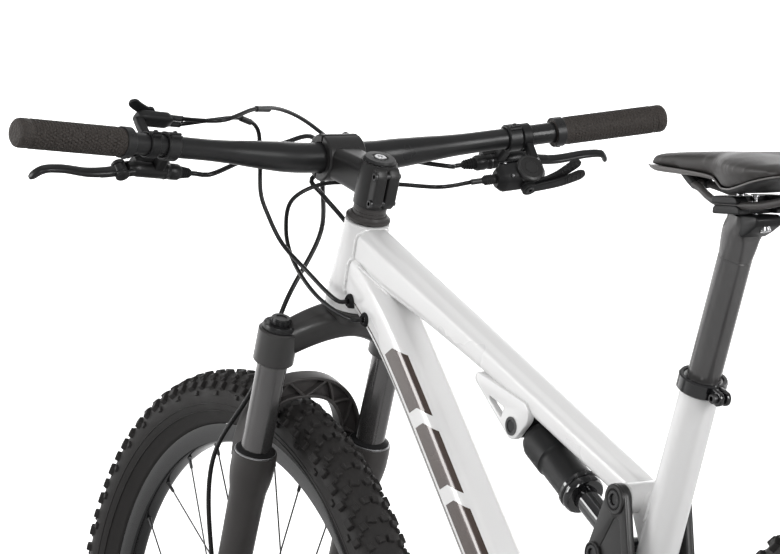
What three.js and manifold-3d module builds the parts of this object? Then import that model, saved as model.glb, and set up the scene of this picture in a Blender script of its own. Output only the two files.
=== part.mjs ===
// A full-suspension mountain bike in millimetres. +X points forward, +Y to the rider's left and +Z up.
// The origin lies on the ground, midway between the two axles.

import * as THREE from 'three';
import { mergeVertices } from 'three/addons/utils/BufferGeometryUtils.js';
import Module from 'manifold-3d';

const wasm = await Module();
wasm.setup();

// Driving dimensions
const wheelbase = 1171;
const tyreRadius = 371;
const tyreWidth = 61;
const headAngle = 68.2;
const forkOffset = 44;
const forkLength = 509.5;
const forkTravel = 100;
const headTubeLength = 98;
const stemHeight = 134.5;
const stemReach = 79;
const barHalfWidth = 390;
const barBackset = 41.5;
const barRise = 34.5;
const seatTubeAngle = 67.1;
const seatCollarBack = 253;
const seatCollarHeight = 798;
const bracketBack = 151;
const bracketHeight = 337;
const mainPivotBack = 128;
const mainPivotHeight = 392;
const rockerPivotBack = 170;
const rockerPivotHeight = 683;
const shockFrontAhead = 25;
const shockFrontHeight = 731;
const shockLength = 190;
const shockAngle = 32.5;
const crankLength = 175;
const chainPitch = 12.7;
const chainLine = 52;
const crankAngle = 38;
const chainringTeethCount = 36;
const cogTeethCount = 21;
const pulleyTeethCount = 12;
const frontHubWidth = 110;
const rearHubWidth = 148;
const seatpostRadius = 15.45;
const saddleLength = 275;
const saddleWidth = 142;

// Clearances and overruns that every piece shares
const seatGap = 0.3;
const layerGap = 0.6;
const overrun = 2;

// Facet counts for large, middling and small round forms
const largeSides = 12;
const middleSides = 8;
const smallSides = 6;

// Geometry helpers
const vec = (x, y, z) => new THREE.Vector3(x, y, z);
const radians = THREE.MathUtils.degToRad;
const lerp = THREE.MathUtils.lerp;
const left = vec(0, 1, 0);
const upward = vec(0, 0, 1);

// Welds the corners that meet, drops flat triangles and turns all faces outwards
function closed(geometry) {
  const bare = new THREE.BufferGeometry();
  bare.setAttribute('position', geometry.getAttribute('position'));
  bare.setIndex(geometry.getIndex());
  const welded = mergeVertices(bare);
  const place = welded.getAttribute('position');
  const corners = welded.getIndex().array;
  const kept = [];
  const [a, b, c] = [vec(0, 0, 0), vec(0, 0, 0), vec(0, 0, 0)];
  let volume = 0;
  for (let i = 0; i < corners.length; i += 3) {
    const [p, q, r] = [corners[i], corners[i + 1], corners[i + 2]];
    if (p === q || q === r || r === p) continue;
    kept.push([p, q, r]);
    a.fromBufferAttribute(place, p);
    b.fromBufferAttribute(place, q);
    c.fromBufferAttribute(place, r);
    volume += a.dot(b.cross(c));
  }
  welded.setIndex(kept.flatMap(([p, q, r]) => (volume < 0 ? [p, r, q] : [p, q, r])));
  return welded;
}

function meshOf(points, index) {
  const geometry = new THREE.BufferGeometry().setFromPoints(points);
  geometry.setIndex(index);
  return closed(geometry);
}

// Skins a row of rings that have the same number of points, and closes both ends or joins them
function loft(rings, loop = false) {
  const count = rings[0].length;
  const index = [];
  for (let i = 0; i < (loop ? rings.length : rings.length - 1); i++) {
    const here = i * count;
    const next = ((i + 1) % rings.length) * count;
    for (let j = 0; j < count; j++) {
      const k = (j + 1) % count;
      index.push(here + j, here + k, next + k, here + j, next + k, next + j);
    }
  }
  const last = (rings.length - 1) * count;
  for (let j = 1; j < count - 1 && !loop; j++) {
    index.push(0, j + 1, j, last, last + j, last + j + 1);
  }
  return meshOf(rings.flat(), index);
}

// Sets a section of [across, up] points square to each point of a path
function sweep(path, section, side = left, loop = false) {
  const count = path.length;
  const rings = path.map((point, i) => {
    const before = loop ? path[(i + count - 1) % count] : path[Math.max(i - 1, 0)];
    const after = loop ? path[(i + 1) % count] : path[Math.min(i + 1, count - 1)];
    const tangent = after.clone().sub(before).normalize();
    const across = side.clone().addScaledVector(tangent, -side.dot(tangent)).normalize();
    const normal = tangent.clone().cross(across);
    return section(i / (count - 1)).map(([a, n]) => point.clone().addScaledVector(across, a)
      .addScaledVector(normal, n));
  });
  return loft(rings, loop);
}

// A section between an ellipse, where the power is 2, and a rounded box
function oval(halfWidth, halfDepth, sideCount, power = 2) {
  return Array.from({ length: sideCount }, (_, i) => {
    const turn = ((i + 0.5) / sideCount) * 2 * Math.PI;
    const [c, s] = [Math.cos(turn), Math.sin(turn)];
    return [Math.sign(c) * Math.abs(c) ** (2 / power) * halfWidth,
      Math.sign(s) * Math.abs(s) ** (2 / power) * halfDepth];
  });
}

// Reads a table of [share along, value] pairs at a share, with straight lines between the pairs
function along(pairs, share) {
  const next = Math.max(1, pairs.findIndex(([at]) => at >= share));
  const [[from, low], [to, high]] = [pairs[next - 1], pairs[next]];
  return lerp(low, high, (share - from) / (to - from));
}

const smooth = (points, stepCount) =>
  new THREE.CatmullRomCurve3(points, false, 'centripetal').getSpacedPoints(stepCount);

// Turns a profile of [radius, height] points about an axis through a point
function revolve(profile, origin, direction, sideCount) {
  const geometry = new THREE.LatheGeometry(profile.map(([r, h]) => new THREE.Vector2(r, h)), sideCount);
  geometry.applyQuaternion(new THREE.Quaternion().setFromUnitVectors(left, direction.clone().normalize()));
  geometry.translate(origin.x, origin.y, origin.z);
  return closed(geometry);
}

const disc = (radius, from, to, sideCount) => {
  const length = to.distanceTo(from);
  return revolve([[0, 0], [radius, 0], [radius, length], [0, length]], from, to.clone().sub(from), sideCount);
};

const ringOf = (outer, inner, from, to, sideCount) => {
  const length = to.distanceTo(from);
  return revolve([[inner, 0], [outer, 0], [outer, length], [inner, length], [inner, 0]], from,
    to.clone().sub(from), sideCount);
};

// The radius of a faceted hole whose flats clear a round shaft
const holeFor = (radius, sideCount) => (radius + seatGap) / Math.cos(Math.PI / sideCount);

// A round cable through some points, with rings that don't twist
function hose(points, radius, stepCount) {
  const curve = new THREE.CatmullRomCurve3(points, false, 'centripetal');
  const { normals, binormals } = curve.computeFrenetFrames(stepCount);
  return loft(normals.map((normal, i) => oval(radius, radius, smallSides).map(([a, b]) => curve
    .getPointAt(i / stepCount).addScaledVector(normal, a).addScaledVector(binormals[i], b))));
}

// Extrudes an outline of [x, z] points between two places across the bike
function plate(outline, fromY, toY, holes = []) {
  const shape = new THREE.Shape(outline.map(([x, z]) => new THREE.Vector2(x, z)));
  shape.holes = holes.map((hole) => new THREE.Path(hole.map(([x, z]) => new THREE.Vector2(x, z))));
  const geometry = new THREE.ExtrudeGeometry(shape, { depth: toY - fromY, bevelEnabled: false });
  geometry.rotateX(Math.PI / 2);
  geometry.translate(0, toY, 0);
  return closed(geometry);
}

const circle = (x, z, radius, sideCount) => Array.from({ length: sideCount }, (_, i) => {
  const turn = (i / sideCount) * 2 * Math.PI;
  return [x + radius * Math.cos(turn), z + radius * Math.sin(turn)];
});

// The outline of a strap pulled tight round some [x, z, radius] circles
function strap(circles, sideCount = 16) {
  const points = circles.flatMap(([x, z, radius]) => circle(x, z, radius, sideCount));
  points.sort((a, b) => a[0] - b[0] || a[1] - b[1]);
  const turn = (o, a, b) => (a[0] - o[0]) * (b[1] - o[1]) - (a[1] - o[1]) * (b[0] - o[0]);
  const half = (list) => {
    const chain = [];
    for (const point of list) {
      while (chain.length > 1 && turn(chain.at(-2), chain.at(-1), point) <= 0) chain.pop();
      chain.push(point);
    }
    return chain.slice(0, -1);
  };
  return [...half(points), ...half([...points].reverse())];
}

function solid(geometry) {
  return new wasm.Manifold(new wasm.Mesh({
    numProp: 3,
    vertProperties: new Float32Array(geometry.getAttribute('position').array),
    triVerts: new Uint32Array(geometry.getIndex().array),
  }));
}

function surface(manifold) {
  const { vertProperties, triVerts } = manifold.getMesh();
  const geometry = new THREE.BufferGeometry();
  geometry.setAttribute('position', new THREE.BufferAttribute(new Float32Array(vertProperties), 3));
  geometry.setIndex([...triVerts]);
  return geometry;
}

const join = (...parts) => surface(parts.map(solid).reduce((whole, part) => whole.add(part)));
const cut = (body, ...tools) => surface(tools.map(solid).reduce((rest, tool) => rest.subtract(tool),
  solid(body)));
const mirrored = (geometry) => closed(geometry.clone().scale(1, -1, 1));

const bike = new THREE.Group();

function add(name, geometry, material) {
  geometry.computeVertexNormals();
  const mesh = new THREE.Mesh(geometry, material);
  mesh.name = name;
  bike.add(mesh);
}

// Finishes
const finish = (color, roughness, metalness) => new THREE.MeshStandardMaterial({ color, roughness, metalness });
const pearlPaint = finish(0xe6e5e3, 0.25, 0.1);
const blackAlloy = finish(0x1d1d1f, 0.5, 0.6);
const glossBlack = finish(0x0c0c0e, 0.15, 0.3);
const mattBlack = finish(0x232325, 0.65, 0.1);
const silverSteel = finish(0xb4b6b8, 0.3, 0.9);
const tyreRubber = finish(0x1f1f20, 0.85, 0);
const gripRubber = finish(0x35302c, 0.8, 0);
const saddleFabric = finish(0x3a3532, 0.7, 0);
const housingBlack = finish(0x121213, 0.4, 0);

// Places on the bike that several pieces share
const axleHeight = tyreRadius;
const frontAxle = vec(wheelbase / 2, 0, axleHeight);
const rearAxle = vec(-wheelbase / 2, 0, axleHeight);
const steerUp = vec(-Math.cos(radians(headAngle)), 0, Math.sin(radians(headAngle)));
const steerAhead = vec(Math.sin(radians(headAngle)), 0, Math.cos(radians(headAngle)));
const axleDrop = Math.sqrt(forkLength ** 2 - forkOffset ** 2);
const crownRace = frontAxle.clone().addScaledVector(steerAhead, -forkOffset).addScaledVector(steerUp, axleDrop);
const seatUp = vec(-Math.cos(radians(seatTubeAngle)), 0, Math.sin(radians(seatTubeAngle)));
const seatCollar = vec(-seatCollarBack, 0, seatCollarHeight);
const bracket = vec(-bracketBack, 0, bracketHeight);
const mainPivot = vec(-mainPivotBack, 0, mainPivotHeight);
const rockerPivot = vec(-rockerPivotBack, 0, rockerPivotHeight);
const shockDown = vec(-Math.cos(radians(shockAngle)), 0, -Math.sin(radians(shockAngle)));
const shockFront = vec(shockFrontAhead, 0, shockFrontHeight);
const shockRear = shockFront.clone().addScaledVector(shockDown, shockLength);
const barCentre = steer(stemHeight, stemReach, 0);

// A place in the steering's own frame: up the steerer from the crown race, ahead of it, and to the left
function steer(up, ahead, across) {
  return crownRace.clone().addScaledVector(steerUp, up).addScaledVector(steerAhead, ahead)
    .addScaledVector(left, across);
}

const seatLine = (up) => seatCollar.clone().addScaledVector(seatUp, up);
const beside = (point, across) => vec(point.x, across, point.z);

// Front frame: shaped alloy tubes welded to a head tube, a bracket shell and pivot bosses
const frame = {
  headTopRadius: 23.3, headLowRadius: 27.5, headStart: 3, lowerBore: 23.4, innerBore: 17,
  cupDepth: 14, lowerCupDepth: 20, steererBore: 14.8,
  topTubeStart: 84, topTubeEnd: 142, topTubeTop: 15, topTubeHalfWidth: 18.5,
  downTubeStart: 45, downTubeHalfWidth: 25,
  seatTubeRadius: 18, seatTubeFoot: 412, seatBoreDepth: 232, slotWidth: 2.4, slotDepth: 26, slotHole: 2.6,
  shellRadius: 23, shellHalfWidth: 46, shellBore: 20.3,
  pivotBossRadius: 15, pivotBossHalfWidth: 29, webHalfWidth: 20, webRadius: 20, webRise: 408,
  rockerBossRadius: 14, rockerBossHalfWidth: 28, gussetHalfWidth: 15, gussetRadius: 12, gussetUp: 172,
  eyeRadius: 13, tabInner: 13, tabOuter: 20.5, tabReach: 58, tabRise: 42, tabBack: 16, tabTip: 6,
  windowRadius: 1.6, windowAhead: 37, windowUp: 24, windowFoot: 19, windowFootUp: 9, windowHead: 16,
  windowHeadUp: 16, portRadius: 5, portFace: 25, portUpperBack: 31, portUpperUp: 21, portLowerBack: 65, portLowerUp: 16,
};
const topTubeDepthShares = [[0, 1.62], [0.12, 1.55], [0.3, 1.25], [0.55, 1.03], [1, 0.97]];
const topTubeWidthShares = [[0, 1.05], [0.3, 1.02], [0.7, 1], [1, 0.92]];
const downTubeBowShares = [[0, 0], [0.06, -0.013], [0.14, -0.021], [0.475, 0], [0.7, 0.018], [0.88, 0.026], [1, 0]];
const downTubeDepthShares = [[0, 1.3], [0.1, 1.18], [0.25, 1.08], [0.7, 1.12], [0.9, 1.1], [1, 0.95]];
const downTubeWidthShares = [[0, 0.86], [0.1, 0.96], [0.3, 1], [0.7, 1.08], [0.9, 1.2], [1, 1.3]];
const seatTubeWidthShares = [[0, 1], [0.35, 1.04], [0.7, 1.12], [1, 1.2]];
const pivotAxleRadius = 7.5;
const boltRadius = 5;

const portUpper = steer(frame.portUpperUp, -frame.portUpperBack, 0);
const portLower = steer(frame.portLowerUp, -frame.portLowerBack, 0);

const headTop = headTubeLength + overrun;
const headLength = headTop - frame.headStart;
const upperSeatAt = headLength - frame.cupDepth;

function headTube() {
  const { headTopRadius, headLowRadius, headStart, cupDepth } = frame;
  const waist = lerp(headTopRadius, headLowRadius, 1 / 4);
  return revolve([[0, 0], [headLowRadius, 0], [headLowRadius, cupDepth], [waist, headLength / 2],
    [headTopRadius, upperSeatAt], [headTopRadius, headLength], [0, headLength]], steer(headStart, 0, 0), steerUp,
  largeSides);
}

function headBore() {
  const { steererBore, lowerBore, innerBore, lowerCupDepth } = frame;
  const past = lowerCupDepth + overrun;
  return revolve([[0, 0], [lowerBore, 0], [lowerBore, past], [innerBore, past], [innerBore, upperSeatAt + overrun],
    [steererBore, upperSeatAt + overrun], [steererBore, headLength + 2 * overrun], [0, headLength + 2 * overrun]],
  steer(frame.headStart - overrun, 0, 0), steerUp, largeSides);
}

function topTube() {
  const from = steer(frame.topTubeStart, 0, 0);
  const to = seatLine(-frame.topTubeEnd);
  const down = to.clone().sub(from).normalize().cross(left).negate();
  const path = [0, 0.12, 0.3, 0.55, 0.8, 1].map((share) => {
    const drop = frame.topTubeTop * (along(topTubeDepthShares, share) - 1);
    return from.clone().lerp(to, share).addScaledVector(down, down.z < 0 ? drop : -drop);
  });
  return sweep(path, (share) => oval(frame.topTubeHalfWidth * along(topTubeWidthShares, share),
    frame.topTubeTop * along(topTubeDepthShares, share), middleSides, 3.4));
}

const downTubeTop = steer(frame.downTubeStart, 0, 0);
const downTubeRun = bracket.clone().sub(downTubeTop);
const downTubeFront = downTubeRun.clone().normalize().cross(left);
const downTubeAt = (share) => downTubeTop.clone().addScaledVector(downTubeRun, share)
  .addScaledVector(downTubeFront, along(downTubeBowShares, share) * downTubeRun.length());

function downTube() {
  const shares = [0, 0.06, 0.14, 0.25, 0.475, 0.7, 0.88, 1];
  return sweep(smooth(shares.map(downTubeAt), 7), (share) => oval(
    frame.downTubeHalfWidth * along(downTubeWidthShares, share),
    frame.downTubeHalfWidth * along(downTubeDepthShares, share), middleSides, 3));
}

function seatTube() {
  const path = [0, 0.35, 1].map((share) => seatLine(-frame.seatTubeFoot * share));
  return sweep(path, (share) => {
    const radius = frame.seatTubeRadius * along(seatTubeWidthShares, share);
    return oval(radius, radius, middleSides);
  });
}

// The two tabs under the top tube that carry the shock's front bolt, each with a slanted window
function shockTabs() {
  const { x, z } = shockFront;
  const outline = strap([[x, z, frame.eyeRadius], [x + frame.tabReach, z + frame.tabRise, frame.tabTip],
    [x - frame.tabBack, z + frame.eyeRadius, frame.eyeRadius]], smallSides);
  const window = strap([[x + frame.windowAhead, z + frame.windowUp, frame.windowRadius],
    [x + frame.windowFoot, z + frame.windowFootUp, frame.windowRadius],
    [x + frame.windowHead, z + frame.windowHeadUp, frame.windowRadius]], 6);
  const tab = plate(outline, frame.tabInner, frame.tabOuter, [window]);
  const bolt = disc(boltRadius, beside(shockFront, -frame.tabOuter), beside(shockFront, frame.tabOuter), middleSides);
  return join(tab, mirrored(tab), bolt);
}

function frontFrame() {
  const web = plate(strap([[bracket.x, bracket.z, frame.webRadius],
    [mainPivot.x, mainPivot.z, frame.pivotBossRadius],
    [seatLine(-frame.webRise).x, seatLine(-frame.webRise).z, frame.webRadius]], smallSides),
  -frame.webHalfWidth, frame.webHalfWidth);
  const gusset = plate(strap([[rockerPivot.x, rockerPivot.z, frame.gussetRadius],
    [seatLine(-frame.gussetUp).x, seatLine(-frame.gussetUp).z, frame.gussetRadius]], smallSides),
  -frame.gussetHalfWidth, frame.gussetHalfWidth);
  const across = (point, radius, half, sides) => disc(radius, beside(point, -half), beside(point, half), sides);
  const ports = [[portUpper, 1], [portLower, 1], [portUpper, -1]].map(([port, hand]) => disc(frame.portRadius,
    beside(port, hand * frame.webHalfWidth), beside(port, hand * frame.portFace), smallSides));
  const whole = join(...ports, topTube(), downTube(), seatTube(), web, gusset, shockTabs(),
    across(bracket, frame.shellRadius, frame.shellHalfWidth, middleSides),
    across(mainPivot, frame.pivotBossRadius, frame.pivotBossHalfWidth, middleSides),
    across(rockerPivot, frame.rockerBossRadius, frame.rockerBossHalfWidth, middleSides));
  const slotFoot = seatLine(-frame.slotDepth);
  const slotTop = seatLine(overrun);
  const slot = sweep([beside(slotFoot, -frame.slotWidth / 2), beside(slotFoot, frame.slotWidth / 2)], () => {
    const reach = frame.seatTubeRadius + overrun;
    const rise = slotTop.z - slotFoot.z;
    return [[0, 0], [reach, 0], [reach, rise], [0, rise]];
  }, vec(-1, 0, 0));
  const postBore = disc(holeFor(seatpostRadius, middleSides), seatLine(overrun), seatLine(-frame.seatBoreDepth), middleSides);
  const bores = [[bracket, frame.shellBore, frame.shellHalfWidth],
    [mainPivot, holeFor(pivotAxleRadius, middleSides), frame.pivotBossHalfWidth],
    [rockerPivot, holeFor(pivotAxleRadius, middleSides), frame.rockerBossHalfWidth]]
    .map(([point, radius, half]) => across(point, radius, half + overrun, middleSides));
  return cut(join(headTube(), whole), headBore(), slot, postBore, ...bores);
}
add('front_frame', frontFrame(), pearlPaint);

// Headset sizes that the cover, the stem and the fork's steerer share
const headset = { steererRadius: 14.3, coverHeight: 6, coverTopRadius: 18.5, spacerRadius: 17.4, lipRadius: 20.5,
  lipHeight: 2.5 };

// Bottom bracket: one sleeve with the two bearings that carry the spindle
const spindleRadius = 15;
const bottomBracket = { flange: 3, flangeRadius: 23 };

function bottomBracketUnit() {
  const half = frame.shellHalfWidth + seatGap;
  const outer = half + bottomBracket.flange;
  const [bore, shell] = [holeFor(spindleRadius, middleSides), frame.shellBore - seatGap];
  return revolve([[bore, 0], [bottomBracket.flangeRadius, 0], [bottomBracket.flangeRadius, bottomBracket.flange],
    [shell, bottomBracket.flange], [shell, outer + half], [bottomBracket.flangeRadius, outer + half],
    [bottomBracket.flangeRadius, outer + outer], [bore, outer + outer], [bore, 0]],
  beside(bracket, -outer), left, middleSides);
}
add('bottom_bracket', bottomBracketUnit(), blackAlloy);

// Seat collar: a split ring with two ears and its bolt, clamped round the top of the seat tube
const collar = { wall: 4, height: 14, lowered: 12, earReach: 15, earHalf: 7, earThick: 5, slit: 1.3,
  boltRadius: 2.6, headRadius: 4.4, headLength: 5 };

function seatClamp() {
  const inner = frame.seatTubeRadius + layerGap;
  const outer = inner + collar.wall;
  const low = seatLine(-collar.lowered);
  const high = seatLine(collar.height - collar.lowered);
  const ear = seatUp.clone().cross(left).normalize();
  const back = ear.x > 0 ? ear.negate() : ear;
  const sideways = back.clone().cross(seatUp).normalize();
  const block = (halfWide, from, to) => sweep([low.clone().addScaledVector(back, from),
    low.clone().addScaledVector(back, to)], () => [[-halfWide, 0], [halfWide, 0], [halfWide, -collar.height],
    [-halfWide, -collar.height]], sideways);
  const lugs = block(collar.slit + collar.earThick, inner + overrun / 2, outer + collar.earReach);
  const slit = block(collar.slit, 0, outer + collar.earReach + overrun);
  const boltPlace = low.clone().lerp(high, 1 / 2).addScaledVector(back, outer + collar.earHalf);
  const reach = collar.slit + collar.earThick;
  const bolt = disc(collar.boltRadius, boltPlace.clone().addScaledVector(sideways, overrun - reach),
    boltPlace.clone().addScaledVector(sideways, reach - overrun / 2), smallSides);
  const head = disc(collar.headRadius, boltPlace.clone().addScaledVector(sideways, reach - overrun),
    boltPlace.clone().addScaledVector(sideways, reach + collar.headLength), middleSides);
  return join(cut(join(disc(outer, low, high, middleSides), lugs), slit,
    disc(inner, low.clone().addScaledVector(seatUp, -overrun), high.clone().addScaledVector(seatUp, overrun), middleSides)),
  bolt, head);
}
add('seat_collar', seatClamp(), blackAlloy);

// Fork: a forged crown on its steerer, two stanchions with top caps, and a lower casting that slides on them
const fork = {
  stanchionRadius: 16, halfSpacing: 70.2, stanchionAhead: 16.5, clampTop: -30, clampBottom: -68,
  clampRadius: 21.5, stanchionBottom: -331, capRadius: 18, capHeight: 5.5, knobRadius: 10.5, knobHeight: 7,
  raceRadius: 27, bearingRadius: 22.5, bearingTop: 16, taperTop: 22, steererTop: 161, baseDepth: 14,
  bridgeUp: -17, bridgeAhead: 6, bridgeHalfHeight: 17, bridgeHalfDepth: 23, tipHalfHeight: 17,
  tipHalfDepth: 15, sealTop: -173, sealRadius: 19.6, sealHeight: 9, neckRadius: 18.2, legRadius: 17.6,
  kneeUp: -330, footRadius: 17, footUp: -486, boreEnd: -446, dropoutRadius: 14, dropoutOuter: 71,
  axleRadius: 7.5, nutRadius: 9.5, nutLength: 4, archFootUp: -206, archRise: 86, archFootAhead: 39,
  archAdvance: 18, archHalfSpan: 64, archHalfDepth: 9, archSkin: 1.8, archHeight: 21, strutThickness: 2,
  postHighUp: -411, postLowUp: -465, postAhead: -8, postRadius: 7, postInner: 60, postOuter: 71,
};
const { stanchionRadius, halfSpacing, stanchionAhead } = fork;
const onLeg = (up, hand) => steer(up, stanchionAhead, hand * halfSpacing);

function forkCrown() {
  const bridge = sweep([-1, -0.66, -0.3, 0.3, 0.66, 1].map((share) => {
    const bow = Math.abs(share) ** 1.8;
    return steer(lerp(fork.bridgeUp, (fork.clampTop + fork.clampBottom) / 2, bow),
      lerp(fork.bridgeAhead, stanchionAhead, bow), share * halfSpacing);
  }), (share) => {
    const bow = Math.abs(share * 2 - 1) ** 1.4;
    return oval(lerp(fork.bridgeHalfDepth, fork.tipHalfDepth, bow),
      lerp(fork.bridgeHalfHeight, fork.tipHalfHeight, bow), middleSides, 3.2);
  }, steerAhead);
  const base = -fork.baseDepth;
  const steerer = revolve([[0, 0], [fork.bearingRadius, 0], [fork.raceRadius, -base],
    [fork.raceRadius, frame.headStart - seatGap - base], [fork.bearingRadius, frame.headStart - seatGap - base],
    [fork.bearingRadius, fork.bearingTop - base], [headset.steererRadius, fork.taperTop - base],
    [headset.steererRadius, fork.steererTop - base], [0, fork.steererTop - base]],
  steer(base, 0, 0), steerUp, largeSides);
  const clamps = [1, -1].map((hand) => disc(fork.clampRadius, onLeg(fork.clampBottom, hand),
    onLeg(fork.clampTop, hand), largeSides));
  const bores = [1, -1].map((hand) => disc(holeFor(stanchionRadius, middleSides), onLeg(fork.clampBottom - overrun, hand),
    onLeg(fork.clampTop + overrun, hand), middleSides));
  const capSeats = [1, -1].map((hand) => disc(fork.capRadius + 2 * overrun, onLeg(fork.clampTop, hand),
    onLeg(fork.clampTop + fork.clampRadius + fork.capHeight, hand), middleSides));
  return cut(join(bridge, steerer, ...clamps), ...bores, ...capSeats);
}
add('fork_crown', forkCrown(), blackAlloy);

function stanchion(hand) {
  const length = fork.clampTop + seatGap - fork.stanchionBottom;
  const capTop = length + fork.capHeight;
  const top = capTop + fork.knobHeight;
  return revolve([[0, 0], [stanchionRadius, 0], [stanchionRadius, length], [fork.capRadius, length],
    [fork.capRadius, capTop], [fork.knobRadius, capTop], [fork.knobRadius, top], [0, top]],
  onLeg(fork.stanchionBottom, hand), steerUp, largeSides);
}
add('stanchion_left', stanchion(1), glossBlack);
add('stanchion_right', stanchion(-1), glossBlack);

function forkLeg(hand) {
  const at = (up) => up - fork.footUp;
  const tube = revolve([[0, 0], [fork.footRadius, 0], [fork.legRadius, at(fork.kneeUp)],
    [fork.neckRadius, at(fork.sealTop - 2 * fork.sealHeight)], [fork.sealRadius, at(fork.sealTop - fork.sealHeight)],
    [fork.sealRadius, at(fork.sealTop)], [0, at(fork.sealTop)]], onLeg(fork.footUp, hand), steerUp, largeSides);
  const foot = onLeg(fork.footUp, 0);
  const inner = frontHubWidth / 2 + seatGap;
  const [near, far] = hand > 0 ? [inner, fork.dropoutOuter] : [-fork.dropoutOuter, -inner];
  return [tube, plate(strap([[foot.x, foot.z, fork.dropoutRadius],
    [frontAxle.x, frontAxle.z, fork.dropoutRadius]], middleSides), near, far)];
}

// The arch over the tyre: two rails round an open truss with a web on its front
const archPoint = (turn, lift, forward) => {
  const [c, s] = [Math.cos(turn), Math.sin(turn)];
  return steer(fork.archFootUp + fork.archRise * Math.abs(c) ** 0.8 + lift * Math.abs(c) ** 0.5,
    fork.archFootAhead + fork.archAdvance * Math.abs(c) ** 0.4 + forward,
    (fork.archHalfSpan + lift * Math.abs(s)) * Math.sign(s) * Math.abs(s) ** 0.8);
};

function archRail(lift, halfDepth, forward) {
  const turns = Array.from({ length: 8 }, (_, i) => (i / 7 - 1 / 2) * Math.PI * 0.96);
  return sweep(turns.map((turn) => archPoint(turn, lift, forward)),
    () => [[-halfDepth, -fork.archSkin], [halfDepth, -fork.archSkin], [halfDepth, fork.archSkin],
      [-halfDepth, fork.archSkin]], steerAhead);
}

function archTruss() {
  const half = fork.archHeight / 2;
  const strutCount = 6;
  return Array.from({ length: strutCount }, (_, i) => {
    const [from, to] = [i, i + 1].map((step) => (step / strutCount - 1 / 2) * Math.PI * 0.8);
    const sign = i % 2 ? -1 : 1;
    return sweep([archPoint(from, sign * half, 0), archPoint(to, -sign * half, 0)],
      () => [[-fork.archHalfDepth, -fork.strutThickness], [fork.archHalfDepth, -fork.strutThickness],
        [fork.archHalfDepth, fork.strutThickness], [-fork.archHalfDepth, fork.strutThickness]], steerAhead);
  });
}

function forkLowers() {
  const half = fork.archHeight / 2;
  const posts = plate(strap([[steer(fork.postHighUp, fork.postAhead, 0).x, steer(fork.postHighUp, fork.postAhead,
    0).z, fork.postRadius], [steer(fork.postLowUp, fork.postAhead, 0).x, steer(fork.postLowUp, fork.postAhead, 0).z,
    fork.postRadius], [onLeg(fork.postHighUp, 0).x, onLeg(fork.postHighUp, 0).z, fork.postRadius],
    [onLeg(fork.postLowUp, 0).x, onLeg(fork.postLowUp, 0).z, fork.postRadius]], middleSides), fork.postInner,
  fork.postOuter);
  const axle = disc(fork.axleRadius, beside(frontAxle, -fork.dropoutOuter - overrun),
    beside(frontAxle, fork.dropoutOuter + fork.nutLength), middleSides);
  const bores = [1, -1].map((hand) => disc(holeFor(stanchionRadius, largeSides), onLeg(fork.boreEnd, hand),
    onLeg(fork.sealTop + overrun, hand), largeSides));
  const feet = [1, -1].map((hand) => disc(fork.archHalfDepth, onLeg(fork.archFootUp, hand),
    archPoint(hand * Math.PI * 0.47, 0, 0), smallSides));
  return cut(join(...forkLeg(1), ...forkLeg(-1), posts, axle, ...feet, archRail(half, fork.archHalfDepth, 0),
    archRail(-half, fork.archHalfDepth, 0), ...archTruss()), ...bores);
}
add('fork_lowers', forkLowers(), mattBlack);

// Front brake caliper: a two-piston body that straddles the disc behind the left leg
const frontBrake = { discRadius: 90, discHalfThickness: 0.9, discAcross: 44, slotHalf: 1.8, bodyInner: 31,
  bodyOuter: 59.7, bodyAhead: -16, bodyRadius: 14, bodyHighUp: -424, bodyLowUp: -453, slotReach: 30,
  earRadius: 6.5, banjoRadius: 4.5, banjoLength: 12 };

function calliper(size, high, low, ears, centre, hand, banjo) {
  const [near, far] = hand > 0 ? [size.bodyInner, size.bodyOuter] : [-size.bodyOuter, -size.bodyInner];
  const body = plate(strap([[high.x, high.z, size.bodyRadius], [low.x, low.z, size.bodyRadius]], middleSides), near, far);
  const earPlate = plate(strap(ears.map((ear) => [ear.x, ear.z, size.earRadius]), middleSides),
    hand > 0 ? size.discAcross + 2 * size.slotHalf : -size.bodyOuter,
    hand > 0 ? size.bodyOuter : -size.discAcross - 2 * size.slotHalf);
  const slot = disc(size.discRadius + overrun, beside(centre, hand * size.discAcross - size.slotHalf),
    beside(centre, hand * size.discAcross + size.slotHalf), 32);
  const fitting = disc(size.banjoRadius, banjo, banjo.clone().addScaledVector(steerUp, size.banjoLength), smallSides);
  return cut(join(body, earPlate, fitting), slot);
}

const frontCaliperHigh = steer(frontBrake.bodyHighUp, frontBrake.bodyAhead, 0);
const frontBanjo = steer(frontBrake.bodyHighUp + frontBrake.bodyRadius - overrun, frontBrake.bodyAhead,
  frontBrake.bodyOuter - frontBrake.bodyRadius / 2);
add('front_caliper', calliper(frontBrake, frontCaliperHigh,
  steer(frontBrake.bodyLowUp, frontBrake.bodyAhead, 0),
  [steer(fork.postHighUp, fork.postAhead, 0), steer(fork.postLowUp, fork.postAhead, 0)], frontAxle, 1,
  frontBanjo), blackAlloy);

// Headset cover, spacer and stem on the steerer
const stemSize = {
  bottom: 116, top: 164, clampRadius: 19, barClampRadius: 24.5, halfWidth: 22, armHalfWidth: 17,
  armHalfHeight: 18, armNose: 14, armStart: 4, splitAhead: 1.2, splitGap: 1.4, slotHalf: 1, boltInset: 9,
  boltRadius: 4, boltHalf: 14, boltBack: 20, capHeight: 4, capRadius: 17, capHole: 3.2, plateDepth: 28,
  faceBoltOut: 14, faceBoltUp: 17, faceBoltRadius: 3.6, faceBoltLength: 5,
};
const barRadius = 15.9;

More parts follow.
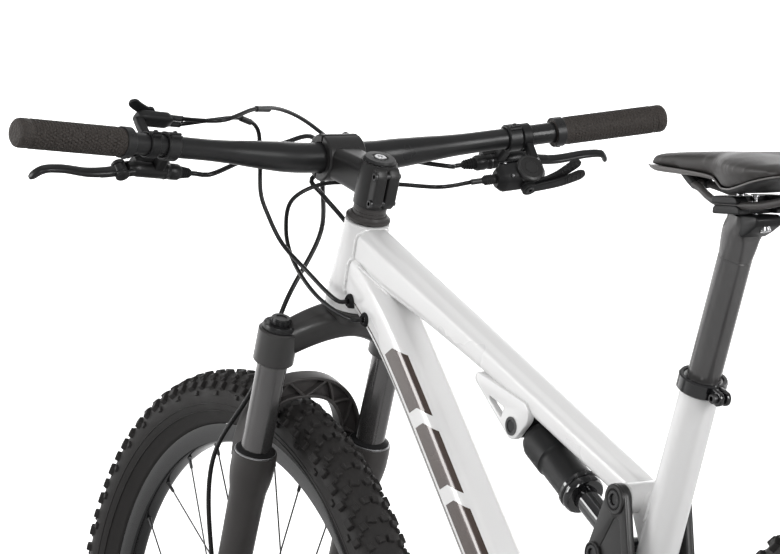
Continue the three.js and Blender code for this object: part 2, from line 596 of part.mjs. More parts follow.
function headsetCover() {
  const start = headTop + seatGap;
  const bore = holeFor(headset.steererRadius, largeSides);
  const spacerTop = stemSize.bottom - seatGap - start;
  return revolve([[bore, 0], [frame.headTopRadius, 0], [frame.headTopRadius, headset.lipHeight],
    [headset.lipRadius, headset.lipHeight], [headset.coverTopRadius, headset.coverHeight],
    [headset.spacerRadius, headset.coverHeight], [headset.spacerRadius, spacerTop], [bore, spacerTop], [bore, 0]],
  steer(start, 0, 0), steerUp, largeSides);
}
add('headset_cover', headsetCover(), mattBlack);

const barAxis = (half) => [steer(stemHeight, stemReach, -half), steer(stemHeight, stemReach, half)];

function stemBlank() {
  const middle = (stemSize.bottom + stemSize.top) / 2;
  const arm = sweep([steer(middle, stemSize.armStart, 0), steer(lerp(middle, stemHeight, 1 / 2), stemReach / 2, 0),
    steer(stemHeight, stemReach - stemSize.armNose, 0)], (share) => oval(
    lerp(stemSize.armHalfWidth, stemSize.halfWidth, share ** 2), lerp(stemSize.armHalfHeight + overrun,
      stemSize.armHalfHeight - overrun, share), middleSides, 4));
  const clamp = disc(stemSize.clampRadius, steer(stemSize.bottom, 0, 0), steer(stemSize.top, 0, 0), largeSides);
  const bolts = [stemSize.bottom + stemSize.boltInset, stemSize.top - stemSize.boltInset].map((up) =>
    disc(stemSize.boltRadius, steer(up, -stemSize.boltBack, -stemSize.boltHalf),
      steer(up, -stemSize.boltBack, stemSize.boltHalf), smallSides));
  return [arm, clamp, disc(stemSize.barClampRadius, ...barAxis(stemSize.halfWidth), middleSides), ...bolts];
}

const slab = (fromAhead, toAhead, halfWide, low, high) => sweep([steer(low, fromAhead, 0), steer(low, toAhead, 0)],
  () => [[-halfWide, 0], [halfWide, 0], [halfWide, high - low], [-halfWide, high - low]]);

function stemBody() {
  const reach = stemReach + stemSize.barClampRadius + overrun;
  const wide = stemSize.halfWidth + overrun;
  const front = slab(stemReach + stemSize.splitAhead, reach, wide, stemHeight - stemSize.barClampRadius - overrun,
    stemHeight + stemSize.barClampRadius + overrun);
  const slot = slab(-headset.steererRadius, -stemSize.boltBack - stemSize.boltRadius - overrun,
    stemSize.slotHalf, stemSize.bottom - overrun, stemSize.top + overrun);
  return cut(join(...stemBlank()), front, slot, disc(holeFor(headset.steererRadius, largeSides),
    steer(stemSize.bottom - overrun, 0, 0), steer(stemSize.top + overrun, 0, 0), largeSides),
  disc(holeFor(barRadius, middleSides), ...barAxis(wide), middleSides));
}
add('stem', stemBody(), blackAlloy);

function faceplate() {
  const wide = stemSize.halfWidth + overrun;
  const rear = slab(0, stemReach + stemSize.splitAhead + stemSize.splitGap, wide,
    stemHeight - stemSize.plateDepth, stemHeight + stemSize.plateDepth);
  const shell = cut(disc(stemSize.barClampRadius, ...barAxis(stemSize.halfWidth), middleSides),
    disc(holeFor(barRadius, middleSides), ...barAxis(wide), middleSides), rear);
  const bolts = [-1, 1].flatMap((side) => [-1, 1].map((high) => {
    const from = steer(stemHeight + high * stemSize.faceBoltUp,
      stemReach + stemSize.splitAhead + stemSize.splitGap + seatGap, side * stemSize.faceBoltOut);
    return disc(stemSize.faceBoltRadius, from, from.clone().addScaledVector(steerAhead,
      stemSize.barClampRadius - stemSize.faceBoltLength), smallSides);
  }));
  return cut(join(shell, ...bolts), disc(holeFor(barRadius, middleSides), ...barAxis(wide), middleSides));
}
add('stem_faceplate', faceplate(), blackAlloy);
add('stem_top_cap', ringOf(stemSize.capRadius, stemSize.capHole, steer(stemSize.top + seatGap, 0, 0),
  steer(stemSize.top + seatGap + stemSize.capHeight, 0, 0), largeSides), silverSteel);

// Handlebar: a butted alloy bar that rises and sweeps back beside the stem
const bar = { endRadius: 11.1, endInset: 4 };
const barRiseShares = [[0, 0], [0.1, 0], [0.16, 0.045], [1, 1]];
const barBackShares = [[0, 0], [0.11, 0], [0.34, 0.15], [1, 1]];
const barTaperShares = [[0, 1], [0.2, 1], [0.42, 0], [1, 0]];

const barAt = (across) => {
  const share = Math.abs(across) / barHalfWidth;
  return vec(barCentre.x - barBackset * along(barBackShares, share), across,
    barCentre.z + barRise * along(barRiseShares, share));
};

function handlebar() {
  const half = [0, 0.11, 0.2, 0.27, 0.34, 0.42, 1 - bar.endInset / barHalfWidth];
  const shares = [...half.slice(1).reverse().map((share) => -share), ...half];
  const rings = shares.map((share) => barAt(share * barHalfWidth));
  let at = 0;
  return sweep(rings, () => {
    const radius = lerp(bar.endRadius, barRadius, along(barTaperShares, Math.abs(shares[at])));
    at += 1;
    return oval(radius, radius, middleSides);
  }, upward);
}
add('handlebar', handlebar(), mattBlack);

// Grips: rubber sleeves with a closed end and a lock collar
const grip = { length: 134, radius: 15.3, collarRadius: 16.2, collarLength: 11, groove: 1.2, endLength: 12,
  cap: 3, capRadius: 13 };
const gripInner = barHalfWidth - grip.length;

function gripSleeve(hand) {
  const { length, radius, collarRadius, collarLength, groove, endLength, cap } = grip;
  const from = barAt(hand * (barHalfWidth - length));
  const to = barAt(hand * barHalfWidth);
  const bore = holeFor(bar.endRadius, middleSides);
  const reach = to.distanceTo(from);
  const profile = [[bore, 0], [collarRadius, 0], [collarRadius, collarLength], [radius - groove, collarLength],
    [radius - groove, collarLength + groove], [radius, collarLength + 2 * groove],
    [radius, reach - endLength - groove], [radius - groove, reach - endLength], [collarRadius, reach - endLength + groove],
    [collarRadius, reach - cap], [grip.capRadius, reach], [0, reach], [0, reach - cap], [bore, reach - cap],
    [bore, 0]];
  return revolve(profile, from, to.clone().sub(from), middleSides);
}
add('grip_left', gripSleeve(1), gripRubber);
add('grip_right', gripSleeve(-1), gripRubber);

// Brake levers: a clamp on the bar, a master cylinder with its reservoir, and a hooked blade
const brakeInset = { clamp: 48, cylinderIn: 90, cylinderOut: 12, pivot: 6, bladeReach: 94 };
const brake = {
  clampAcross: gripInner - brakeInset.clamp, clampWidth: 15, clampRadius: 15, tilt: 42,
  cylinderIn: gripInner - brakeInset.cylinderIn, cylinderOut: gripInner - brakeInset.cylinderOut,
  cylinderOffset: 37, cylinderRadius: 8.5, reservoirHalf: 9, reservoirLength: 42, reservoirHeight: 16,
  bootLength: 15, bootRadius: 6.5, bootTip: 4, pivotAcross: gripInner - brakeInset.pivot, pivotOffset: 41, knuckleRadius: 7,
  knuckleHalf: 4.6, earHalf: 9, earRadius: 7.5, pinRadius: 2.5, armHalf: 7, bladeHalfWidth: 4.4,
  bladeHalfHeight: 6, bladeEnd: gripInner + brakeInset.bladeReach, bladeOffset: 49, hookOffset: 64, bladeThin: 3,
};
const leverAhead = vec(Math.cos(radians(brake.tilt)), 0, -Math.sin(radians(brake.tilt)));
const leverNormal = vec(Math.sin(radians(brake.tilt)), 0, Math.cos(radians(brake.tilt)));
const offBar = (across, offset, rise = 0) => barAt(across).addScaledVector(leverAhead, offset)
  .addScaledVector(leverNormal, rise);

function barClamp(across, width, outer) {
  const axis = barAt(across + width / 2).sub(barAt(across - width / 2));
  const from = barAt(across - width / 2);
  return ringOf(outer, holeFor(bar.endRadius, middleSides), from, from.clone().add(axis), middleSides);
}

function brakeBody(hand) {
  const { cylinderIn, cylinderOut, cylinderOffset, clampAcross, knuckleHalf, earHalf } = brake;
  const cylinder = revolve([[0, 0], [brake.bootTip, 0], [brake.bootRadius, brake.bootLength],
    [brake.cylinderRadius, brake.bootLength], [brake.cylinderRadius, cylinderOut - cylinderIn], [0,
      cylinderOut - cylinderIn]], offBar(hand * cylinderIn, cylinderOffset),
  offBar(hand * cylinderOut, cylinderOffset).sub(offBar(hand * cylinderIn, cylinderOffset)), smallSides);
  const reservoirMiddle = (cylinderIn + cylinderOut + brake.bootLength) / 2;
  const reservoir = sweep([-1, 1].map((end) => offBar(hand * (reservoirMiddle + end * brake.reservoirLength / 2),
    cylinderOffset, brake.reservoirHeight / 2)), () => oval(brake.reservoirHeight / 2, brake.reservoirHalf, smallSides, 4),
  leverNormal);
  const arm = sweep([offBar(hand * clampAcross, bar.endRadius + seatGap + overrun),
    offBar(hand * clampAcross, cylinderOffset)], () => oval(brake.armHalf, brake.armHalf, smallSides, 4), left);
  const lug = (from, to, radius) => disc(radius, offBar(hand * brake.pivotAcross, brake.pivotOffset, from),
    offBar(hand * brake.pivotAcross, brake.pivotOffset, to), smallSides);
  const bracketArm = sweep([offBar(hand * (cylinderOut - brake.armHalf), cylinderOffset),
    offBar(hand * brake.pivotAcross, brake.pivotOffset)], () => oval(earHalf, brake.armHalf - overrun, smallSides, 4),
  leverNormal);
  const slot = disc(brake.knuckleRadius + brake.earRadius / 2, offBar(hand * brake.pivotAcross, brake.pivotOffset,
    -knuckleHalf - seatGap), offBar(hand * brake.pivotAcross, brake.pivotOffset, knuckleHalf + seatGap), smallSides);
  return join(cut(join(cylinder, reservoir, arm, bracketArm, lug(-earHalf, earHalf, brake.earRadius)), slot),
    lug(-earHalf + overrun, earHalf - overrun, brake.pinRadius), barClamp(hand * clampAcross, brake.clampWidth,
      brake.clampRadius));
}

function brakeLever(hand) {
  const { pivotAcross, pivotOffset, bladeEnd, bladeOffset, hookOffset } = brake;
  const knuckle = disc(brake.knuckleRadius, offBar(hand * pivotAcross, pivotOffset, -brake.knuckleHalf),
    offBar(hand * pivotAcross, pivotOffset, brake.knuckleHalf), smallSides);
  const reach = bladeEnd - pivotAcross;
  const path = smooth([[0, pivotOffset], [0.12, lerp(pivotOffset, bladeOffset, 0.55)], [0.35, bladeOffset],
    [0.7, bladeOffset - overrun], [0.9, bladeOffset + overrun], [1, hookOffset]].map(([share, offset]) =>
    offBar(hand * (pivotAcross + reach * share), offset)), 6);
  const blade = sweep(path, (share) => oval(brake.bladeHalfHeight * (1 - share / 4),
    lerp(brake.bladeHalfWidth, brake.bladeThin, share), smallSides, 2.6), leverNormal);
  const bore = disc(holeFor(brake.pinRadius, smallSides), offBar(hand * pivotAcross, pivotOffset, -brake.earHalf),
    offBar(hand * pivotAcross, pivotOffset, brake.earHalf), smallSides);
  const flat = (sign) => disc(brake.knuckleRadius + brake.earRadius, offBar(hand * pivotAcross, pivotOffset,
    sign * brake.knuckleHalf), offBar(hand * pivotAcross, pivotOffset, sign * (brake.earHalf + overrun)), smallSides);
  return cut(join(knuckle, blade), bore, flat(1), flat(-1));
}
for (const [side, hand] of [['left', 1], ['right', -1]]) {
  add(`brake_body_${side}`, brakeBody(hand), blackAlloy);
  add(`brake_lever_${side}`, brakeLever(hand), mattBlack);
}

// Tyres: a treaded ring whose blocks alternate round the crown and shoulders
const tyre = { beadRadius: 311.4, beadHalf: 13.5, sideHalf: 29, sideRadius: 341, crownHalf: 13, blockHeight: 3.5,
  shoulderHalf: 30.5, shoulderRadius: 350, midHalf: 22, midRadius: 362, innerRadius: 318, innerHalf: 11 };
const treadBlockCount = 20;

function tyreRing(axle) {
  const rings = [];
  for (let i = 0; i < 2 * treadBlockCount; i++) {
    const turn = (i / (2 * treadBlockCount)) * 2 * Math.PI;
    const high = i % 2 === 0 ? 0 : tyre.blockHeight;
    const low = tyre.blockHeight - high;
    const outline = [[tyre.beadRadius, tyre.beadHalf], [tyre.sideRadius, tyre.sideHalf],
      [tyre.shoulderRadius, tyre.shoulderHalf - high / 2], [tyre.midRadius, tyre.midHalf - low / 2],
      [tyreRadius - high, tyre.crownHalf - low], [tyreRadius - high, low - tyre.crownHalf],
      [tyre.midRadius, low / 2 - tyre.midHalf], [tyre.shoulderRadius, high / 2 - tyre.shoulderHalf],
      [tyre.sideRadius, -tyre.sideHalf], [tyre.beadRadius, -tyre.beadHalf]];
    rings.push(outline.map(([radius, across]) => vec(axle.x + radius * Math.cos(turn), across,
      axle.z + radius * Math.sin(turn))));
  }
  return loft(rings, true);
}

// Rims, and the crossed spokes on a thin hoop of nipples that fits inside each rim
const rim = { hoopRadius: 289, hoopThick: 1.6, hoopHalf: 5, bedHalf: 9, halfWidth: 12.5, spokeHalf: 1, headInset: 2.5,
  headOut: 1.9 };
const spokeCount = 28;
const crossedHoleCount = 5;

function rimRing(axle) {
  const outer = tyre.beadRadius * Math.cos(Math.PI / (2 * treadBlockCount)) - seatGap;
  const inner = rim.hoopRadius + rim.hoopThick + layerGap;
  const outline = [[inner, rim.bedHalf], [outer, rim.halfWidth], [outer, -rim.halfWidth], [inner, -rim.bedHalf]];
  return loft(Array.from({ length: spokeCount }, (_, i) => {
    const turn = (i / spokeCount) * 2 * Math.PI;
    return outline.map(([radius, across]) => vec(axle.x + radius * Math.cos(turn), across,
      axle.z + radius * Math.sin(turn)));
  }), true);
}

// Joins each spoke's small square face in the hoop to its head beside the hub flange
function lacedSpokes(axle, hubSize) {
  const { hoopRadius: innerRadius, spokeHalf } = rim;
  const outer = innerRadius + rim.hoopThick;
  const outline = [[innerRadius, spokeHalf], [outer, rim.hoopHalf], [outer, -rim.hoopHalf],
    [innerRadius, -spokeHalf]];
  const count = outline.length;
  const points = [];
  const index = [];
  const polar = (radius, turn, across) => vec(axle.x + radius * Math.cos(turn), across,
    axle.z + radius * Math.sin(turn));
  for (let i = 0; i < spokeCount; i++) {
    const turn = (i / spokeCount) * 2 * Math.PI;
    for (const side of [-1, 1]) {
      const at = turn + side * spokeHalf / innerRadius;
      points.push(...outline.map(([radius, across]) => polar(radius, at, across)));
    }
    const hand = i % 2 ? 1 : -1;
    const lean = i % 4 < 2 ? 1 : -1;
    const hubTurn = turn + lean * crossedHoleCount * (2 * Math.PI / spokeCount);
    const holeAt = hubSize.flangeRadius - rim.headInset;
    const flangeFace = (hand > 0 ? hubSize.flangeLeft : hubSize.flangeRight) + hubSize.flangeThick + rim.headOut;
    const skew = vec(Math.sin(turn), 0, -Math.cos(turn));
    const head = polar(holeAt, hubTurn, hand * (flangeFace + spokeHalf));
    const corners = [[-1, 1], [1, 1], [1, -1], [-1, -1]].map(([aside, across]) =>
      head.clone().addScaledVector(skew, -aside * spokeHalf).addScaledVector(left, across * spokeHalf));
    points.push(...corners);
  }
  const block = 2 * count + 4;
  for (let i = 0; i < spokeCount; i++) {
    const here = i * block;
    const next = ((i + 1) % spokeCount) * block;
    const quad = (a, b, c, d) => index.push(a, b, c, a, c, d);
    for (let j = 0; j < count; j++) {
      const k = (j + 1) % count;
      if (j < count - 1) quad(here + j, here + k, here + count + k, here + count + j);
      quad(here + count + j, here + count + k, next + k, next + j);
    }
    const root = [here, here + count, here + 2 * count - 1, here + count - 1];
    const tip = [0, 1, 2, 3].map((corner) => here + 2 * count + corner);
    for (let j = 0; j < 4; j++) quad(root[j], root[(j + 1) % 4], tip[(j + 1) % 4], tip[j]);
    quad(...tip);
  }
  return meshOf(points, index);
}

// Hubs: a flanged shell on its bearings, with a seat for the brake disc
const frontHub = { shellRadius: 16, waistRadius: 13, flangeLeft: 26, flangeRight: 36, flangeRadius: 29,
  flangeThick: 4, discSeat: 21, endRadius: 12.5 };
const rearHub = { shellRadius: 18, waistRadius: 15, flangeLeft: 33, flangeRight: 21, flangeRadius: 30,
  flangeThick: 4, discSeat: 21, endRadius: 14 };

function hub(axle, size, axleShaft, from, to, seatEnd) {
  const at = (across) => across - from;
  const bore = holeFor(axleShaft, middleSides);
  const { flangeLeft, flangeRight, flangeThick, flangeRadius, waistRadius, shellRadius } = size;
  return revolve([[bore, 0], [size.endRadius, 0], [shellRadius, at(-flangeRight - flangeThick)],
    [flangeRadius, at(-flangeRight - flangeThick)], [flangeRadius, at(-flangeRight)],
    [waistRadius, at(flangeThick - flangeRight)], [waistRadius, at(flangeLeft - flangeThick)],
    [flangeRadius, at(flangeLeft)], [flangeRadius, at(flangeLeft + flangeThick)],
    [size.discSeat, at(flangeLeft + flangeThick)], [size.discSeat, at(seatEnd)], [size.endRadius, at(seatEnd)],
    [size.endRadius, at(to)], [bore, at(to)], [bore, 0]], beside(axle, from), left, middleSides);
}

// Disc rotors: a vented brake track on curved arms round the hub
const rotorArmCount = 6;
const rotor = { trackWidth: 15, windowInner: 27, bore: 16 };

function rotorDisc(axle, discRadius, discAcross, thickness) {
  const inner = discRadius - rotor.trackWidth;
  const sides = 18;
  const outline = circle(axle.x, axle.z, discRadius, sides);
  const gapStep = (2 * Math.PI) / rotorArmCount;
  const windows = Array.from({ length: rotorArmCount }, (_, i) => {
    const from = (i + 1 / 7) * gapStep;
    const spread = gapStep * 0.72;
    const outerArc = [0, 0.5, 1].map((share) => [inner, from + spread * share]);
    const innerArc = [1, 0].map((share) => [rotor.windowInner,
      from + spread * 0.5 * (share + 1 / 2) + gapStep / 3]);
    return [...outerArc, ...innerArc].map(([radius, turn]) => [axle.x + radius * Math.cos(turn),
      axle.z + radius * Math.sin(turn)]);
  });
  return plate(outline, discAcross - thickness, discAcross + thickness,
    [circle(axle.x, axle.z, rotor.bore, middleSides), ...windows]);
}

add('front_tyre', tyreRing(frontAxle), tyreRubber);
add('front_rim', rimRing(frontAxle), mattBlack);
add('front_spokes', lacedSpokes(frontAxle, frontHub), glossBlack);
add('front_hub', hub(frontAxle, frontHub, fork.axleRadius, -frontHubWidth / 2 + seatGap,
  frontHubWidth / 2 - seatGap, frontBrake.discAcross - frontBrake.discHalfThickness - seatGap), blackAlloy);
add('front_rotor', rotorDisc(frontAxle, frontBrake.discRadius, frontBrake.discAcross,
  frontBrake.discHalfThickness), silverSteel);

// Rear end: chainstays on the main pivot, seatstays from the dropouts to the rocker, and the shock between
const stay = {
  pivotInner: 29.3, pivotOuter: 43, pivotRadius: 15, yokeAhead: 6, stayHalfWidth: 4.6, stayHalfHeight: 15,
  tailHalfHeight: 11, dropoutInner: 74.3, dropoutOuter: 84, axleRadius: 6, dropoutRadius: 15,
  hornBack: -13.5, hornUp: 27, hornRadius: 9, hornHalf: 4.5, pinRadius: 4, bridgeBack: 222, bridgeUp: 15,
  bridgeHalfHeight: 9, bridgeHalfDepth: 7, axleHead: 5,
};
const chainstayAcrossShares = [[0, 0.435], [0.14, 0.44], [0.3, 0.48], [0.62, 0.7], [0.85, 0.985], [1, 0.99]];
const chainstayLiftShares = [[0, 0], [0.3, 0.012], [0.62, 0.02], [1, 0]];
const hornPivot = vec(rearAxle.x - stay.hornBack, 0, rearAxle.z + stay.hornUp);

// Places of the rear brake, which the left dropout carries
const rearBrake = { discRadius: 80, discHalfThickness: 0.9, discAcross: 57, slotHalf: 1.8, bodyInner: 46,
  bodyOuter: 70, bodyRadius: 12, slotReach: 30, earRadius: 6.5, banjoRadius: 3.5, banjoLength: 8,
  highAhead: 52, highUp: 52, lowAhead: 72, lowUp: 29 };
const rearCaliperHigh = vec(rearAxle.x + rearBrake.highAhead, 0, rearAxle.z + rearBrake.highUp);
const rearCaliperLow = vec(rearAxle.x + rearBrake.lowAhead, 0, rearAxle.z + rearBrake.lowUp);
const rearBanjo = rearCaliperHigh.clone().addScaledVector(left, (rearBrake.bodyInner + rearBrake.bodyOuter) / 2
  - rearBrake.banjoRadius - rearBrake.slotHalf).addScaledVector(steerUp, rearBrake.bodyRadius - overrun);

function chainstayArm(hand) {
  const run = rearAxle.clone().sub(mainPivot);
  const across = (stay.dropoutInner + stay.dropoutOuter) / 2;
  const path = [0, 0.14, 0.3, 0.46, 0.62, 0.74, 0.85, 0.97].map((share) => mainPivot.clone()
    .addScaledVector(run, share).addScaledVector(upward, along(chainstayLiftShares, share) * run.length())
    .addScaledVector(left, hand * across * along(chainstayAcrossShares, share)));
  return sweep(path, (share) => oval(stay.stayHalfWidth, lerp(stay.stayHalfHeight, stay.tailHalfHeight, share),
    smallSides, 3), left);
}

function chainstays() {
  const dropout = (hand) => {
    const [near, far] = hand > 0 ? [stay.dropoutInner, stay.dropoutOuter]
      : [-stay.dropoutOuter, -stay.dropoutInner];
    return plate(strap([[rearAxle.x, rearAxle.z, stay.dropoutRadius], [hornPivot.x, hornPivot.z, stay.hornRadius]],
      middleSides), near, far);
  };
  const knuckle = (hand) => disc(stay.pivotRadius, beside(mainPivot, hand * stay.pivotInner),
    beside(mainPivot, hand * stay.pivotOuter), middleSides);
  const pivotAxle = disc(pivotAxleRadius, beside(mainPivot, -stay.pivotInner - overrun),
    beside(mainPivot, stay.pivotInner + overrun), middleSides);
  const wheelAxle = disc(stay.axleRadius, beside(rearAxle, -stay.dropoutOuter),
    beside(rearAxle, stay.dropoutOuter + stay.axleHead), middleSides);
  const pinBore = disc(holeFor(stay.pinRadius, smallSides), beside(hornPivot, -stay.dropoutOuter - overrun),
    beside(hornPivot, stay.dropoutOuter + overrun), smallSides);
  const brakeMount = plate(strap([[rearCaliperHigh.x, rearCaliperHigh.z, rearBrake.earRadius], [rearCaliperLow.x,
    rearCaliperLow.z, rearBrake.earRadius], [rearCaliperHigh.x, mainPivot.z - stay.stayHalfHeight,
    rearBrake.earRadius]], smallSides), rearBrake.bodyOuter + seatGap, stay.dropoutInner + overrun);
  return cut(join(chainstayArm(1), brakeMount, chainstayArm(-1), knuckle(1), knuckle(-1), pivotAxle, wheelAxle, dropout(1),
    dropout(-1)), pinBore);
}
add('chainstays', chainstays(), mattBlack);

const rocker = { armInner: 28.6, armOuter: 38, topRadius: 14.5, stayRadius: 13, eyeRadius: 12, footBack: 9,
  footDrop: 85.5, braceRadius: 6.5, braceAhead: 43, braceDrop: 74.5, headRadius: 9, headLength: 2.5,
  staySideGap: 0.7, stayEyeThick: 8, stayEyeRadius: 12 };
const rockerFoot = vec(rockerPivot.x - rocker.footBack, 0, rockerPivot.z - rocker.footDrop);
const rockerBrace = vec(rockerPivot.x + rocker.braceAhead, 0, rockerPivot.z - rocker.braceDrop);
const stayEyeInner = rocker.armOuter + rocker.staySideGap;
const stayEyeOuter = stayEyeInner + rocker.stayEyeThick;

function rockerLink() {
  const outline = strap([[rockerPivot.x, rockerPivot.z, rocker.topRadius], [rockerFoot.x, rockerFoot.z,
    rocker.stayRadius], [shockRear.x, shockRear.z, rocker.eyeRadius], [rockerBrace.x, rockerBrace.z,
    rocker.braceRadius]], middleSides);
  const arm = plate(outline, rocker.armInner, rocker.armOuter);
  const across = (point, radius, half, sides) => disc(radius, beside(point, -half), beside(point, half), sides);
  const proud = rocker.armOuter + rocker.headLength;
  const head = (point, radius, from, to) => [disc(radius, beside(point, from), beside(point, to), middleSides),
    disc(radius, beside(point, -to), beside(point, -from), middleSides)];
  return join(arm, mirrored(arm), across(rockerBrace, rocker.braceRadius, rocker.armInner + overrun, smallSides),
    across(rockerPivot, pivotAxleRadius, rocker.armInner + overrun, middleSides),
    ...head(rockerPivot, rocker.headRadius, rocker.armInner + overrun, proud),
    ...head(shockRear, rocker.headRadius, rocker.armInner + overrun, proud));
}
add('rocker_link', rockerLink(), blackAlloy);

const seatstaySwingShares = [[0, 1.02], [0.2, 0.94], [0.5, 0.72], [0.72, 0.55], [0.88, 0.53], [1, 0.53]];
const seatstaySagShares = [[0, 0], [0.25, -0.055], [0.5, -0.085], [0.72, -0.08], [0.88, -0.05], [1, 0]];

function seatstays() {
  const run = rockerFoot.clone().sub(hornPivot);
  const down = run.clone().normalize().cross(left).negate();
  const below = down.z < 0 ? down : down.negate();
  const across = stay.dropoutOuter + layerGap + stay.hornHalf;
  const at = (share, hand) => hornPivot.clone().addScaledVector(run, share)
    .addScaledVector(below, -along(seatstaySagShares, share) * run.length())
    .addScaledVector(left, hand * across * along(seatstaySwingShares, share));
  const arm = (hand) => sweep([0, 0.1, 0.2, 0.35, 0.5, 0.62, 0.72, 0.88, 1].map((share) => at(share, hand)),
    (share) => oval(stay.hornHalf, lerp(stay.hornRadius - overrun, stay.stayHalfHeight - overrun, share), smallSides,
      3), left);
  const eye = (hand) => disc(rocker.stayEyeRadius, beside(rockerFoot, hand * stayEyeInner),
    beside(rockerFoot, hand * stayEyeOuter), middleSides);
  const horn = (hand) => disc(stay.hornRadius, beside(hornPivot, hand * (stay.dropoutOuter + layerGap)),
    beside(hornPivot, hand * (stay.dropoutOuter + layerGap + 2 * stay.hornHalf)), middleSides);
  const pin = (hand) => disc(stay.pinRadius, beside(hornPivot, hand * (stay.dropoutInner + layerGap)),
    beside(hornPivot, hand * (stay.dropoutOuter + stay.hornHalf)), smallSides);
  const bridgeAt = at(0.83, 0);
  const half = across * along(seatstaySwingShares, 0.83);
  const bridge = sweep([beside(bridgeAt, -half), beside(bridgeAt, half)], () => oval(stay.bridgeHalfDepth,
    stay.bridgeHalfHeight, smallSides, 3), upward);
  return join(arm(1), arm(-1), eye(1), eye(-1), horn(1), horn(-1), pin(1), pin(-1), bridge);
}
add('seatstays', seatstays(), mattBlack);

// Shock: an air can hung from the tabs, and a damper shaft that slides into it from the rocker
const shock = { canRadius: 20, canStart: 17, canEnd: 112, headRadius: 15, headStep: 30, collarRadius: 21.5,
  collarLength: 7, shaftRadius: 12, shaftStart: 52, eyeHalf: 12.4, eyeRadius: 12, bore: 5, spacerHalf: 28,
  spacerRadius: 9, stroke: 42, neckRadius: 8 };
const onShock = (down, across = 0) => shockFront.clone().addScaledVector(shockDown, down)
  .addScaledVector(left, across);

function shockBody() {
  const length = shock.canEnd - shock.canStart;
  const lip = length - 2 * shock.collarLength;
  const can = revolve([[0, 0], [shock.headRadius, 0], [shock.canRadius, shock.headStep - shock.canStart],
    [shock.canRadius, lip], [shock.collarRadius, lip], [shock.collarRadius, lip + shock.collarLength],
    [shock.canRadius - 1, lip + shock.collarLength], [shock.canRadius - 1, length],
    [holeFor(shock.shaftRadius, middleSides), length], [holeFor(shock.shaftRadius, middleSides),
      length - 2 * shock.collarLength - shock.stroke], [0, length - 2 * shock.collarLength - shock.stroke]],
  onShock(shock.canStart), shockDown, middleSides);
  const eye = disc(shock.eyeRadius, onShock(0, -shock.eyeHalf), onShock(0, shock.eyeHalf), middleSides);
  const neck = disc(shock.headRadius - 2 * overrun, onShock(0), onShock(shock.canStart + overrun), middleSides);
  return cut(join(can, neck, eye), disc(holeFor(boltRadius, middleSides), onShock(0, -shock.eyeHalf - overrun),
    onShock(0, shock.eyeHalf + overrun), middleSides));
}
add('shock_body', shockBody(), glossBlack);

function shockShaft() {
  const start = shock.canEnd - 2 * shock.collarLength - shock.stroke + shock.stroke;
  const shaft = disc(shock.shaftRadius, onShock(start), onShock(shockLength - shock.neckRadius), middleSides);
  const eye = disc(shock.eyeRadius, onShock(shockLength, -shock.eyeHalf), onShock(shockLength, shock.eyeHalf),
    middleSides);
  const spacer = disc(shock.spacerRadius, onShock(shockLength, -shock.spacerHalf),
    onShock(shockLength, shock.spacerHalf), middleSides);
  return join(shaft, eye, spacer);
}
add('shock_shaft', shockShaft(), glossBlack);

// Rear brake caliper inside the dropout triangle
add('rear_caliper', calliper(rearBrake, rearCaliperHigh, rearCaliperLow, [rearCaliperHigh, rearCaliperLow],
  rearAxle, 1, rearBanjo), blackAlloy);

// Rear wheel: the same tyre and rim, a wider hub, and a cassette on the driver side

const cassette = { cogHalf: 0.75, bigOuter: 103, bigInner: 54, bigStart: 33.5, bigEnd: 48.6, smallStart: 55.4,
  smallOuter: 36, smallInner: 22, smallEnd: 71.5, coreRadius: 28, holderRadius: 16, stepHalf: 7.5 };

add('rear_tyre', tyreRing(rearAxle), tyreRubber);
add('rear_rim', rimRing(rearAxle), mattBlack);
add('rear_spokes', lacedSpokes(rearAxle, rearHub), glossBlack);
add('rear_hub', hub(rearAxle, rearHub, stay.axleRadius, seatGap - cassette.bigStart,
  rearHubWidth / 2 - seatGap, rearBrake.discAcross - rearBrake.discHalfThickness - seatGap), blackAlloy);
add('rear_rotor', rotorDisc(rearAxle, rearBrake.discRadius, rearBrake.discAcross,
  rearBrake.discHalfThickness), silverSteel);

// Chain drive: pitch circles are set by tooth counts, so the chain meshes on every sprocket
const pitchRadius = (teeth) => (teeth * chainPitch) / (2 * Math.PI);
const chainringRadius = pitchRadius(chainringTeethCount);
const cogRadius = pitchRadius(cogTeethCount);
const pulleyRadius = pitchRadius(pulleyTeethCount);
const chain = { halfHeight: 4.2, halfWidth: 2.5, channelHalf: 1.15, webInner: 3.3, webOuter: 4, toothTop: 1.3, toothRoot: 3.4 };

// Rear derailleur places: the body hangs from the dropout and the cage swings on its foot
const mech = { footAhead: 20, footDrop: 62, guideAhead: 10, guideDrop: 12, cageAngle: 62, cageLength: 86 };
const mechFoot = vec(rearAxle.x + mech.footAhead, 0, rearAxle.z - mech.footDrop);
const guidePulley = vec(mechFoot.x + mech.guideAhead, 0, mechFoot.z - mech.guideDrop);

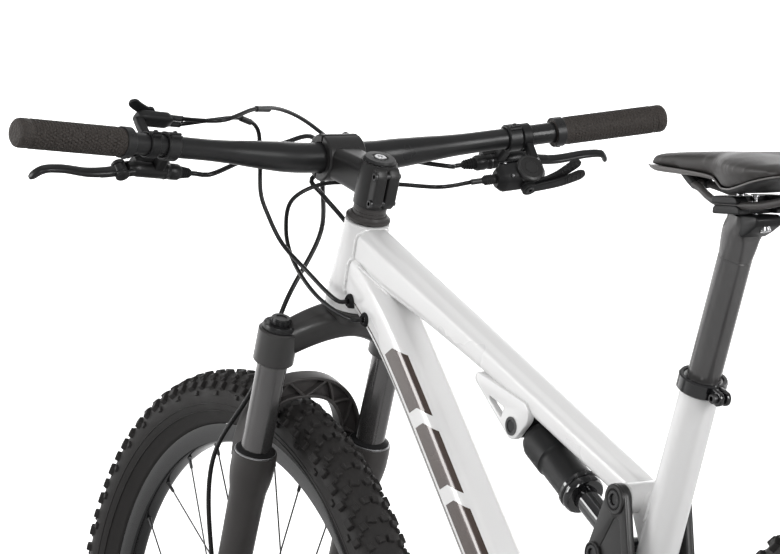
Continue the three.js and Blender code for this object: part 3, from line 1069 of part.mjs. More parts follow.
// The chain's run round the sprockets, as [start, end, centre, radius, turn] of each straight and its arc
function chainLegs(cageAngle) {
  const down = vec(Math.cos(radians(cageAngle)), 0, -Math.sin(radians(cageAngle)));
  const tension = guidePulley.clone().addScaledVector(down, mech.cageLength);
  const circles = [[bracket, chainringRadius, 1], [rearAxle, cogRadius, 1], [guidePulley, pulleyRadius, -1],
    [tension, pulleyRadius, 1]];
  const legs = circles.map(([from, fromRadius, fromTurn], i) => {
    const [to, toRadius, toTurn] = circles[(i + 1) % circles.length];
    const span = to.clone().sub(from);
    const heading = Math.atan2(span.z, span.x)
      + Math.asin((fromTurn * fromRadius - toTurn * toRadius) / span.length());
    const normal = vec(Math.sin(heading), 0, -Math.cos(heading));
    return { start: from.clone().addScaledVector(normal, fromTurn * fromRadius),
      end: to.clone().addScaledVector(normal, toTurn * toRadius), centre: to, radius: toRadius, turn: toTurn };
  });
  legs.forEach((leg, i) => {
    const { start } = legs[(i + 1) % legs.length];
    leg.from = Math.atan2(leg.end.z - leg.centre.z, leg.end.x - leg.centre.x);
    leg.to = Math.atan2(start.z - leg.centre.z, start.x - leg.centre.x);
    while (leg.turn > 0 && leg.to < leg.from) leg.to += 2 * Math.PI;
    while (leg.turn < 0 && leg.to > leg.from) leg.to -= 2 * Math.PI;
  });
  return { legs, tension, length: legs.reduce((sum, leg) => sum + leg.start.distanceTo(leg.end)
    + Math.abs(leg.to - leg.from) * leg.radius, 0) };
}

// Swings the cage until the run is a whole number of links
const linkCount = 2 * Math.round(chainLegs(mech.cageAngle).length / chainPitch / 2);
let [cageLow, cageHigh] = [mech.cageAngle - 12, mech.cageAngle + 12];
const longerAtLow = chainLegs(cageLow).length > chainLegs(cageHigh).length;
for (let i = 0; i < 40; i++) {
  const middle = (cageLow + cageHigh) / 2;
  const long = chainLegs(middle).length > linkCount * chainPitch;
  if (long === longerAtLow) cageLow = middle;
  else cageHigh = middle;
}
const drive = chainLegs(cageLow);
const tensionPulley = drive.tension;

// A sprocket's outline has one tooth between each pair of chain rollers, set by a roller's angle
function sprocket(centre, teeth, rollerAngle) {
  const radius = pitchRadius(teeth);
  const step = (2 * Math.PI) / teeth;
  return Array.from({ length: teeth }, (_, i) => i * step + rollerAngle).flatMap((turn) =>
    [[0, -chain.toothRoot], [1 / 2, chain.toothTop]].map(([share, high]) => {
      const reach = radius + high;
      return [centre.x + reach * Math.cos(turn + share * step), centre.z + reach * Math.sin(turn + share * step)];
    }));
}

// Rollers sit at whole pitches along the run, so each leg's arc gives its sprocket's phase
const rollerAngles = [];
let travelled = 0;
for (const leg of drive.legs) {
  travelled += leg.start.distanceTo(leg.end);
  const toRoller = (Math.ceil(travelled / chainPitch) * chainPitch - travelled) / leg.radius;
  rollerAngles.push(leg.from + leg.turn * toRoller);
  travelled += Math.abs(leg.to - leg.from) * leg.radius;
}
const [cogPhase, guidePhase, tensionPhase, ringPhase] = rollerAngles;

function chainLoop() {
  const points = [];
  const sides = [];
  for (const leg of drive.legs) {
    const straight = leg.start.distanceTo(leg.end);
    const count = Math.max(1, Math.round(straight / (14 * chainPitch)));
    for (let i = 0; i < count; i++) {
      points.push(leg.start.clone().lerp(leg.end, i / count));
      sides.push(i === 0 && points.length > 1 ? sides.at(-1) : leg.turn);
    }
    const arcCount = Math.max(3, Math.round(Math.abs(leg.to - leg.from) * leg.radius / (1.55 * chainPitch)));
    for (let i = 0; i < arcCount; i++) {
      const at = lerp(leg.from, leg.to, i / arcCount);
      points.push(vec(leg.centre.x + leg.radius * Math.cos(at), 0, leg.centre.z + leg.radius * Math.sin(at)));
      sides.push(leg.turn);
    }
  }
  return { points: points.map((point) => beside(point, -chainLine)), sides };
}

const drivenChain = chainLoop();
const { halfHeight: chainHigh, halfWidth: chainWide } = chain;
let chainRing = -1;
add('chain', sweep(drivenChain.points, () => {
  chainRing += 1;
  const outerSide = drivenChain.sides[chainRing] > 0;
  const [low, high] = outerSide ? [-chain.webOuter, -chain.webInner] : [chain.webInner, chain.webOuter];
  const { channelHalf } = chain;
  return [[-chainWide, -chainHigh], [-channelHalf, -chainHigh], [-channelHalf, low], [channelHalf, low],
    [channelHalf, -chainHigh], [chainWide, -chainHigh], [chainWide, chainHigh], [channelHalf, chainHigh],
    [channelHalf, high], [-channelHalf, high], [-channelHalf, chainHigh], [-chainWide, chainHigh]];
}, left, true), silverSteel);

// Cassette: stepped cogs on the hub's driver, with the chain on the cog that lines up with the chainring
function cogStack() {
  const bore = holeFor(stay.axleRadius, middleSides);
  const at = (across) => cassette.smallEnd - across;
  const middleRadius = (cassette.bigOuter + cassette.bigInner) / 2;
  const step = at(cassette.bigEnd - cassette.stepHalf);
  const stack = revolve([[bore, 0], [cassette.smallInner, 0], [cassette.smallInner, at(cassette.smallEnd - cassette.stepHalf)],
    [cassette.smallOuter, at(cassette.smallEnd - cassette.stepHalf)], [cassette.smallOuter, at(cassette.smallStart)],
    [cassette.coreRadius, at(cassette.smallStart)], [cassette.coreRadius, at(cassette.bigEnd)],
    [cassette.bigInner, at(cassette.bigEnd)], [middleRadius, step], [middleRadius, step + 2 * cassette.cogHalf],
    [cassette.bigOuter, at(cassette.bigStart) - 2 * cassette.cogHalf], [cassette.bigOuter, at(cassette.bigStart)],
    [bore, at(cassette.bigStart)], [bore, 0]], beside(rearAxle, -cassette.smallEnd), left, largeSides);
  const meshed = plate(sprocket(rearAxle, cogTeethCount, cogPhase), -chainLine - cassette.cogHalf,
    -chainLine + cassette.cogHalf, [circle(rearAxle.x, rearAxle.z, cassette.holderRadius, middleSides)]);
  return join(stack, meshed);
}
add('cassette', cogStack(), silverSteel);

// Crankset: the drive arm, its spider and the chainring turn as one with the spindle and the left arm
const crank = { armStart: 61, armThick: 13, armTip: 64, bossRadius: 17, eyeRadius: 13, armHalfHeight: 14,
  armHalfWidth: 6, tipHalfHeight: 11, spindleEnd: 64, ringHalf: 0.9, ringInner: 50, spiderRadius: 9,
  spiderReach: 55, spiderInner: 54.6, spiderCount: 4, pedalBore: 7, pedalPin: 6.5, leftStart: 56, taper: 6 };
const crankDown = vec(Math.cos(radians(crankAngle)), 0, -Math.sin(radians(crankAngle)));

function crankArm(hand, start) {
  const middle = start + crank.armThick / 2;
  const toe = bracket.clone().addScaledVector(crankDown, crankLength * hand);
  const arm = sweep([beside(bracket, -hand * middle), beside(toe, -hand * (middle + crank.taper))], (share) =>
    oval(crank.armHalfWidth, lerp(crank.armHalfHeight, crank.tipHalfHeight, share), smallSides, 3.4));
  const boss = disc(crank.bossRadius, beside(bracket, -hand * start), beside(bracket, -hand * (start + crank.armThick)),
    middleSides);
  const eye = disc(crank.eyeRadius, beside(toe, -hand * (start + crank.taper)),
    beside(toe, -hand * (start + crank.armThick + crank.taper)), middleSides);
  return [arm, boss, eye, disc(holeFor(crank.pedalPin, middleSides), beside(toe, -hand * (start + overrun)),
    beside(toe, -hand * (start + 2 * crank.armThick)), middleSides)];
}

function crankset() {
  const [arm, boss, eye, bore] = crankArm(1, crank.armStart);
  const ring = plate(sprocket(bracket, chainringTeethCount, ringPhase), -chainLine - crank.ringHalf,
    -chainLine + crank.ringHalf, [circle(bracket.x, bracket.z, crank.ringInner, largeSides)]);
  const spider = Array.from({ length: crank.spiderCount }, (_, i) => {
    const turn = radians(crankAngle + 45) + (i / crank.spiderCount) * 2 * Math.PI;
    const toe = vec(bracket.x + crank.spiderReach * Math.cos(turn), 0, bracket.z - crank.spiderReach * Math.sin(turn));
    return plate(strap([[bracket.x, bracket.z, crank.spiderRadius], [toe.x, toe.z, crank.spiderRadius]],
      smallSides), -crank.armStart - overrun, -chainLine - crank.ringHalf + overrun / 4);
  });
  const spindle = disc(spindleRadius, beside(bracket, -crank.armStart - overrun),
    beside(bracket, crank.spindleEnd), middleSides);
  return cut(join(spindle, boss, arm, eye, ring, ...spider), bore);
}
add('crankset', crankset(), blackAlloy);

function leftCrank() {
  const [arm, boss, eye, bore] = crankArm(-1, crank.leftStart);
  return cut(join(boss, arm, eye), bore, disc(holeFor(spindleRadius, middleSides), beside(bracket,
    crank.leftStart - overrun), beside(bracket, crank.spindleEnd + seatGap), middleSides));
}
add('crank_arm_left', leftCrank(), blackAlloy);

// Pedals: a caged platform round an axle that screws into the crank eye
const pedal = { length: 88, halfDepth: 46, halfHeight: 8, start: 20, railDepth: 9, hubRadius: 9.5, window: 12 };

function pedalUnit(hand, start) {
  const toe = bracket.clone().addScaledVector(crankDown, crankLength * hand);
  const face = start + crank.armThick + crank.taper;
  const at = (out) => beside(toe, -hand * (face + out));
  const box = (depth, from, to) => sweep([at(from), at(to)], () => [[-depth, -pedal.halfHeight],
    [depth, -pedal.halfHeight], [depth, pedal.halfHeight], [-depth, pedal.halfHeight]], vec(1, 0, 0));
  const opening = (side) => {
    const inner = beside(vec(toe.x + side * pedal.window, 0, toe.z), 0);
    const outer = vec(toe.x + side * (pedal.halfDepth - pedal.railDepth), 0, toe.z);
    return plate([[inner.x, inner.z - 2 * pedal.halfHeight], [outer.x, inner.z - 2 * pedal.halfHeight],
      [outer.x, inner.z + 2 * pedal.halfHeight], [inner.x, inner.z + 2 * pedal.halfHeight]],
    ...[at(pedal.start + pedal.railDepth).y, at(pedal.start + pedal.length - pedal.railDepth).y].sort((p, q) => p - q));
  };
  const body = cut(box(pedal.halfDepth, pedal.start, pedal.start + pedal.length), opening(1), opening(-1));
  return join(body, disc(crank.pedalPin, at(-crank.armThick + 2 * overrun), at(pedal.start + overrun), middleSides));
}
add('pedal_right', pedalUnit(1, crank.armStart), blackAlloy);
add('pedal_left', pedalUnit(-1, crank.leftStart), blackAlloy);

// Rear derailleur: the hung body, the cage that swings on its foot, and two toothed pulleys
const mechSize = { bodyOuter: 88, bodyInner: 66, hangerRadius: 9, footRadius: 12, cageHalf: 4, cageWall: 1.8,
  cageRadius: 10, cageTailRadius: 8, bearing: 3, bearingGap: 0.4, pulleyHalf: 0.9, hubHalf: 3.4, hubRadius: 6,
  linkInner: 60.6, hangerAhead: 6, hangerDrop: 20, pinRadius: 4, tabThick: 5 };
const mechTop = vec(rearAxle.x + mechSize.hangerAhead, 0, rearAxle.z - mechSize.hangerDrop);

function derailleurBody() {
  const hanger = plate(strap([[mechTop.x, mechTop.z, mechSize.hangerRadius], [lerp(mechTop.x, mechFoot.x, 1 / 2),
    lerp(mechTop.z, mechFoot.z, 1 / 2), mechSize.hangerRadius]], smallSides), -mechSize.bodyOuter,
  -stay.dropoutOuter - layerGap);
  const link = plate(strap([[lerp(mechTop.x, mechFoot.x, 1 / 2), lerp(mechTop.z, mechFoot.z, 1 / 2),
    mechSize.pinRadius], [mechFoot.x, mechFoot.z, mechSize.footRadius]], smallSides), -mechSize.bodyOuter,
  -mechSize.linkInner);
  const pin = disc(mechSize.pinRadius, beside(mechFoot, -chainLine - mechSize.cageHalf),
    beside(mechFoot, -mechSize.linkInner - overrun), middleSides);
  const tab = disc(mechSize.pinRadius, beside(mechTop, -stay.dropoutInner - layerGap),
    beside(mechTop, -mechSize.bodyOuter + overrun), middleSides);
  return join(hanger, link, pin, tab);
}
add('derailleur_body', derailleurBody(), blackAlloy);

function derailleurCage() {
  const { cageHalf, cageWall, cageRadius, cageTailRadius, bearing, footRadius, pinRadius } = mechSize;
  const outline = strap([[guidePulley.x, guidePulley.z, cageRadius], [tensionPulley.x, tensionPulley.z,
    cageTailRadius]], middleSides);
  const footed = strap([[guidePulley.x, guidePulley.z, cageRadius], [tensionPulley.x, tensionPulley.z,
    cageTailRadius], [mechFoot.x, mechFoot.z, footRadius - pinRadius / 2]], middleSides);
  const pin = (pulley) => disc(bearing, beside(pulley, -chainLine - cageHalf - cageWall / 2),
    beside(pulley, -chainLine + cageHalf + cageWall / 2), smallSides);
  return cut(join(plate(outline, -chainLine + cageHalf, -chainLine + cageHalf + cageWall),
    plate(footed, -chainLine - cageHalf - cageWall, -chainLine - cageHalf), pin(guidePulley), pin(tensionPulley)),
  disc(holeFor(pinRadius, middleSides), beside(mechFoot, -chainLine - cageHalf - cageWall - overrun),
    beside(mechFoot, -chainLine - cageHalf + overrun), middleSides));
}
add('derailleur_cage', derailleurCage(), blackAlloy);

function pulley(centre, phase) {
  const { hubHalf, hubRadius, pulleyHalf, bearing } = mechSize;
  const bore = disc(holeFor(bearing, smallSides), beside(centre, -chainLine - hubHalf - overrun),
    beside(centre, -chainLine + hubHalf + overrun), smallSides);
  return cut(join(plate(sprocket(centre, pulleyTeethCount, phase), -chainLine - pulleyHalf, -chainLine + pulleyHalf),
    disc(hubRadius, beside(centre, -chainLine - hubHalf), beside(centre, -chainLine + hubHalf), smallSides)), bore);
}
add('upper_pulley', pulley(guidePulley, guidePhase), mattBlack);
add('lower_pulley', pulley(tensionPulley, tensionPhase), mattBlack);

// Seatpost with a cradle head, the clamp that holds the rails, and the saddle on its rails
const seat = { insertion: 110, reach: 138, headRadius: 14, headHalf: 17, headRise: 148.6, clampHalfLength: 22,
  clampHalfWidth: 29, clampRise: 148.9, clampTopRise: 165, railRadius: 3.5, railAcross: 22, railRise: 157,
  clampBehind: 65, tailBehind: 193, tailAcross: 32, tailRise: 14, noseAhead: 37, noseRise: 9, noseBend: 42,
  shellThickness: 4, socketRadius: 7.5, socketLength: 16, clampWaist: 12, boltRadius: 3, boltAcross: 10 };
const postTop = seatLine(seat.reach);
const headFlat = seatCollarHeight + seat.headRise;
const clampLow = seatCollarHeight + seat.clampRise;
const clampHigh = seatCollarHeight + seat.clampTopRise;
const railHeight = seatCollarHeight + seat.railRise;
const clampBack = seatCollarBack + seat.clampBehind;
const tailX = -seatCollarBack - seat.tailBehind;
const noseX = seat.noseAhead - seatCollarBack;

function seatpost() {
  const head = disc(seat.headRadius, beside(postTop, -seat.headHalf), beside(postTop, seat.headHalf), largeSides);
  const flat = plate([[postTop.x - seat.clampHalfWidth, headFlat], [postTop.x + seat.clampHalfWidth,
    headFlat], [postTop.x + seat.clampHalfWidth, headFlat + seat.clampHalfWidth],
  [postTop.x - seat.clampHalfWidth, headFlat + seat.clampHalfWidth]], -seat.clampHalfWidth, seat.clampHalfWidth);
  const pillow = plate(strap([[postTop.x, postTop.z, seat.headRadius], [-clampBack, headFlat,
    seat.clampWaist]], middleSides), -seat.headHalf, seat.headHalf);
  return cut(join(disc(seatpostRadius, seatLine(-seat.insertion), postTop, largeSides), head, pillow), flat);
}
add('seatpost', seatpost(), glossBlack);

const railPath = () => {
  const half = [vec(tailX, seat.tailAcross, railHeight + seat.tailRise),
    vec(lerp(tailX, -clampBack, 0.45), lerp(seat.tailAcross, seat.railAcross, 0.7),
      railHeight + seat.tailRise / 6),
    vec(-clampBack - seat.clampHalfLength - overrun, seat.railAcross, railHeight),
    vec(-clampBack + seat.clampHalfLength + overrun, seat.railAcross, railHeight),
    vec(noseX - seat.noseBend, lerp(seat.railAcross, 0, 0.35), railHeight + seat.noseRise / 3),
    vec(noseX - seat.noseBend / 4, seat.railAcross / 3, railHeight + seat.noseRise)];
  return [...half, ...half.map((point) => beside(point, -point.y)).reverse()];
};
const rails = (radius) => hose(railPath(), radius, 18);
add('saddle_rails', rails(seat.railRadius), mattBlack);

function railClamp() {
  const { clampHalfLength, clampHalfWidth, railAcross } = seat;
  const box = (halfLength, halfWidth, low, high) => plate([[-clampBack - halfLength, low],
    [-clampBack + halfLength, low], [-clampBack + halfLength, high], [-clampBack - halfLength, high]],
  -halfWidth, halfWidth);
  const tunnel = (hand) => disc(holeFor(seat.railRadius + seatGap, middleSides), vec(-clampBack - 2 * clampHalfLength,
    hand * railAcross, railHeight), vec(-clampBack + 2 * clampHalfLength, hand * railAcross, railHeight), middleSides);
  const bolt = (along) => disc(seat.boltRadius, vec(-clampBack + along, 0, clampHigh - overrun),
    vec(-clampBack + along, 0, clampHigh + overrun), middleSides);
  return cut(join(box(clampHalfLength, clampHalfWidth, clampLow, clampHigh), bolt(seat.boltAcross),
    bolt(-seat.boltAcross)), tunnel(1), tunnel(-1));
}
add('seatpost_clamp', railClamp(), blackAlloy);

// Saddle outline from tail to nose, as [share along, half width, top height, edge height] stations
const tailRound = 12.5;
const saddleTailX = tailX - tailRound;
const saddleStations = [[0, 0.66, 35, 25], [0.05, 0.88, 43, 24], [0.13, 1, 46, 21], [0.24, 0.98, 45, 18],
  [0.38, 0.72, 41, 17], [0.52, 0.44, 37, 17], [0.68, 0.3, 35, 16], [0.85, 0.25, 34.5, 15],
  [0.96, 0.2, 33, 16], [1, 0.11, 29, 18]].map(([share, wide, top, edge]) => [share, wide, railHeight + top,
  railHeight + edge]);

function saddleCover() {
  return loft(saddleStations.map(([share, wide, top, edge]) => {
    const x = saddleTailX + saddleLength * share;
    const half = wide * saddleWidth / 2;
    const height = top - edge;
    return [[-0.9, 0], [-1, 0.3], [-0.84, 0.8], [-0.42, 1], [0, 0.95], [0.42, 1], [0.84, 0.8], [1, 0.3], [0.9, 0]]
      .map(([across, up]) => vec(x, across * half, edge + up * height));
  }));
}
add('saddle_cover', saddleCover(), saddleFabric);

function saddleBase() {
  const shell = loft(saddleStations.map(([share, wide, , edge]) => {
    const x = saddleTailX + saddleLength * share;
    const half = wide * saddleWidth / 2 * 0.9 - seatGap;
    const low = edge - seat.shellThickness;
    return [[-1, 0], [-0.86, 1], [0.86, 1], [1, 0]].map(([across, down]) =>
      vec(x, across * half, lerp(edge - 2 * seatGap, low, down)));
  }));
  const path = railPath();
  const socket = (hand) => {
    const tail = beside(path[0], hand * seat.tailAcross);
    const ahead = vec(tail.x + seat.socketLength, tail.y, tail.z - seat.tailRise / 4);
    return [disc(seat.socketRadius, vec(tail.x - overrun, tail.y, tail.z), ahead, smallSides),
      disc(seat.socketRadius - overrun, vec(tail.x + overrun, tail.y, tail.z), vec(tail.x + overrun, tail.y,
        tail.z + seat.socketRadius), smallSides)];
  };
  const nose = disc(seat.socketRadius, vec(noseX, -seat.railAcross / 3, railHeight + seat.noseRise - overrun),
    vec(noseX, seat.railAcross / 3, railHeight + seat.noseRise - overrun), smallSides);
  return cut(join(shell, ...socket(1), ...socket(-1), nose), rails(holeFor(seat.railRadius, smallSides)));
}
add('saddle_base', saddleBase(), mattBlack);

// Shifter under the right of the bar: a pod on a clamp, with two thumb paddles on one pin
const shifterInset = { clamp: 33.5, podIn: 84, podOut: 30, pin: 52, main: 6, releasePast: 6 };
const shifter = { clampAcross: shifterInset.clamp - gripInner, clampWidth: 11, clampRadius: 14,
  podIn: shifterInset.podIn - gripInner, podOut: shifterInset.podOut - gripInner, podOffset: 6, podDrop: -47,
  podHalfDepth: 15, podHalfHeight: 13, armHalf: 5, pinAcross: shifterInset.pin - gripInner, pinRadius: 3,
  hubRadius: 8.5, mainTop: -60.8, mainLow: -64, releaseTop: -64.6, releaseLow: -68,
  mainReach: shifterInset.main - gripInner, mainBack: -27,
  releaseReach: -gripInner - shifterInset.releasePast, releaseAhead: -10, paddleHalf: 7, paddleTip: 9, barrelRadius: 4, barrelLength: 16 };
const { podOffset, pinAcross } = shifter;

function shifterPod() {
  const pod = sweep([shifter.podIn, lerp(shifter.podIn, shifter.podOut, 1 / 6), lerp(shifter.podIn, shifter.podOut,
    5 / 6), shifter.podOut].map((across) => offBar(across, podOffset, shifter.podDrop)), (share) => {
    const size = share === 0 || share === 1 ? 2 / 3 : 1;
    return oval(shifter.podHalfDepth * size, shifter.podHalfHeight * size, smallSides, 3);
  }, leverAhead);
  const arm = sweep([offBar(shifter.clampAcross, 0, -bar.endRadius - overrun), offBar(shifter.clampAcross, podOffset / 2,
    shifter.podDrop)], () => oval(shifter.armHalf, shifter.armHalf, smallSides, 4), left);
  const pin = disc(shifter.pinRadius, offBar(pinAcross, podOffset, shifter.podDrop),
    offBar(pinAcross, podOffset, shifter.releaseLow - overrun), smallSides);
  const barrel = disc(shifter.barrelRadius, offBar(shifter.podIn - overrun, podOffset, shifter.podDrop),
    offBar(shifter.podIn + shifter.barrelLength, podOffset, shifter.podDrop), middleSides);
  return join(pod, arm, pin, barrel, barClamp(shifter.clampAcross, shifter.clampWidth, shifter.clampRadius));
}
add('shifter_body', shifterPod(), blackAlloy);

function shiftPaddle(top, low, reach, ahead) {
  const at = (across, offset, rise) => offBar(across, offset, rise);
  const hub = disc(shifter.hubRadius, at(pinAcross, podOffset, top), at(pinAcross, podOffset, low), middleSides);
  const blade = sweep([[0, 0], [0.6, 0.35], [1, 1]].map(([share, lead]) => at(lerp(pinAcross, reach, share),
    lerp(podOffset, ahead, lead), (top + low) / 2)), (share) => oval(lerp(shifter.paddleHalf, shifter.paddleTip, share),
    (top - low) / 2, smallSides, 5), leverAhead);
  return cut(join(hub, blade), disc(holeFor(shifter.pinRadius, smallSides), at(pinAcross, podOffset, top + overrun),
    at(pinAcross, podOffset, low - overrun), smallSides));
}
add('shift_lever_main', shiftPaddle(shifter.mainTop, shifter.mainLow, shifter.mainReach, shifter.mainBack), mattBlack);
add('shift_lever_release', shiftPaddle(shifter.releaseTop, shifter.releaseLow, shifter.releaseReach,
  shifter.releaseAhead), mattBlack);

// Lockout remote above the left of the bar, with one thumb lever on its pin
const remoteInset = { clamp: 25, bodyIn: 66, bodyOut: 24, pin: 42, tip: 16 };
const remote = { clampAcross: gripInner - remoteInset.clamp, clampWidth: 11, clampRadius: 14,
  bodyIn: gripInner - remoteInset.bodyIn, bodyOut: gripInner - remoteInset.bodyOut, rise: 38, offset: 2,
  halfDepth: 9, halfHeight: 6.5, armHalf: 5, pinAcross: gripInner - remoteInset.pin, pinRadius: 2.5, leverLow: 45.2,
  leverTop: 48.6, hubRadius: 7.5, tipAcross: gripInner - remoteInset.tip, tipOffset: -12, tipHalf: 6, pinTop: 50 };

function remoteUnit() {
  const body = sweep([remote.bodyIn, lerp(remote.bodyIn, remote.bodyOut, 1 / 6), lerp(remote.bodyIn, remote.bodyOut,
    5 / 6), remote.bodyOut].map((across) => offBar(across, remote.offset, remote.rise)), (share) => {
    const size = share === 0 || share === 1 ? 2 / 3 : 1;
    return oval(remote.halfDepth * size, remote.halfHeight * size, smallSides, 3);
  }, leverAhead);
  const arm = sweep([offBar(remote.clampAcross, 0, bar.endRadius + overrun), offBar(remote.clampAcross - overrun,
    remote.offset, remote.rise)], () => oval(remote.armHalf, remote.armHalf, smallSides, 4), left);
  const pin = disc(remote.pinRadius, offBar(remote.pinAcross, remote.offset, remote.rise),
    offBar(remote.pinAcross, remote.offset, remote.pinTop), smallSides);
  return join(body, arm, pin, barClamp(remote.clampAcross, remote.clampWidth, remote.clampRadius));
}
add('remote_body', remoteUnit(), blackAlloy);

function remoteThumb() {
  const { pinAcross: across, offset, leverLow, leverTop, hubRadius } = remote;
  const middle = (leverLow + leverTop) / 2;
  const blade = sweep([offBar(across, offset, middle), offBar(remote.tipAcross, remote.tipOffset, middle)],
    () => oval(remote.tipHalf, (leverTop - leverLow) / 2, smallSides, 5), left);
  return cut(join(disc(hubRadius, offBar(across, offset, leverLow), offBar(across, offset, leverTop), middleSides),
    blade), disc(holeFor(remote.pinRadius, smallSides), offBar(across, offset, leverLow - overrun),
    offBar(across, offset, leverTop + overrun), smallSides));
}
add('remote_lever', remoteThumb(), mattBlack);

// Cables and hoses from the bar to the frame's ports, the fork and the front caliper
const cable = { hoseRadius: 2.6, wireRadius: 2.3, stepCount: 15 };
const cableOuts = [seatGap, 5 * overrun];
const hoseStart = (hand) => cableOuts.map((out) => offBar(hand * (brake.cylinderIn - out), brake.cylinderOffset));
const shiftStart = cableOuts.map((out) => offBar(shifter.podIn + shifter.barrelLength + out, podOffset,
  shifter.podDrop));
const remoteStart = (side) => [overrun, 5 * overrun].map((out) => offBar(remote.bodyIn - out,
  remote.offset + side * remote.halfDepth / 2, remote.rise));
const portEnd = (port, hand) => beside(port, hand * (frame.portFace + seatGap));
const portLead = (port, hand) => beside(port, hand * (frame.portFace + 2 * frame.portRadius));
const steered = (rows) => rows.map((row) => steer(...row));
const capEnd = (hand) => onLeg(fork.clampTop + fork.capHeight + fork.knobHeight + 2 * seatGap, hand);

add('front_brake_hose', hose([...hoseStart(1), ...steered([[116, 84.7, 149], [119.4, 100.4, 110.4], [125, 124.2, 64.4],
  [125.3, 140.5, 29.2], [126, 154.4, -11], [107, 161.1, -32.7], [70, 152, -36], [28.7, 128, -30], [-37.7, 92, 20],
  [-120, 62, 58], [-200, 58, 94], [-300, 30, 92], [-380, -12, 80]]), frontBanjo.clone().addScaledVector(steerUp,
  frontBrake.banjoLength + seatGap + 3 * cable.hoseRadius), frontBanjo.clone().addScaledVector(steerUp,
  frontBrake.banjoLength + seatGap)], cable.hoseRadius, 21), housingBlack);
add('rear_brake_hose', hose([...hoseStart(-1), ...steered([[119.1, 80, -148], [119.6, 86.5, -128], [117.6, 105.1, -96.1],
  [101.8, 131.1, -51.8], [83.2, 138, -11.7], [68.7, 130, -24], [51.2, 106.5, -39.7], [33.9, 60.8, -48], [26, 15, -40]]),
portLead(portUpper, -1), portEnd(portUpper, -1)], cable.hoseRadius, cable.stepCount), housingBlack);
add('shift_cable', hose([...shiftStart,
  ...steered([[97, 77.4, -135], [94.1, 93.5, -94.6], [90, 112, -48.8], [82.8, 124, -13.2], [67.2, 119, 20.2],
    [44, 100, 32], [24, 66, 38], [8, 10, 36]]), portLead(portLower, 1), portEnd(portLower, 1)], cable.wireRadius,
cable.stepCount), housingBlack);
add('remote_cable_shock', hose([...remoteStart(1),
  ...steered([[173, 94, 150], [172, 100, 112], [156, 110, 84], [124, 114, 72], [85.5, 100, 70.7],
    [67.2, 87.1, 65.5], [44.6, 65.1, 56], [30, 30, 44]]), portLead(portUpper, 1), portEnd(portUpper, 1)],
cable.wireRadius, cable.stepCount), housingBlack);
add('remote_cable_fork', hose([...remoteStart(-1),
  ...steered([[180, 76, 150], [182, 100, 96], [168, 128, 45], [140, 146, -8], [104, 146, -54],
    [56.1, 106, -72], [20, 50, -72]]), capEnd(-1).clone().addScaledVector(steerUp, 5 * cable.wireRadius), capEnd(-1)],
cable.wireRadius, cable.stepCount), housingBlack);

export default bike;
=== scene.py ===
import math

import bmesh
import bpy
import numpy as np
from mathutils import Matrix, Vector
from mathutils.bvhtree import BVHTree


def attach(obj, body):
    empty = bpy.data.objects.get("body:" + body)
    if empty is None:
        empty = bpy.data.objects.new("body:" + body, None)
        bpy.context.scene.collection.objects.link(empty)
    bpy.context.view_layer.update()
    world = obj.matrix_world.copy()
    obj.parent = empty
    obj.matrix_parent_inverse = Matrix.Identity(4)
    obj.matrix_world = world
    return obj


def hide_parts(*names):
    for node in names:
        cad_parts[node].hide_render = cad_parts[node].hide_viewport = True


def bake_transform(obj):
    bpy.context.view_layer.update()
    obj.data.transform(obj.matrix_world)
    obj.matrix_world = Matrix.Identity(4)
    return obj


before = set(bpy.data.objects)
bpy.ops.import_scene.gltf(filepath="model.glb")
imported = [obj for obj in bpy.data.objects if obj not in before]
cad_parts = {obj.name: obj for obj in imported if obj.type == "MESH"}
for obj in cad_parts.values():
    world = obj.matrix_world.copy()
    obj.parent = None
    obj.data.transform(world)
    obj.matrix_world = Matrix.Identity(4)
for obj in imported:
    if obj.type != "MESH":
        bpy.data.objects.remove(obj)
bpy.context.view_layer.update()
scene = bpy.context.scene

# Camera at the photograph's place, in metres and degrees, with its focal length in pixels
CAMERA_AT, PHOTO_WIDTH, FOCAL_PIXELS, SENSOR = (-2.6787, 1.82605, 1.09324), 780, 3409.09, 36
camera = bpy.data.objects.new("camera", bpy.data.cameras.new("camera"))
scene.collection.objects.link(camera)
azimuth, dip, roll = math.radians(-31.71), math.radians(3.84), math.radians(-0.49)
forward = Vector((math.cos(azimuth) * math.cos(dip), math.sin(azimuth) * math.cos(dip), -math.sin(dip)))
side = forward.cross(Vector((0, 0, 1))).normalized()
rise = side.cross(forward)
turned_side = math.cos(roll) * side + math.sin(roll) * rise
turned_rise = math.cos(roll) * rise - math.sin(roll) * side
camera.matrix_world = Matrix.Translation(CAMERA_AT) @ Matrix((turned_side, turned_rise,
                                                              -forward)).transposed().to_4x4()
camera.data.sensor_width = SENSOR
camera.data.lens = SENSOR * FOCAL_PIXELS / PHOTO_WIDTH
scene.camera = camera

# Plain pale studio, in metres: a round floor that curves up all round, and soft lights
FLAT, BEND, WALL_TOP, FLOOR_SIDES = 36, 7.5, 18, 96
floor_mesh = bpy.data.meshes.new("floor")
rows = [(r, 0) for r in (0.01, 3, 6, 12, 24, FLAT)]
rows += [(FLAT + BEND * math.sin(a), BEND - BEND * math.cos(a)) for a in np.linspace(0.12, math.pi / 2, 12)]
rows.append((FLAT + BEND, WALL_TOP))
floor_verts = [(r * math.cos(a), r * math.sin(a), h)
               for r, h in rows for a in (i / FLOOR_SIDES * math.tau for i in range(FLOOR_SIDES))]
starts = [(i * FLOOR_SIDES, j, (j + 1) % FLOOR_SIDES) for i in range(len(rows) - 1) for j in range(FLOOR_SIDES)]
floor_mesh.from_pydata(floor_verts, [], [(i + j, i + k, i + FLOOR_SIDES + k, i + FLOOR_SIDES + j)
                                         for i, j, k in starts] + [tuple(range(FLOOR_SIDES))[::-1]])
floor_mesh.shade_smooth()
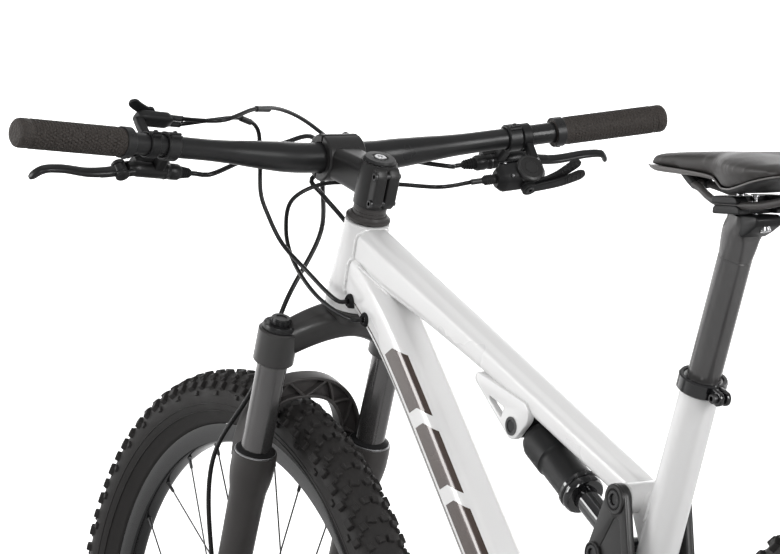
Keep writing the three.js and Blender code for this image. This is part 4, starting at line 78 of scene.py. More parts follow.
floor = bpy.data.objects.new("floor", floor_mesh)
scene.collection.objects.link(floor)

# One millimetre, the unit of the pieces and of their grain
MM = 0.001

# Materials, each built from nodes. The Mix node's colour sockets have no names of their own.
MIX_LOW, MIX_HIGH, MIX_RESULT, FLAKE_SCALE = 6, 7, 2, 2600


def map_range(nodes, links, source, from_low, from_high, low, high):
    node = nodes.new("ShaderNodeMapRange")
    for key, value in zip(("From Min", "From Max", "To Min", "To Max"), (from_low, from_high, low, high)):
        node.inputs[key].default_value = value
    links.new(source, node.inputs["Value"])
    return node.outputs["Result"]


def material(name, color, rough, metallic=0.0, coat=0.0, slot="black_alloy", grain=(900, 0.12), bump=0.02,
             blotch=(18, 0.12), bumps=None, flake=0.0, level=0.5, stretch=None, wear=0.0):
    """Colour and roughness vary a little, with a fine bump. grain and blotch hold a scale and a strength, bumps a
    pattern's scale and height, flake adds metal specks, and wear lightens the edges."""
    mat = bpy.data.materials.new(name)
    mat.use_nodes = True
    mat["slot"] = slot
    nodes, links = mat.node_tree.nodes, mat.node_tree.links
    shader = nodes["Principled BSDF"]
    for key, value in (("Metallic", metallic), ("Coat Weight", coat), ("Coat Roughness", 0.06),
                       ("Specular IOR Level", level)):
        shader.inputs[key].default_value = value
    place = nodes.new("ShaderNodeTexCoord").outputs["Object"]
    if stretch:
        mapping = nodes.new("ShaderNodeMapping")
        mapping.inputs["Scale"].default_value = stretch
        links.new(place, mapping.inputs["Vector"])
        place = mapping.outputs["Vector"]

    def texture(kind, scale):
        node = nodes.new(kind)
        node.inputs["Scale"].default_value = scale
        links.new(place, node.inputs["Vector"])
        return node

    def noise(scale, detail):
        node = texture("ShaderNodeTexNoise", scale)
        node.inputs["Detail"].default_value = detail
        return node.outputs["Fac"]

    def ranged(source, low, high, from_low=0.3, from_high=0.7):
        return map_range(nodes, links, source, from_low, from_high, low, high)

    def tones(low, high):
        node = nodes.new("ShaderNodeMix")
        node.data_type = "RGBA"
        for socket, tone in ((MIX_LOW, low), (MIX_HIGH, high)):
            if tone:
                node.inputs[socket].default_value = (*tone, 1)
        return node

    coarse, fine = noise(blotch[0], 4.0), noise(grain[0], 2.0)
    mix = tones([c * (1 - blotch[1]) for c in color], [min(1, c * (1 + blotch[1])) for c in color])
    total = nodes.new("ShaderNodeMath")
    total.operation = "MULTIPLY_ADD"
    total.inputs[1].default_value = 0.35
    links.new(ranged(fine, 0, 1), total.inputs[0])
    links.new(ranged(coarse, 0, 0.65), total.inputs[2])
    links.new(total.outputs[0], mix.inputs[0])
    tint = mix.outputs[MIX_RESULT]
    if wear:
        edge = nodes.new("ShaderNodeNewGeometry").outputs["Pointiness"]
        worn = tones(None, [min(1, c + wear) for c in color])
        links.new(ranged(edge, 0, 0.8, 0.52, 0.62), worn.inputs[0])
        links.new(tint, worn.inputs[MIX_LOW])
        tint = worn.outputs[MIX_RESULT]
    links.new(tint, shader.inputs["Base Color"])
    links.new(ranged(coarse, max(0.03, rough * 0.85), min(1, rough * 1.18)), shader.inputs["Roughness"])
    height = ranged(fine, 0, 1)
    node = nodes.new("ShaderNodeBump")
    node.inputs["Strength"].default_value = min(1.0, grain[1] + (0.6 if bumps else 0))
    node.inputs["Distance"].default_value = bump * MM
    links.new(height, node.inputs["Height"])
    if bumps:
        pattern = nodes.new("ShaderNodeBump")
        pattern.inputs["Distance"].default_value = bumps[1] * MM
        pattern.inputs["Strength"].default_value = 1.0
        links.new(texture("ShaderNodeTexVoronoi", bumps[0]).outputs["Distance"], pattern.inputs["Height"])
        links.new(node.outputs["Normal"], pattern.inputs["Normal"])
        node = pattern
    links.new(node.outputs["Normal"], shader.inputs["Normal"])
    if flake:
        specks = texture("ShaderNodeTexVoronoi", FLAKE_SCALE).outputs["Color"]
        links.new(ranged(specks, 0, flake, 0, 1), shader.inputs["Metallic"])
    return mat


FLOOR = material("floor_glow_shaded_front", (0.93, 0.93, 0.93), 0.8, slot="pearl_paint", grain=(50, 0.01), blotch=(2, 0.01))
nodes, links = FLOOR.node_tree.nodes, FLOOR.node_tree.links
glow, away, pale = nodes["Principled BSDF"], nodes.new("ShaderNodeVectorMath"), nodes.new("ShaderNodeMix")
glow.inputs["Emission Color"].default_value = (1, 1, 1, 1)
away.operation, pale.data_type = "DOT_PRODUCT", "RGBA"
away.inputs[1].default_value = (math.cos(azimuth), math.sin(azimuth), 0)
links.new(nodes.new("ShaderNodeTexCoord").outputs["Object"], away.inputs[0])
# The floor glows as a soft light and is white behind the bike. In front, where dark surfaces would mirror it, its
# glow and colour are dimmed to a painted shade, so that they mirror darkness.
far = map_range(nodes, links, away.outputs["Value"], 0.8, 4.0, 0.05, 0.98)
pale.inputs[MIX_LOW].default_value, pale.inputs[MIX_HIGH].default_value = (0.45, 0.45, 0.45, 1), (0.93, 0.93, 0.93, 1)
for source, socket in ((far, glow.inputs["Emission Strength"]), (far, pale.inputs[0]),
                       (pale.outputs[MIX_RESULT], glow.inputs["Base Color"])):
    links.new(source, socket)
floor_mesh.materials.append(FLOOR)

world = bpy.data.worlds.new("studio")
world.use_nodes = True
scene.world = world
world_nodes, world_links = world.node_tree.nodes, world.node_tree.links
aim = world_nodes.new("ShaderNodeSeparateXYZ")
world_links.new(world_nodes.new("ShaderNodeTexCoord").outputs["Generated"], aim.inputs[0])
sky = map_range(world_nodes, world_links, aim.outputs["Z"], 0.1, 0.9, 0.06, 0.42)
sky.node.interpolation_type = "SMOOTHSTEP"
world_links.new(sky, world_nodes["Background"].inputs["Strength"])
world_nodes["Background"].inputs["Color"].default_value = (1, 1, 1, 1)


def light(name, place, target, size, power):
    data = bpy.data.lights.new(name, "AREA")
    data.shape, data.size, data.size_y, data.energy = "RECTANGLE", size[0], size[1], power
    obj = bpy.data.objects.new(name, data)
    obj.location = place
    obj.rotation_euler = (Vector(target) - Vector(place)).to_track_quat("-Z", "Y").to_euler()
    scene.collection.objects.link(obj)


light("key", (1.7, 3.6, 1.7), (-0.1, 0, 0.8), (1.3, 1.8), 74)
light("top", (0, 0, 3.6), (0, 0, 0.6), (3.0, 2.0), 10)
light("rim", (2.6, -2.2, 2.2), (0, 0, 0.8), (1.6, 2.4), 16)
light("left", (-3.0, 2.3, 2.1), (-0.1, 0, 0.8), (0.6, 1.6), 46)
light("rear", (-3.3, -1.3, 1.7), (-0.1, 0, 0.8), (0.8, 1.8), 76)
scene.view_settings.view_transform = "Standard"


# Frame: alloy tubes with shaped sections under pearl paint, welded to a tapered head tube, a bottom bracket shell
# and the pivot bosses. Each tube is a run of rings, so that stripes and weld beads can follow its surface.
LEFT, UP = Vector((0, 1, 0)), Vector((0, 0, 1))


def skin(rings, loop=False, caps=True):
    """Quads between rings of equal count, with flat ends."""
    count = len(rings[0])
    faces = []
    for i in range(len(rings) if loop else len(rings) - 1):
        here, there = i * count, ((i + 1) % len(rings)) * count
        faces += [(here + j, here + (j + 1) % count, there + (j + 1) % count, there + j) for j in range(count)]
    if caps and not loop:
        last = (len(rings) - 1) * count
        faces += [tuple(range(count))[::-1], tuple(range(last, last + count))]
    return [p for ring in rings for p in ring], faces


def sweep(path, section, side=LEFT, caps=True):
    """Sets a section of (across, up) points square to each point of a path."""
    rings = []
    for i, point in enumerate(path):
        tangent = (path[min(i + 1, len(path) - 1)] - path[max(i - 1, 0)]).normalized()
        across = (side - tangent * side.dot(tangent)).normalized()
        normal = tangent.cross(across)
        rings.append([point + across * a + normal * n for a, n in section(i / (len(path) - 1))])
    return skin(rings, caps=caps)


def turned(profile, origin, axis, sides=48):
    """Turns (radius, height) points about an axis. The profile runs from axis to axis, or closes on itself."""
    axis = axis.normalized()
    one = axis.orthogonal().normalized()
    two = axis.cross(one)
    verts, faces, ids = [], [], []
    for r, h in profile:
        if r < 1e-6:
            ids.append([len(verts)])
            verts.append(origin + axis * h)
        else:
            ids.append(list(range(len(verts), len(verts) + sides)))
            verts += [origin + axis * h + (one * math.cos(a) + two * math.sin(a)) * r
                      for a in (j / sides * math.tau for j in range(sides))]
    closed = profile[0][0] > 1e-6
    pairs = list(zip(ids, ids[1:])) + ([(ids[-1], ids[0])] if closed and profile[0] != profile[-1] else [])
    for a, b in pairs:
        for j in range(sides):
            k = (j + 1) % sides
            quad = [a[j % len(a)], a[k % len(a)], b[k % len(b)], b[j % len(b)]]
            quad = list(dict.fromkeys(quad))
            if len(quad) > 2:
                faces.append(tuple(quad))
    return verts, faces


def ring(outer, inner, start, end, sides=48, edge=0.4):
    length = (end - start).length
    edge = min(edge, (outer - inner) * 0.3, length * 0.3)
    return turned([(inner, edge), (inner + edge, 0), (outer - edge, 0), (outer, edge), (outer, length - edge),
                   (outer - edge, length), (inner + edge, length), (inner, length - edge)], start, end - start, sides)


def rings_of(path, section):
    verts = sweep(path, section, caps=False)[0]
    count = len(verts) // len(path)
    return [verts[i * count:(i + 1) * count] for i in range(len(path))]


TOP_DEPTH = [(0, 1.62), (0.12, 1.55), (0.3, 1.25), (0.55, 1.03), (1, 0.97)]
TOP_WIDTH = [(0, 1.05), (0.3, 1.02), (0.7, 1), (1, 0.92)]


def vec(x, y, z):
    return Vector((x, y, z))


HEAD = math.radians(68.2)
STEER_UP = vec(-math.cos(HEAD), 0, math.sin(HEAD))
STEER_AHEAD = vec(math.sin(HEAD), 0, math.cos(HEAD))
FRONT_AXLE, REAR_AXLE = vec(585.5, 0, 371), vec(-585.5, 0, 371)
CROWN = FRONT_AXLE - STEER_AHEAD * 44 + STEER_UP * math.sqrt(509.5**2 - 44**2)
SEAT_UP = vec(-math.cos(math.radians(67.1)), 0, math.sin(math.radians(67.1)))
COLLAR = vec(-253, 0, 798)


def steer(up, ahead=0, across=0):
    return CROWN + STEER_UP * up + STEER_AHEAD * ahead + LEFT * across


def seat_line(up):
    return COLLAR + SEAT_UP * up


top_from, top_to = steer(84), seat_line(-142)
top_down = (top_to - top_from).normalized().cross(LEFT)
if top_down.z > 0:
    top_down = -top_down


def along(pairs, share):
    """Reads a table of (share, value) pairs on a smooth line through them."""
    xs, ys = [p[0] for p in pairs], [p[1] for p in pairs]
    i = min(max(sum(1 for x in xs if x <= share) - 1, 0), len(xs) - 2)
    slopes = []
    for k in (i, i + 1):
        if 0 < k < len(xs) - 1:
            a = (ys[k] - ys[k - 1]) / (xs[k] - xs[k - 1])
            b = (ys[k + 1] - ys[k]) / (xs[k + 1] - xs[k])
            slopes.append(0 if a * b <= 0 else 2 * a * b / (a + b))
        else:
            near = (k, k + 1) if k == 0 else (k - 1, k)
            slopes.append((ys[near[1]] - ys[near[0]]) / (xs[near[1]] - xs[near[0]]))
    h = xs[i + 1] - xs[i]
    t = min(max((share - xs[i]) / h, 0), 1)
    return ((2 * t**3 - 3 * t**2 + 1) * ys[i] + (t**3 - 2 * t**2 + t) * h * slopes[0] + (3 * t**2 - 2 * t**3)
            * ys[i + 1] + (t**3 - t**2) * h * slopes[1])


top_path = [top_from.lerp(top_to, s) + top_down * 15 * (along(TOP_DEPTH, s) - 1) for s in np.linspace(0, 1, 41)]


def oval(half_width, half_depth, sides=32, power=2.0):
    """A section between an ellipse, where the power is 2, and a rounded box."""
    points = []
    for i in range(sides):
        c, s = math.cos((i + 0.5) / sides * math.tau), math.sin((i + 0.5) / sides * math.tau)
        points.append((math.copysign(abs(c) ** (2 / power), c) * half_width, math.copysign(abs(s) ** (2 / power), s)
                       * half_depth))
    return points


def soft(points, radius, steps=4):
    """A polygon section with each corner rounded by the same reach."""
    out = []
    for before, at, after in zip(points[-1:] + points, points, points[1:] + points[:1]):
        a, b, c = (np.array(p, float) for p in (before, at, after))
        reach = min(radius, np.linalg.norm(a - b) * 0.46, np.linalg.norm(c - b) * 0.46)
        p, q = b + (a - b) / np.linalg.norm(a - b) * reach, b + (c - b) / np.linalg.norm(c - b) * reach
        out += [tuple((1 - t) ** 2 * p + 2 * t * (1 - t) * b + t * t * q) for t in np.linspace(0, 1, steps + 1)]
    return out


def octagon(half_width, half_depth, power, radius):
    return soft(oval(half_width, half_depth, 8, power), radius)


top_rings = rings_of(top_path, lambda s: octagon(18.5 * along(TOP_WIDTH, s), 15 * along(TOP_DEPTH, s), 3.4, 5))

DOWN_BOW = [(0, 0), (0.06, -0.013), (0.14, -0.021), (0.475, 0), (0.7, 0.018), (0.88, 0.026), (1, 0)]
DOWN_DEPTH = [(0, 1.3), (0.1, 1.18), (0.25, 1.08), (0.7, 1.12), (0.9, 1.1), (1, 0.95)]
DOWN_WIDTH = [(0, 0.86), (0.1, 0.96), (0.3, 1), (0.7, 1.08), (0.9, 1.2), (1, 1.3)]
down_top = steer(45)

BRACKET, MAIN_PIVOT, ROCKER = vec(-151, 0, 337), vec(-128, 0, 392), vec(-170, 0, 683)
down_run = BRACKET - down_top
down_front = down_run.normalized().cross(LEFT)


def spaced(points, count, loop=False):
    """A smooth line through some points, as count + 1 points at even distances."""
    pts = [np.array(p, float) for p in points]
    ends = [2 * pts[0] - pts[1], *pts, 2 * pts[-1] - pts[-2]] if not loop else [pts[-1], *pts, pts[0], pts[1]]
    line = []
    for a, b, c, d in zip(ends, ends[1:], ends[2:], ends[3:]):
        t = [0.0]
        for p, q in ((a, b), (b, c), (c, d)):
            t.append(t[-1] + max(np.linalg.norm(q - p), 1e-6) ** 0.5)
        for s in np.linspace(t[1], t[2], 24, endpoint=False):
            a1 = (t[1] - s) / (t[1] - t[0]) * a + (s - t[0]) / (t[1] - t[0]) * b
            a2 = (t[2] - s) / (t[2] - t[1]) * b + (s - t[1]) / (t[2] - t[1]) * c
            a3 = (t[3] - s) / (t[3] - t[2]) * c + (s - t[2]) / (t[3] - t[2]) * d
            b1 = (t[2] - s) / (t[2] - t[0]) * a1 + (s - t[0]) / (t[2] - t[0]) * a2
            b2 = (t[3] - s) / (t[3] - t[1]) * a2 + (s - t[1]) / (t[3] - t[1]) * a3
            line.append((t[2] - s) / (t[2] - t[1]) * b1 + (s - t[1]) / (t[2] - t[1]) * b2)
    line.append(pts[0] if loop else pts[-1])
    line = np.array(line)
    reach = np.concatenate([[0], np.cumsum(np.linalg.norm(np.diff(line, axis=0), axis=1))])
    at = np.linspace(0, reach[-1], count + 1)
    return [Vector([np.interp(x, reach, line[:, k]) for k in range(3)]) for x in at]


down_path = spaced([down_top + down_run * s + down_front * dict(DOWN_BOW)[s] * down_run.length
                    for s in (0, 0.06, 0.14, 0.475, 0.7, 0.88, 1)], 60)
down_rings = rings_of(down_path, lambda s: octagon(25 * along(DOWN_WIDTH, s), 25 * along(DOWN_DEPTH, s), 3, 6))

SEAT_WIDTH = [(0, 1), (0.35, 1.04), (0.7, 1.12), (1, 1.2)]
seat_path = [seat_line(-412 * s) for s in np.linspace(0, 1, 40)]
seat_rings = rings_of(seat_path, lambda s: oval(18 * along(SEAT_WIDTH, s), 18 * along(SEAT_WIDTH, s), 48))

head = turned([(19, 95), (22, 95), (23.3, 94), (23.4, 80), (23.7, 70), (24.4, 55), (24.9, 42), (26, 26), (27.2, 14),
               (27.5, 8), (27.5, 1), (26.6, 0), (23.4, 0), (23.4, 20), (17, 21), (17, 79), (19, 80)], steer(3),
              STEER_UP, 64)


def circle(x, z, radius, sides=24):
    return [(x + radius * math.cos(i / sides * math.tau), z + radius * math.sin(i / sides * math.tau))
            for i in range(sides)]


def strap(circles, sides=40):
    """The outline of a strap pulled tight round some (x, z, radius) circles."""
    points = sorted(p for x, z, r in circles for p in circle(x, z, r, sides))

    def half(row):
        chain = []
        for p in row:
            while len(chain) > 1 and ((chain[-1][0] - chain[-2][0]) * (p[1] - chain[-2][1])
                                      - (chain[-1][1] - chain[-2][1]) * (p[0] - chain[-2][0])) <= 0:
                chain.pop()
            chain.append(p)
        return chain[:-1]
    return half(points) + half(points[::-1])


def plate(outline, from_y, to_y, holes=(), edge=0.5):
    """Extrudes an outline of (x, z) points across the bike, with rounded edges and real holes."""
    curve = bpy.data.curves.new("outline", "CURVE")
    curve.dimensions, curve.fill_mode = "2D", "BOTH"
    thick = abs(to_y - from_y)
    edge = min(edge, thick * 0.3)
    curve.extrude, curve.bevel_depth, curve.bevel_resolution, curve.offset = thick / 2 - edge, edge, 2, -edge
    for loop_points in (outline, *holes):
        spline = curve.splines.new("POLY")
        spline.points.add(len(loop_points) - 1)
        for point, (x, z) in zip(spline.points, loop_points):
            point.co = (x, z, 0, 1)
        spline.use_cyclic_u = True
    obj = bpy.data.objects.new("outline", curve)
    scene.collection.objects.link(obj)
    mesh = obj.evaluated_get(bpy.context.evaluated_depsgraph_get()).to_mesh()
    verts = [vec(v.co.x, (from_y + to_y) / 2 - v.co.z, v.co.y) for v in mesh.vertices]
    faces = [tuple(p.vertices) for p in mesh.polygons]
    bpy.data.objects.remove(obj)
    bpy.data.curves.remove(curve)
    return verts, faces


def spot(point, radius):
    """One circle of a strap's outline."""
    return point.x, point.z, radius


web = plate(strap([spot(BRACKET, 20), spot(MAIN_PIVOT, 15), spot(seat_line(-408), 20)]), -20, 20, edge=4)
gusset = plate(strap([spot(ROCKER, 12), spot(seat_line(-172), 12)]), -15, 15, edge=3)


def beside(point, across):
    return vec(point.x, across, point.z)


def span(point, from_y, to_y):
    """The two ends of a pin across the bike."""
    return beside(point, from_y), beside(point, to_y)


shell = ring(23, 20.3, *span(BRACKET, -46, 46), edge=1)
bosses = [ring(15, 8, *span(MAIN_PIVOT, -29, 29), edge=1), ring(14, 8, *span(ROCKER, -28, 28), edge=1)]

SHOCK_FRONT = vec(25, 0, 731)
sx, sz = SHOCK_FRONT.x, SHOCK_FRONT.z


def both(geometry):
    """A geometry and its mirror image across the bike."""
    verts, faces = geometry
    return [geometry, ([vec(v.x, -v.y, v.z) for v in verts], [f[::-1] for f in faces])]


tabs = both(plate(strap([(sx, sz, 13), (sx + 58, sz + 42, 6), (sx - 16, sz + 13, 13)]), 13, 20.5,
                  [strap([(sx + 37, sz + 24, 1.6), (sx + 19, sz + 9, 1.6), (sx + 16, sz + 16, 1.6)], 12)], edge=1.4))


def merged(parts):
    verts, faces = [], []
    for part_verts, part_faces in parts:
        start = len(verts)
        verts += part_verts
        faces += [tuple(i + start for i in f) for f in part_faces]
    return verts, faces


def make(name, parts, material, body, replaces=(), angle=32, level=0, weld=1e-6):
    """A piece from one geometry or several, in millimetres, that rides on a body and may replace CAD nodes."""
    verts, faces = merged(parts) if isinstance(parts, list) else parts
    mesh = bpy.data.meshes.new(name)
    mesh.from_pydata([v * MM for v in verts], [], faces)
    bm = bmesh.new()
    bm.from_mesh(mesh)
    bmesh.ops.remove_doubles(bm, verts=bm.verts, dist=weld)
    bmesh.ops.recalc_face_normals(bm, faces=bm.faces)
    bm.to_mesh(mesh)
    bm.free()
    mesh.materials.append(material)
    obj = bpy.data.objects.new(name, mesh)
    scene.collection.objects.link(obj)
    mesh.shade_smooth()
    if level:
        mod = obj.modifiers.new("round", "SUBSURF")
        mod.levels = mod.render_levels = level
    mesh.set_sharp_from_angle(angle=math.radians(angle))
    if body:
        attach(obj, body)
    if replaces:
        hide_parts(*([replaces] if isinstance(replaces, str) else replaces))
    return obj


PAINT = material("paint_pearl", (0.75, 0.747, 0.745), 0.3, coat=0.45, slot="pearl_paint", grain=(1400, 0.05),
                 bump=0.01, blotch=(6, 0.02), flake=0.16)
make("frame_tubes", [skin(top_rings), skin(down_rings), skin(seat_rings, caps=False), head, web, gusset, shell,
                     *bosses, *tabs], PAINT, "front_triangle", "front_frame", angle=38)
make("frame_seat_lip", ring(18, 15.8, seat_line(-3), seat_line(0), edge=0.6), PAINT, "front_triangle")


# Weld beads: ripples of filler that run round each tube where it meets the next, painted with the frame.
# A bead lies where one tube's surface lines come out of the other form.
BEAD_RINGS, BEAD_SIDES = 240, 10


def tube(points, radius, steps=60, sides=14, loop=False):
    """A round tube along a smooth line, with rings that don't twist. radius may be a function of the share."""
    path = spaced(points, steps, loop)
    if loop:
        path = path[:-1]
    first = (path[1] - path[0]).normalized()
    across = first.orthogonal().normalized()
    rings = []
    for i, point in enumerate(path):
        nxt, last = path[(i + 1) % len(path)] if loop else path[min(i + 1, len(path) - 1)], path[i - 1 if loop or i
                else 0]
        tangent = (nxt - last).normalized()
        across = (across - tangent * across.dot(tangent)).normalized()
        other = tangent.cross(across)
        r = radius(i / steps) if callable(radius) else radius
        rings.append([point + (across * math.cos(a) + other * math.sin(a)) * r
                      for a in (j / sides * math.tau for j in range(sides))])
    return skin(rings, loop)


def bead(rings, other, backwards=False):
    verts, faces = other
    bm = bmesh.new()
    made = [bm.verts.new(v) for v in verts]
    for face in faces:
        try:
            bm.faces.new([made[i] for i in face])
        except ValueError:
            pass
    bmesh.ops.recalc_face_normals(bm, faces=bm.faces)
    tree = BVHTree.FromBMesh(bm)
    bm.free()
    order = rings[::-1] if backwards else rings
    line = []
    for j in range(len(rings[0])):
        last = None
        for a, b in zip(order, order[1:]):
            step = b[j] - a[j]
            hit = tree.ray_cast(a[j], step.normalized(), step.length)
            if hit[0] is not None and hit[1].dot(step) > 0:
                last = hit[0]
        if last is not None:
            line.append(last)
    if len(line) < 8:
        return None
    verts, faces = tube(line, 2.2, BEAD_RINGS, BEAD_SIDES, loop=True)
    for i in range(0, len(verts), BEAD_SIDES):
        centre = sum(verts[i:i + BEAD_SIDES], vec(0, 0, 0)) / BEAD_SIDES
        swell = 1 + 0.1 * math.sin(i / BEAD_SIDES * math.tau / 4)
        for k in range(i, i + BEAD_SIDES):
            verts[k] = centre + (verts[k] - centre) * swell
    return verts, faces


beads = [bead(top_rings, head), bead(down_rings, head), bead(down_rings, skin(top_rings)),
         bead(top_rings, skin(seat_rings), backwards=True), bead(down_rings, shell, backwards=True),
         bead(seat_rings, web, backwards=True)]
make("frame_welds", [b for b in beads if b], PAINT, "front_triangle", angle=60)


# Stripes: dark brown paint on the pearl of the down tube, under the same lacquer.
# Each is a strip of the tube's own surface, lifted a hair.
STRIPE_ROWS, STRIPE_COLUMNS, STRIPE_LIFT = 40, 12, 0.12


def lerp(a, b, t):
    return a + (b - a) * t


def patch(rings, shares, from_corner, to_corner):
    """A strip between two shares of the tube, and between two places round its section, which may slant."""
    count = len(rings[0])

    def pick(r, k):
        return rings[r][k % count]

    rows = []
    for t in np.linspace(0, 1, STRIPE_ROWS + 1):
        row = []
        for u in np.linspace(0, 1, STRIPE_COLUMNS + 1):
            share = lerp(lerp(shares[0], shares[1], u), lerp(shares[2], shares[3], u), t)
            corner = lerp(from_corner, to_corner, u) * count
            at = min(max(share, 0), 1) * (len(rings) - 1)
            i, j = min(int(at), len(rings) - 2), int(math.floor(corner))
            f, g = at - i, corner - j
            p = lerp(lerp(pick(i, j), pick(i, j + 1), g), lerp(pick(i + 1, j), pick(i + 1, j + 1), g), f)
            centre = lerp(sum(rings[i], vec(0, 0, 0)) / count, sum(rings[i + 1], vec(0, 0, 0)) / count, f)
            row.append(p + (p - centre).normalized() * STRIPE_LIFT)
        rows.append(row)
    width = STRIPE_COLUMNS + 1
    faces = [(i * width + j, i * width + j + 1, (i + 1) * width + j + 1, (i + 1) * width + j)
             for i in range(STRIPE_ROWS) for j in range(STRIPE_COLUMNS)]
    return [p for row in rows for p in row], faces


# Generic stripes: slanted bars down the tube's left face, and two long lines beside them
bars = [patch(down_rings, [share + 0.125 * i for share in (0.17, 0.2, 0.27, 0.3)], 0.997, 0.857) for i in range(5)]

STRIPE = material("paint_stripe", (0.06, 0.04, 0.033), 0.24, coat=0.8, slot="pearl_paint", grain=(1400, 0.05),
                  bump=0.01, blotch=(25, 0.15), flake=0.3)
make("stripe_bars", bars, STRIPE, "front_triangle", angle=60)
make("stripe_line", [patch(down_rings, (0.06, 0.06, 0.93, 0.93), 0.016, 0.03),
                     patch(down_rings, (0.16, 0.16, 0.82, 0.82), 0.104, 0.119)], STRIPE, "front_triangle", angle=60)


# Fork: hard-coated alloy stanchions pressed into a forged crown. They slide in matt cast lowers, whose two legs
# are tied by an arch and closed by wiper seals, with dropouts for the front axle.
LEG_AHEAD, LEG_ACROSS, LEG_FOOT, ARCH_HALF = 16.5, 70.2, -486, 10.5


def on_leg(up, hand):
    return steer(up, LEG_AHEAD, hand * LEG_ACROSS)


def bridge_section(s):
    bow = abs(s * 2 - 1) ** 1.4
    return octagon(lerp(23, 15, bow), 17, 3.2, 7)


bridge_path = []
for s in np.linspace(-1, 1, 49):
    bow = abs(s) ** 1.8
    bridge_path.append(steer(lerp(-17, -49, bow), lerp(6, LEG_AHEAD, bow), s * LEG_ACROSS))
crown_parts = [sweep(bridge_path, bridge_section, STEER_AHEAD)]
crown_parts.append(turned([(0, 0), (20, 0), (22.5, 1), (26.4, 13.4), (27, 14.4), (27, 16.2), (22.5, 16.7), (22.5, 29),
                           (14.3, 36), (14.3, 174.5), (13.8, 175), (0, 175)], steer(-14), STEER_UP, 64))
for hand in (1, -1):
    crown_parts.append(ring(21.5, 16.4, on_leg(-68, hand), on_leg(-30, hand), 64, edge=1.6))

CROWN_BLACK = material("crown_satin", (0.03, 0.0285, 0.028), 0.33, slot="black_alloy", grain=(1500, 0.25), bump=0.03,
                       wear=0.02, level=0.6)
make("fork_crown_forged", crown_parts, CROWN_BLACK, "steering", "fork_crown", angle=38)


def rod(radius, start, end, sides=32, edge=0.4):
    """A round rod with softened ends."""
    length = (end - start).length
    edge = min(edge, radius * 0.4, length * 0.3)
    return turned([(0, 0), (radius - edge, 0), (radius, edge), (radius, length - edge), (radius - edge, length),
                   (0, length)], start, end - start, sides)


ALLOY = material("alloy_satin_black", (0.012, 0.012, 0.0125), 0.36, metallic=0.2, slot="black_alloy", wear=0.03,
                 level=0.3)
STANCHION = material("stanchion_hard_black", (0.16, 0.156, 0.156), 0.2, metallic=0.8, slot="gloss_black",
                     grain=(2000, 0.03), bump=0.005)
for hand, name in ((1, "left"), (-1, "right")):
    make(f"stanchion_tube_{name}", turned([(0, 0), (15.5, 0), (16, 0.6), (16, 301.3), (0, 301.3)], on_leg(-331, hand),
                                          STEER_UP, 72), STANCHION, "steering", f"stanchion_{name}")
    cap = [turned([(0, 0), (18, 0), (18, 3.6), (17, 5.5), (13, 5.5), (12.4, 5), (11, 5), (10.5, 5.5), (10.5, 10.5),
                   (9.5, 12.5), (6, 12.5), (5.2, 11.6), (0, 11.6)], on_leg(-29.7, hand), STEER_UP, 48)]
    for i in range(12):
        a = i / 12 * math.tau
        out = STEER_AHEAD * math.cos(a) + LEFT * math.sin(a)
        cap.append(rod(1.1, on_leg(-24, hand) + out * 15.4, on_leg(-23.6, hand) + out * 15.4, 10))
        if hand > 0:
            cap.append(rod(1.0, on_leg(-23.5, hand) + out * 10.3, on_leg(-18.5, hand) + out * 10.3, 8))
    make(f"stanchion_cap_{name}", cap, ALLOY, "steering", angle=30)


def arch_point(turn, lift=0.0):
    c, s = math.cos(turn), math.sin(turn)
    return steer(-206 + 86 * abs(c) ** 0.8 + lift * abs(c) ** 0.5, 39 + 18 * abs(c) ** 0.4, (64 + lift * abs(s))
                 * math.copysign(abs(s) ** 0.8, s))


lowers = []
for hand in (1, -1):
    lowers.append(turned([(16.4, 313), (21.8, 313), (23.2, 311.6), (23.6, 304), (23.4, 288), (22.2, 278), (19.8, 266),
                          (19, 250), (18.6, 220), (18.2, 156), (17.6, 60), (17, 8), (15, 1), (12, 0), (0, 0), (0, 40),
                          (16.4, 40)], on_leg(LEG_FOOT, hand), STEER_UP, 64))
    foot = on_leg(LEG_FOOT, 0)
    near, far = (55.3, 71) if hand > 0 else (-71, -55.3)
    lowers.append(plate(strap([spot(foot, 14), spot(FRONT_AXLE, 14)]), near, far, edge=2.5))
    root = [arch_point(hand * math.pi * 0.43), arch_point(hand * math.pi * 0.475), steer(-222, 33, hand * 68),
            steer(-246, 25, hand * 69.6), steer(-276, 17, hand * LEG_ACROSS)]
    lowers.append(sweep(spaced(root, 24), lambda s: oval(lerp(9, 5, s), lerp(11.5, 8, s), 28, 3), STEER_AHEAD))
    lowers.append(rod(8, on_leg(-200, hand), arch_point(hand * math.pi * 0.46), edge=2))
rail_turns = [(i / 48 - 0.5) * math.pi * 0.96 for i in range(49)]


def box(half_width, half_depth, radius):
    return soft([(-half_width, -half_depth), (half_width, -half_depth), (half_width, half_depth),
                 (-half_width, half_depth)], radius)


for lift in (ARCH_HALF, -ARCH_HALF):
    lowers.append(sweep([arch_point(t, lift) for t in rail_turns], lambda s: box(9, 1.8, 1.2), STEER_AHEAD))
lowers.append(sweep([arch_point(t) for t in rail_turns], lambda s: box(1.5, ARCH_HALF, 0.4), STEER_AHEAD))
for i in range(10):
    a, b = ((k / 10 - 0.5) * math.pi * 0.9 for k in (i, i + 1))
    sign = -1 if i % 2 else 1
    lowers.append(sweep([arch_point(lerp(a, b, t), lerp(sign, -sign, t) * ARCH_HALF) for t in np.linspace(0, 1, 7)],
                        lambda s: box(8.4, 1.5, 1.1), STEER_AHEAD))
post_high, post_low = steer(-411, -8), steer(-465, -8)
leg_high, leg_low = on_leg(-411, 0), on_leg(-465, 0)
lowers.append(plate(strap([spot(p, 7) for p in (post_high, post_low, leg_high, leg_low)]), 60, 71, edge=2))

